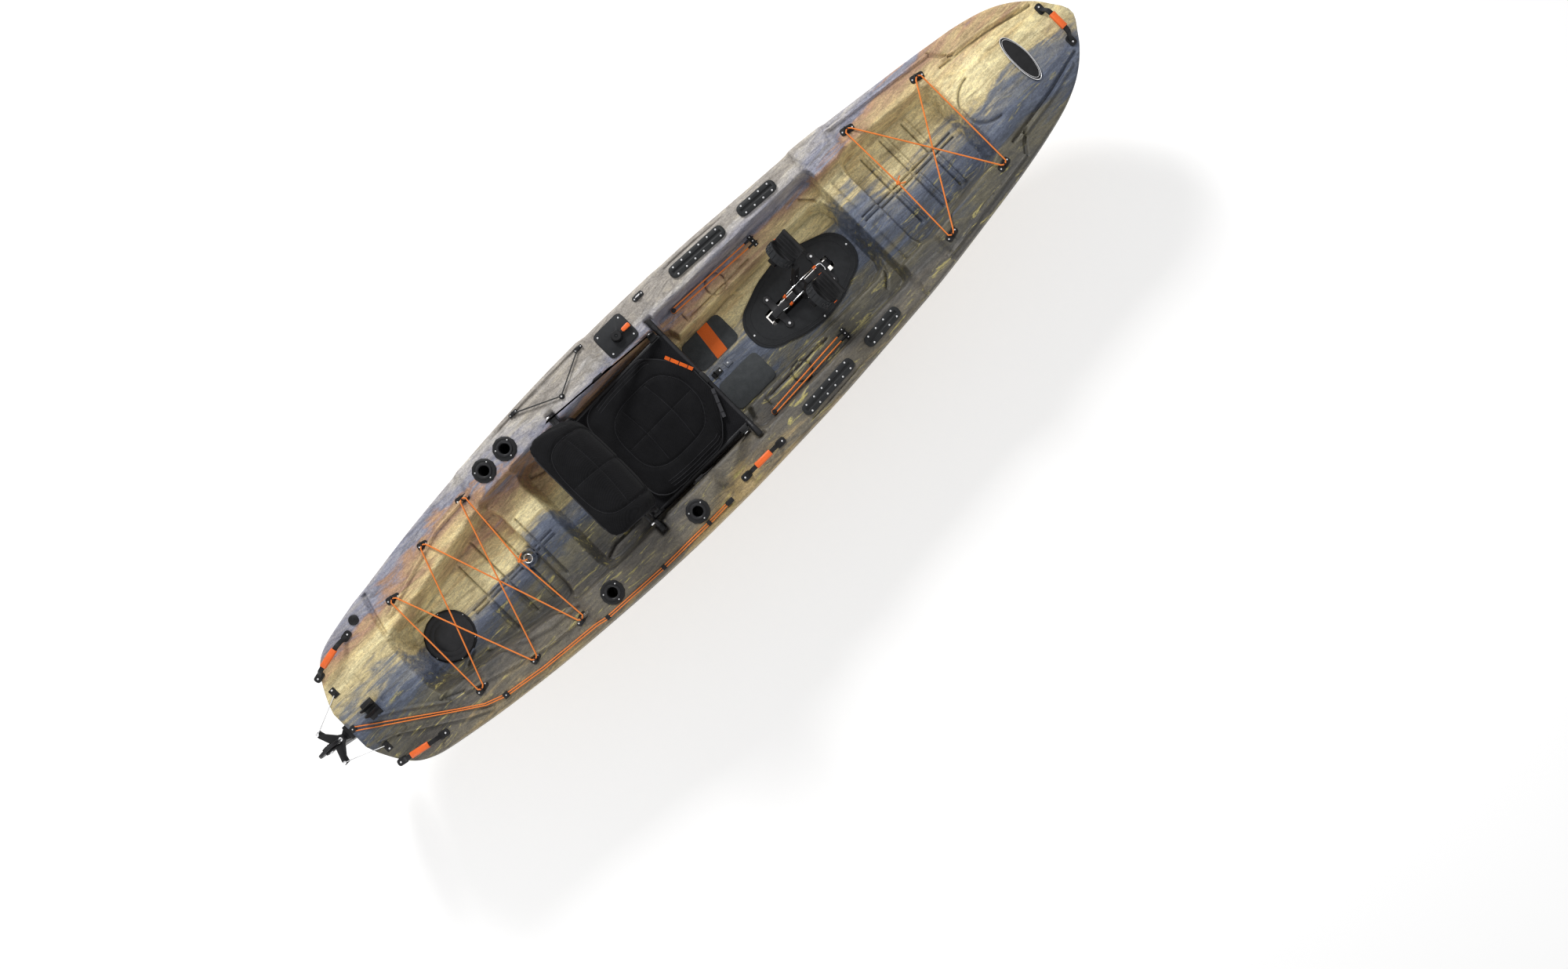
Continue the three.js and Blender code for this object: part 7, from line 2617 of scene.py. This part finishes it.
@dataclass
class Chair:
    """Folding seat: its frame, its back, both pads, the side straps and webbing."""

    rail_y: float = 0.232
    rail_front: Flat = (-0.041, 0.297)
    rail_rear: Flat = (-0.547, 0.262)
    foot_front: float = 0.319
    foot_rear: float = 0.352
    hinge: Flat = (-0.515, 0.362)
    tube: float = 0.011
    back_line: tuple[Flat, ...] = (
        (-0.515, 0.362), (-0.528, 0.470), (-0.541, 0.560), (-0.588, 0.632), (-0.676, 0.682),
    )

    def seat_frame(self) -> None:
        """Rails, bent cross bars with feet, lugs and hinge pins."""
        piece = Piece("seat_frame_shown", Body.SEAT)
        for x, rail, foot in (
            (self.rail_front[0], self.rail_front[1], self.foot_front),
            (self.rail_rear[0], self.rail_rear[1], self.foot_rear),
        ):
            half = [
                (x, 0.292, foot), (x, 0.262, foot), (x, 0.251, foot - 0.006), (x, 0.236, rail + 0.008),
                (x, 0.222, rail), (x, 0.18, rail),
            ]
            path = curved([(a, -b, c) for a, b, c in half] + half[::-1], 5)
            piece.take(cord(path, self.tube, 4), Finish.SATIN)
            for side in (1, -1):
                piece.take(
                    rod((x, side * 0.274, foot), (x, side * 0.2995, foot), self.tube + 0.0006, 20, 0.003),
                    Finish.RUBBER,
                )
        for side in (1, -1):
            front, rear = ((x, side * self.rail_y, z) for x, z in (self.rail_front, self.rail_rear))
            piece.take(rod(front, rear, self.tube, 20, 0.002), Finish.SATIN)
            x, z = self.hinge
            base = self.rail_rear[1]
            lug = [
                (x - 0.030, base), (x + 0.017, base), (x + 0.017, z), (x + 0.010, z + 0.0136),
                (x - 0.010, z + 0.0136), (x - 0.024, z),
            ]
            piece.take(side_plate(rounded_outline(lug, 0.004), side * 0.235, side * 0.245, 0.0015), Finish.BLACK)
            piece.take(rod((x, side * 0.202, z), (x, side * 0.2462, z), 0.006, 16, 0.001), Finish.SATIN)
            x = -0.072
            base = self.rail_rear[1] + (x - self.rail_rear[0]) / (
                self.rail_front[0] - self.rail_rear[0]
            ) * (self.rail_front[1] - self.rail_rear[1])
            foot = block((x - 0.016, side * self.rail_y, base), (x + 0.016, side * 0.2555, base + 0.032), 0.002)
            piece.take(foot, Finish.BLACK)
            lug = rounded_outline(oblong((x - 0.016, base), (x + 0.016, 0.352)), 0.007)
            piece.take(side_plate(lug, side * 0.2515, side * 0.2555, 0.001), Finish.BLACK)
        piece.done("seat_frame")

    def sling(self) -> None:
        """Cloth slung between the rails of the seat."""
        sling = bmesh.new()
        bmesh.ops.create_grid(sling, x_segments=40, y_segments=36, size=0.5)
        for vert in sling.verts:
            share, across = vert.co.x + 0.5, vert.co.y * 2
            x = self.rail_rear[0] + (self.rail_front[0] - self.rail_rear[0]) * share
            z = self.rail_rear[1] + (self.rail_front[1] - self.rail_rear[1]) * share
            sag = 0.004 * (1 - across ** 2) * (1 - (2 * share - 1) ** 4)
            vert.co = (x, across * self.rail_y, z + self.tube - 0.0008 - sag)
        solid = baked(meshed(sling, "seat_sling"), ("SOLIDIFY", {"thickness": 0.002, "offset": -1.0}))
        solid.materials.append(Finish.MESH.material())
        shown = settle(solid, "seat_sling", Body.SEAT)
        length = math.dist(self.rail_rear, self.rail_front)

    def back_frame(self) -> None:
        """Bent tube of the back, its hubs and the pins of its straps."""
        piece = Piece("backrest_frame_shown", Body.BACK)
        lines = []
        for side in (-1, 1):
            flare = [0.216 + (0.210 - 0.216) * step / 4 for step in range(4)]
            lines.append([(x, side * y, z) for (x, z), y in zip(self.back_line[:4], flare)])
        head_x, head_z = -0.652, 0.6665
        head = [
            (head_x + 0.030, 0.2055, head_z - 0.020), (head_x + 0.006, 0.196, head_z - 0.004),
            (head_x, 0.170, head_z), (head_x, 0.06, head_z),
        ]
        path = lines[0] + [(x, -y, z) for x, y, z in head] + head[::-1] + lines[1][::-1]
        piece.take(cord(curved(path, 6), 0.0098, 4), Finish.SATIN)
        x, z = self.hinge
        for side in (1, -1):
            hub = rod((x, side * 0.214, z), (x, side * 0.2347, z), 0.0125, 24, 0.0015)
            piece.take(hub, Finish.BLACK)
            px, pz = self.back_line[2]
            piece.take(rod((px, side * 0.208, pz), (px, side * 0.266, pz), 0.0048, 16, 0.001), Finish.SATIN)
            piece.take(rod((px, side * 0.2615, pz), (px, side * 0.2675, pz), 0.0078, 24, 0.0018), Finish.STEEL)
        for share in (0.30, 0.62):
            low, high = self.back_line[1], self.back_line[2]
            x = low[0] + (high[0] - low[0]) * share
            z = low[1] + (high[1] - low[1]) * share
            web = band(
                [Vector((x - 0.004, y, z)) for y in np.linspace(-0.215, 0.215, 20)], [Vector((0, 0, 0.019))] * 20,
                0.002,
            )
            piece.take(web, Finish.WEB)
        piece.done("backrest_frame")

    def straps(self) -> None:
        """Side straps from the pins of the back to the seat, with their buckles and loose tails."""
        for side in Side:
            sign = side.value
            y = sign * 0.2574
            top, foot = Vector((-0.541, y, 0.560)), Vector((-0.072, y, 0.334))
            along = (foot - top).normalized()
            across = Vector((along.z, 0, -along.x)) * 0.015
            start = top - along * 0.018
            name = side.name.lower()
            points = [start.lerp(foot, step / 24) for step in range(25)]
            piece = Piece(f"seat_strap_{name}_shown", None)
            piece.take(band(points, [across] * 25, 0.0026), Finish.WEB)
            middle = top.lerp(foot, 0.47)
            frame_turn = Matrix.Translation(middle) @ Matrix.Rotation(math.atan2(-along.z, along.x), 4, "Y")
            buckle = block((-0.020, sign * -0.0014, -0.0185), (0.020, sign * 0.0072, 0.0185), 0.0025, 3)
            piece.take(buckle, Finish.BLACK, frame_turn)
            for x in (-0.012, 0.004):
                slot = block((x, sign * 0.0070, -0.0125), (x + 0.008, sign * 0.0078, 0.0125), 0.0006)
                piece.take(slot, Finish.GREY, frame_turn)
            sag = [(0.012, 0.0, 0.0), (0.034, 0.004, 0.006), (0.056, 0.005, 0.013), (0.072, 0.0045, 0.022)]
            tail = curved([middle + along * a + Vector((0, sign * b, -c)) for a, b, c in sag], 6)
            piece.take(band(tail, [across] * len(tail), 0.0022), Finish.WEB)
            loop = ring(tuple(foot - along * 0.003), 0.0085, 0.0022, (0, 1, 0), 20)
            piece.take(loop, Finish.STEEL)
            shown = piece.done(f"seat_strap_{name}")
            tuple(foot.lerp(top, 0.34))
            tuple(foot.lerp(top, 0.96))
            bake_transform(shown)

    def webbing(self, pad: Mesh) -> None:
        """Webbing sewn along the slanted front edges of the seat pad, and the buckle between.

        Args:
            pad: Mesh of the seat pad.
        """
        body = opened(pad)
        tree = BVHTree.FromBMesh(body)
        body.free()
        for side, finish in ((Side.PORT, Finish.ORANGE_WEB), (Side.STARBOARD, Finish.WEB)):
            sign = side.value
            start, end = Vector((-0.092, sign * 0.158, 0.36)), Vector((-0.049, sign * 0.052, 0.36))
            along = (end - start).normalized()
            across = Vector((-along.y, along.x, 0)) * 0.0068
            steps = np.linspace(0, 1, 17)
            hits = [tree.ray_cast(start.lerp(end, step) + Vector((-0.006, 0, 0)), DOWN)[0] for step in steps]
            found = [(step, hit.z) for step, hit in zip(steps, hits) if hit is not None]
            rise = np.polyfit(*zip(*found), 1) if len(found) > 2 else (0.0, 0.328)
            points = [Vector((*start.lerp(end, step).xy, float(np.polyval(rise, step)) + 0.0018)) for step in steps]
            piece = Piece(f"seat_webbing_{side.name.lower()}", Body.SEAT)
            piece.take(band(points, [across] * len(points), 0.0022), finish)
            for step in range(3, 16, 5):
                low, high = points[step] - along * 0.0012, points[step] + along * 0.0012
                piece.take(band(
                    [low + Vector((0, 0, 0.0012)), high + Vector((0, 0, 0.0012))], [across * 0.96] * 2, 0.0008,
                ), Finish.BLACK_WEB)
            piece.done()
        buckle = Piece("seat_front_buckle", Body.SEAT)
        buckle.take(block((-0.047, -0.024, 0.3215), (-0.031, 0.024, 0.3295), 0.0025, 3), Finish.BLACK)
        line = curved([(-0.040, 0.0, 0.3225), (-0.030, 0.0, 0.318), (-0.0285, 0.0, 0.308), (-0.032, 0.0, 0.2995)], 5)
        buckle.take(band(line, [Vector((0, 0.016, 0))] * len(line), 0.0022), Finish.BLACK_WEB)
        buckle.done()

    def build(self) -> None:
        """Makes the chair."""
        self.seat_frame()
        self.sling()
        self.back_frame()
        pad = Cushion(
            "seat_pad", "seat_cushion", Body.SEAT, ((-0.498, 0.2769), (-0.268, 0.2928), (-0.038, 0.3087)),
            0.238, 0.034, 0.007, -1, ((-1.0, 1.0), (0.48, 1.0), (0.80, 0.70), (1.0, 0.36)), (0.72, 0.60), 3.0,
            (-0.30, 0.26), 0.16, 3,
        ).build()
        out = 0.0087
        spine = [(-0.517, 0.384), *self.back_line[1:4], (-0.680, 0.684)]
        track = []
        for index, (x, z) in enumerate(spine):
            before, after = spine[max(index - 1, 0)], spine[min(index + 1, len(spine) - 1)]
            along = Vector((after[0] - before[0], after[1] - before[1])).normalized()
            track.append((x + along.y * out, z - along.x * out))
        Cushion(
            "backrest_pad", "backrest_cushion", Body.BACK, tuple(track), 0.232, 0.040, 0.008, 1,
            ((-1.0, 0.97), (1.0, 1.03)), (0.86, 0.70), 4.0,
            (-0.42, 0.30), -0.10,
        ).build()
        self.straps()
        self.webbing(pad)


@dataclass
class PedalDrive:
    """Drive through the floor: well plate, case, rods, arms, pedals and the two fins below."""

    crank: Flat = (0.474, 0.152)
    axle: Flat = (0.474, 0.459)
    plate_top: float = 0.1063
    pedal_lean: float = -33.0

    def well(self) -> None:
        """Oval plate on the cockpit floor with a raised rim, and the lining of the opening."""
        half = [
            (0.272, 0.040), (0.234, 0.090), (0.104, 0.138), (0.0, 0.154), (-0.104, 0.138), (-0.234, 0.090),
            (-0.272, 0.040),
        ]
        corners = [(SLOT_MIDDLE_X + x, y) for x, y in half] + [(SLOT_MIDDLE_X + x, -y) for x, y in reversed(half)]
        part = plate(rounded_outline(corners, 0.030), COCKPIT_FLOOR, self.plate_top, 0.0016)
        slot = plate(Mouldings.slot_outline(), 0.08, 0.13, 0.0)
        cut = Mouldings().holed(meshed(part, "well_plate"), [slot])
        piece = Piece("drive_well_plate_shown", Body.HULL).take(opened(cut), Finish.GREY)
        for share, wire in ((0.955, 0.0016), (0.86, 0.0012)):
            line = rounded_outline(
                [(SLOT_MIDDLE_X + (x - SLOT_MIDDLE_X) * share, y * share) for x, y in corners], 0.028,
            )
            piece.take(cord([Vector((x, y, self.plate_top)) for x, y in line], wire, 2, True), Finish.GREY)
        spots = [(0.218, 0.0), (0.726, 0.0), (0.468, 0.140), (0.468, -0.140)]
        piece.screwed([((x, y, self.plate_top - 0.0002), UP) for x, y in spots], 0.005, 0.0022)
        piece.done("drive_well_plate")
        dressed("drive_trunk", Finish.BLACK, Body.HULL, 0.001)

    def case(self) -> None:
        """Case with its feet, drum bands and bolts, and the bright rods over it."""
        piece = Piece("drive_case_shown", Body.DRIVE).take(refined("drive_unit", 0.0016), Finish.SATIN)
        top = self.plate_top + 0.0073
        feet = [((x, side * 0.063, top), UP) for x in (0.350, 0.593) for side in (1, -1)]
        piece.screwed(feet, 0.0068, 0.004)
        x, z = self.crank
        for side in (1, -1):
            for radius, wire in ((0.0322, 0.0011), (0.026, 0.0009), (0.019, 0.0009)):
                piece.take(ring((x, side * 0.0146, z), radius, wire, (0, 1, 0), 48), Finish.BLACK)
            piece.take(rod((x, side * 0.0470, z), (x, side * 0.0492, z), 0.0098, 6, 0.0008), Finish.STEEL)
            for px, pz in ((0.405, 0.142), (0.565, 0.132)):
                piece.take(rod((px, side * 0.0125, pz), (px, side * 0.0152, pz), 0.0052, 20, 0.0008), Finish.ORANGE)
        piece.done("drive_unit")
        narrow, wide = 0.0188, 0.0192
        half = [
            (0.344, 0.0065, 0.121), (0.366, 0.0125, 0.1325), (0.384, 0.0178, 0.140), (0.400, wide, 0.154),
            (0.412, wide, 0.170),
            (0.424, wide, 0.1768), (0.462, wide, 0.1818), (0.496, narrow, 0.187), (0.512, narrow, 0.186),
            (0.540, narrow, 0.1705), (0.566, narrow, 0.155), (0.584, narrow, 0.150), (0.594, 0.0135, 0.148),
            (0.5955, 0.0, 0.1475),
        ]
        path = half + [(a, -b, c) for a, b, c in reversed(half[:-1])]
        rods = Piece("drive_rods_shown", Body.DRIVE).take(cord(curved(path, 5), 0.0027, 4), Finish.CHROME)
        for side in (1, -1):
            for spot, way in (
                ((0.405, side * wide, 0.1605), (0.6, 0, 0.8)), ((0.565, side * narrow, 0.1555), (0.9, 0, -0.45)),
            ):
                direction = Vector(way).normalized() * 0.008
                start, end = Vector(spot) - direction, Vector(spot) + direction
                rods.take(rod(tuple(start), tuple(end), 0.0051, 20, 0.0008), Finish.ORANGE)
        rods.done("drive_rods")

    def arms(self) -> None:
        """Pedal arms with a grip rib, hub ring and end cap."""
        for side, body in ((Side.PORT, Body.ARM_PORT), (Side.STARBOARD, Body.ARM_STARBOARD)):
            sign, name = side.value, side.name.lower()
            piece = Piece(f"pedal_arm_{name}_shown", body).take(refined(f"pedal_arm_{name}", 0.0022, 3), Finish.BLACK)
            x, z = self.crank
            for radius in (0.0185, 0.0135):
                piece.take(ring((x, sign * 0.0422, z), radius, 0.0009, (0, 1, 0), 40), Finish.BLACK)
            slot = [
                (x - 0.0055, z + 0.045), (x + 0.0055, z + 0.045), (x + 0.0045, z + 0.262), (x - 0.0045, z + 0.262),
            ]
            piece.take(side_plate(rounded_outline(slot, 0.004), sign * 0.0416, sign * 0.0430, 0.0006), Finish.SATIN)
            for step in range(5):
                height = z + 0.078 + 0.038 * step
                piece.take(
                    rod((x, sign * 0.0425, height), (x, sign * 0.0437, height), 0.0034, 20, 0.0004), Finish.STEEL,
                )
            piece.done(f"pedal_arm_{name}")

    def pedals(self) -> None:
        """Pedals with their treads, their straps and the button on the side."""
        for side, body in ((Side.PORT, Body.PEDAL_PORT), (Side.STARBOARD, Body.PEDAL_STARBOARD)):
            sign, name = side.value, side.name.lower()
            place = moved(self.axle[0], 0, self.axle[1], self.pedal_lean, "Y")
            piece = Piece(f"pedal_{name}_shown", body).take(refined(f"pedal_{name}", 0.0014), Finish.BLACK)
            for step in range(6):
                x = -0.020 + step * 0.0145
                tread = block((x, sign * 0.056, 0.0062), (x + 0.006, sign * 0.149, 0.0094), 0.001)
                piece.take(tread, Finish.RUBBER, place)
            self.strap(piece, sign, place)
            button = rod((0.018, sign * 0.1555, 0.001), (0.018, sign * 0.1585, 0.001), 0.0075, 24, 0.001)
            piece.take(button, Finish.ORANGE, place)
            for rise in (0.012, -0.004):
                piece.take(ring((-0.031, sign * 0.1025, rise), 0.009, 0.0012, (1, 0, 0), 20), Finish.BLACK, place)
            piece.done(f"pedal_{name}")

    def strap(self, piece: Piece, sign: int, place: Matrix) -> None:
        """Ribbed strap over one pedal, with its holes.

        Args:
            piece: Piece that takes it.
            sign: Sign of the pedal's side.
            place: Where the pedal is.
        """
        inner, outer = 0.0525, 0.1525
        middle, top = (inner + outer) / 2, 0.076
        arch = [
            (inner, 0.004), (inner, top * 0.55), (inner + (middle - inner) * 0.35, top * 0.88), (middle, top),
            (outer - (outer - middle) * 0.35, top * 0.88), (outer, top * 0.55), (outer, 0.004),
        ]
        line = [Vector((0.0085, sign * y, z)) for y, z in arch]
        smooth = curved([tuple(point) for point in line], 6)
        centre = Vector((0.0085, sign * middle, 0.03))
        lifted = [point + (point - centre).normalized() * 0.0026 for point in smooth]
        piece.take(band(lifted, [Vector((0.0165, 0, 0))] * len(lifted), 0.0024), Finish.GREY, place)
        for step in range(4, len(lifted) - 4, 3):
            spot = lifted[step] + (lifted[step] - centre).normalized() * 0.0012
            piece.take(
                rod((spot.x - 0.0135, spot.y, spot.z), (spot.x + 0.0135, spot.y, spot.z), 0.0012, 10), Finish.GREY,
                place,
            )
        for step in (7, 10, 13, 24, 27):
            spot = lifted[step] + (lifted[step] - centre).normalized() * 0.0016
            way = (lifted[step] - centre).normalized()
            piece.take(ring((spot.x + 0.001, spot.y, spot.z), 0.0036, 0.0009, tuple(way), 20), Finish.COATED, place)

    def fins(self) -> None:
        """The two fins: soft sail, round mast on its leading edge and the outhaul at its foot."""
        for name, body, aft in (("fin_rear", Body.FIN_REAR, 0.322), ("fin_front", Body.FIN_FRONT, 0.456)):
            piece = Piece(f"{name}_shown", body).take(refined(name, 0.0016, 2), Finish.FIN)
            chord, span, top = 0.132, 0.300, -0.008
            mast = [
                (aft + x * chord, 0.0, top + z * span)
                for x, z in ((0.9, -0.004), (0.965, -0.1), (0.6, -0.87), (0.53, -0.93))
            ]
            piece.take(cord(
                curved([mast[0], mast[1], tuple((Vector(mast[1]) + Vector(mast[2])) / 2), mast[2], mast[3]], 6),
                0.0067, 4,
            ), Finish.BLACK)
            for sign in (1, -1):
                slit = [
                    Vector((aft + x * chord - 0.0135, sign * 0.0043, top + z * span))
                    for x, z in ((0.93, -0.14), (0.81, -0.4), (0.70, -0.63), (0.62, -0.8))
                ]
                piece.take(cord(slit, 0.0007, 2), Finish.COATED)
                for share in (0.30, 0.52, 0.74):
                    rib = [
                        Vector((aft + x * chord, sign * 0.0041, top - share * span - drop))
                        for x, drop in ((0.06, 0.010), (0.35, 0.004), (0.60 - 0.2 * share, 0.0))
                    ]
                    piece.take(cord(rib, 0.0008, 2), Finish.FIN)
                foot = [
                    Vector((aft + x * chord, sign * 0.0042, top + z * span))
                    for x, z in ((0.1, -0.93), (0.3, -0.955), (0.48, -0.925))
                ]
                piece.take(cord(foot, 0.0011, 2), Finish.BLACK)
            piece.done(name)

    def build(self) -> None:
        """Makes the drive."""
        self.well()
        self.case()
        self.arms()
        self.pedals()
        self.fins()


# Studio.


@dataclass
class Studio:
    """Camera, lamps and floor."""

    photo_width: float = 2000.0
    scale: float = 2.933e-3
    middle: Flat = (908.0, 471.5)
    frame_middle: Flat = (1000.0, 618.0)
    height: float = 4.6
    plane: float = 0.33
    tilt: float = math.radians(45.0)
    lift: float = 0.34
    ambient: float = 0.42
    sensor: float = 36.0
    clip_end: float = 60.0
    floor_half: float = 14.0
    floor_shade: Colour = (0.88, 0.88, 0.88)
    fade: Flat = (3.2, 9.0)

    def camera(self) -> None:
        """Camera straight over the deck, rolled so that the bow points up to the right."""
        data = bpy.data.cameras.new("camera")
        data.sensor_width = self.sensor
        data.lens = self.sensor * self.height / (self.photo_width * self.scale)
        camera = placed("camera", data)
        right = (self.frame_middle[0] - self.middle[0]) * self.scale
        down = (self.frame_middle[1] - self.middle[1]) * self.scale
        cosine, sine = math.cos(self.tilt), math.sin(self.tilt)
        across = Vector((cosine, -sine, 0.0))
        up = Vector((sine, cosine, 0.0))
        aim = across * right - up * down
        turn = Matrix((across, up, Vector((0, 0, 1)))).transposed()
        camera.matrix_world = Matrix.Translation(aim + Vector((0, 0, self.plane + self.height))) @ turn.to_4x4()
        data.clip_end = self.clip_end
        bpy.context.scene.camera = camera

    def lamp(self, name: str, place: Point, size: float, power: float) -> None:
        """Soft square lamp that faces the boat.

        Args:
            name: Name of the lamp.
            place: Its place.
            size: Length of its side.
            power: Its power in watts.
        """
        data = bpy.data.lights.new(name, "AREA")
        data.shape = "SQUARE"
        data.size = size
        data.energy = power
        lamp = placed(name, data)
        lamp.location = place
        lamp.rotation_euler = (Vector((0, 0, 0.3)) - Vector(place)).to_track_quat("-Z", "Y").to_euler()

    def floor(self) -> None:
        """Pale floor that keeps the boat's shadow and is white where the camera sees it bare."""
        part = bmesh.new()
        bmesh.ops.create_grid(part, x_segments=8, y_segments=8, size=self.floor_half)
        bmesh.ops.translate(part, vec=(0, 0, self.floor_height()), verts=part.verts)
        floor = placed("floor", meshed(part, "floor"))
        floor.data.materials.append(self.floor_finish())
        floor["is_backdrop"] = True

    def floor_finish(self) -> Material:
        """White floor that is lifted to pure white where it is seen, outside the shadow.

        Returns:
            The floor's material.
        """
        nodes = Nodes("floor_white")
        material = nodes.finish(self.floor_shade, 0.95, Specular_IOR_Level=0.0)
        tree = material.node_tree
        output = next(node for node in tree.nodes if node.type == "OUTPUT_MATERIAL")
        shaded = output.inputs["Surface"].links[0].from_socket
        path = nodes.add("ShaderNodeLightPath")
        seen = nodes.math("MAXIMUM", path.outputs["Is Camera Ray"], path.outputs["Is Glossy Ray"])
        seen = nodes.math("MAXIMUM", seen, path.outputs["Is Transmission Ray"])
        away = nodes.add("ShaderNodeVectorMath", operation="LENGTH")
        nodes.link(nodes.place, away.inputs[0])
        far = nodes.steps(away.outputs["Value"], *self.fade)
        shade = next(node for node in tree.nodes if node.type == "BSDF_PRINCIPLED")
        nodes.link(nodes.mix(far, self.floor_shade, (0.0, 0.0, 0.0)), shade.inputs["Base Color"])
        lift = nodes.math("MULTIPLY_ADD", far, 1.0 - self.lift)
        lift.node.inputs[2].default_value = self.lift
        glow = nodes.add("ShaderNodeEmission")
        nodes.link(nodes.math("MULTIPLY", seen, lift), glow.inputs["Strength"])
        both = nodes.add("ShaderNodeAddShader")
        nodes.link(shaded, both.inputs[0])
        nodes.link(glow.outputs[0], both.inputs[1])
        nodes.link(both.outputs[0], output.inputs["Surface"])
        return material

    @staticmethod
    def floor_height() -> float:
        """Height of the floor, under the lowest tip.

        Returns:
            The height in metres.
        """
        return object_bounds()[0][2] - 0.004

    def world(self) -> None:
        """Even world, which is white wherever it is seen."""
        world = bpy.data.worlds.new("studio")
        world.use_nodes = True
        tree = world.node_tree
        background = tree.nodes["Background"]
        background.inputs["Color"].default_value = (1.0, 1.0, 1.0, 1.0)
        path = tree.nodes.new("ShaderNodeLightPath")
        seen = path.outputs["Is Camera Ray"]
        for name in ("Is Glossy Ray", "Is Transmission Ray"):
            larger = tree.nodes.new("ShaderNodeMath")
            larger.operation = "MAXIMUM"
            tree.links.new(seen, larger.inputs[0])
            tree.links.new(path.outputs[name], larger.inputs[1])
            seen = larger.outputs[0]
        strength = tree.nodes.new("ShaderNodeMath")
        strength.operation = "MULTIPLY_ADD"
        strength.inputs[1].default_value = 1.0 - self.ambient
        strength.inputs[2].default_value = self.ambient
        tree.links.new(seen, strength.inputs[0])
        tree.links.new(strength.outputs[0], background.inputs["Strength"])
        bpy.context.scene.world = world
        bpy.context.scene.view_settings.view_transform = "Standard"

    def build(self) -> None:
        """Makes the whole studio."""
        self.camera()
        self.lamp("key", (0.6, 4.2, 3.6), 1.3, 235.0)
        self.lamp("fill", (2.5, -3.5, 4.0), 3.0, 45.0)
        self.lamp("back", (-4.2, -1.6, 3.0), 2.0, 45.0)
        self.world()
        self.floor()


def main() -> None:
    """Builds the dressed kayak and its studio."""
    logging.basicConfig(level=logging.INFO, format="%(message)s")
    Studio().build()
    for part in (Mouldings(), DeckFittings(), CarryHandles(), Lacing(), Rudder(), Chair(), PedalDrive()):
        LOG.info("building %s", type(part).__name__)
        part.build()


if __name__ == "__main__":
    main()
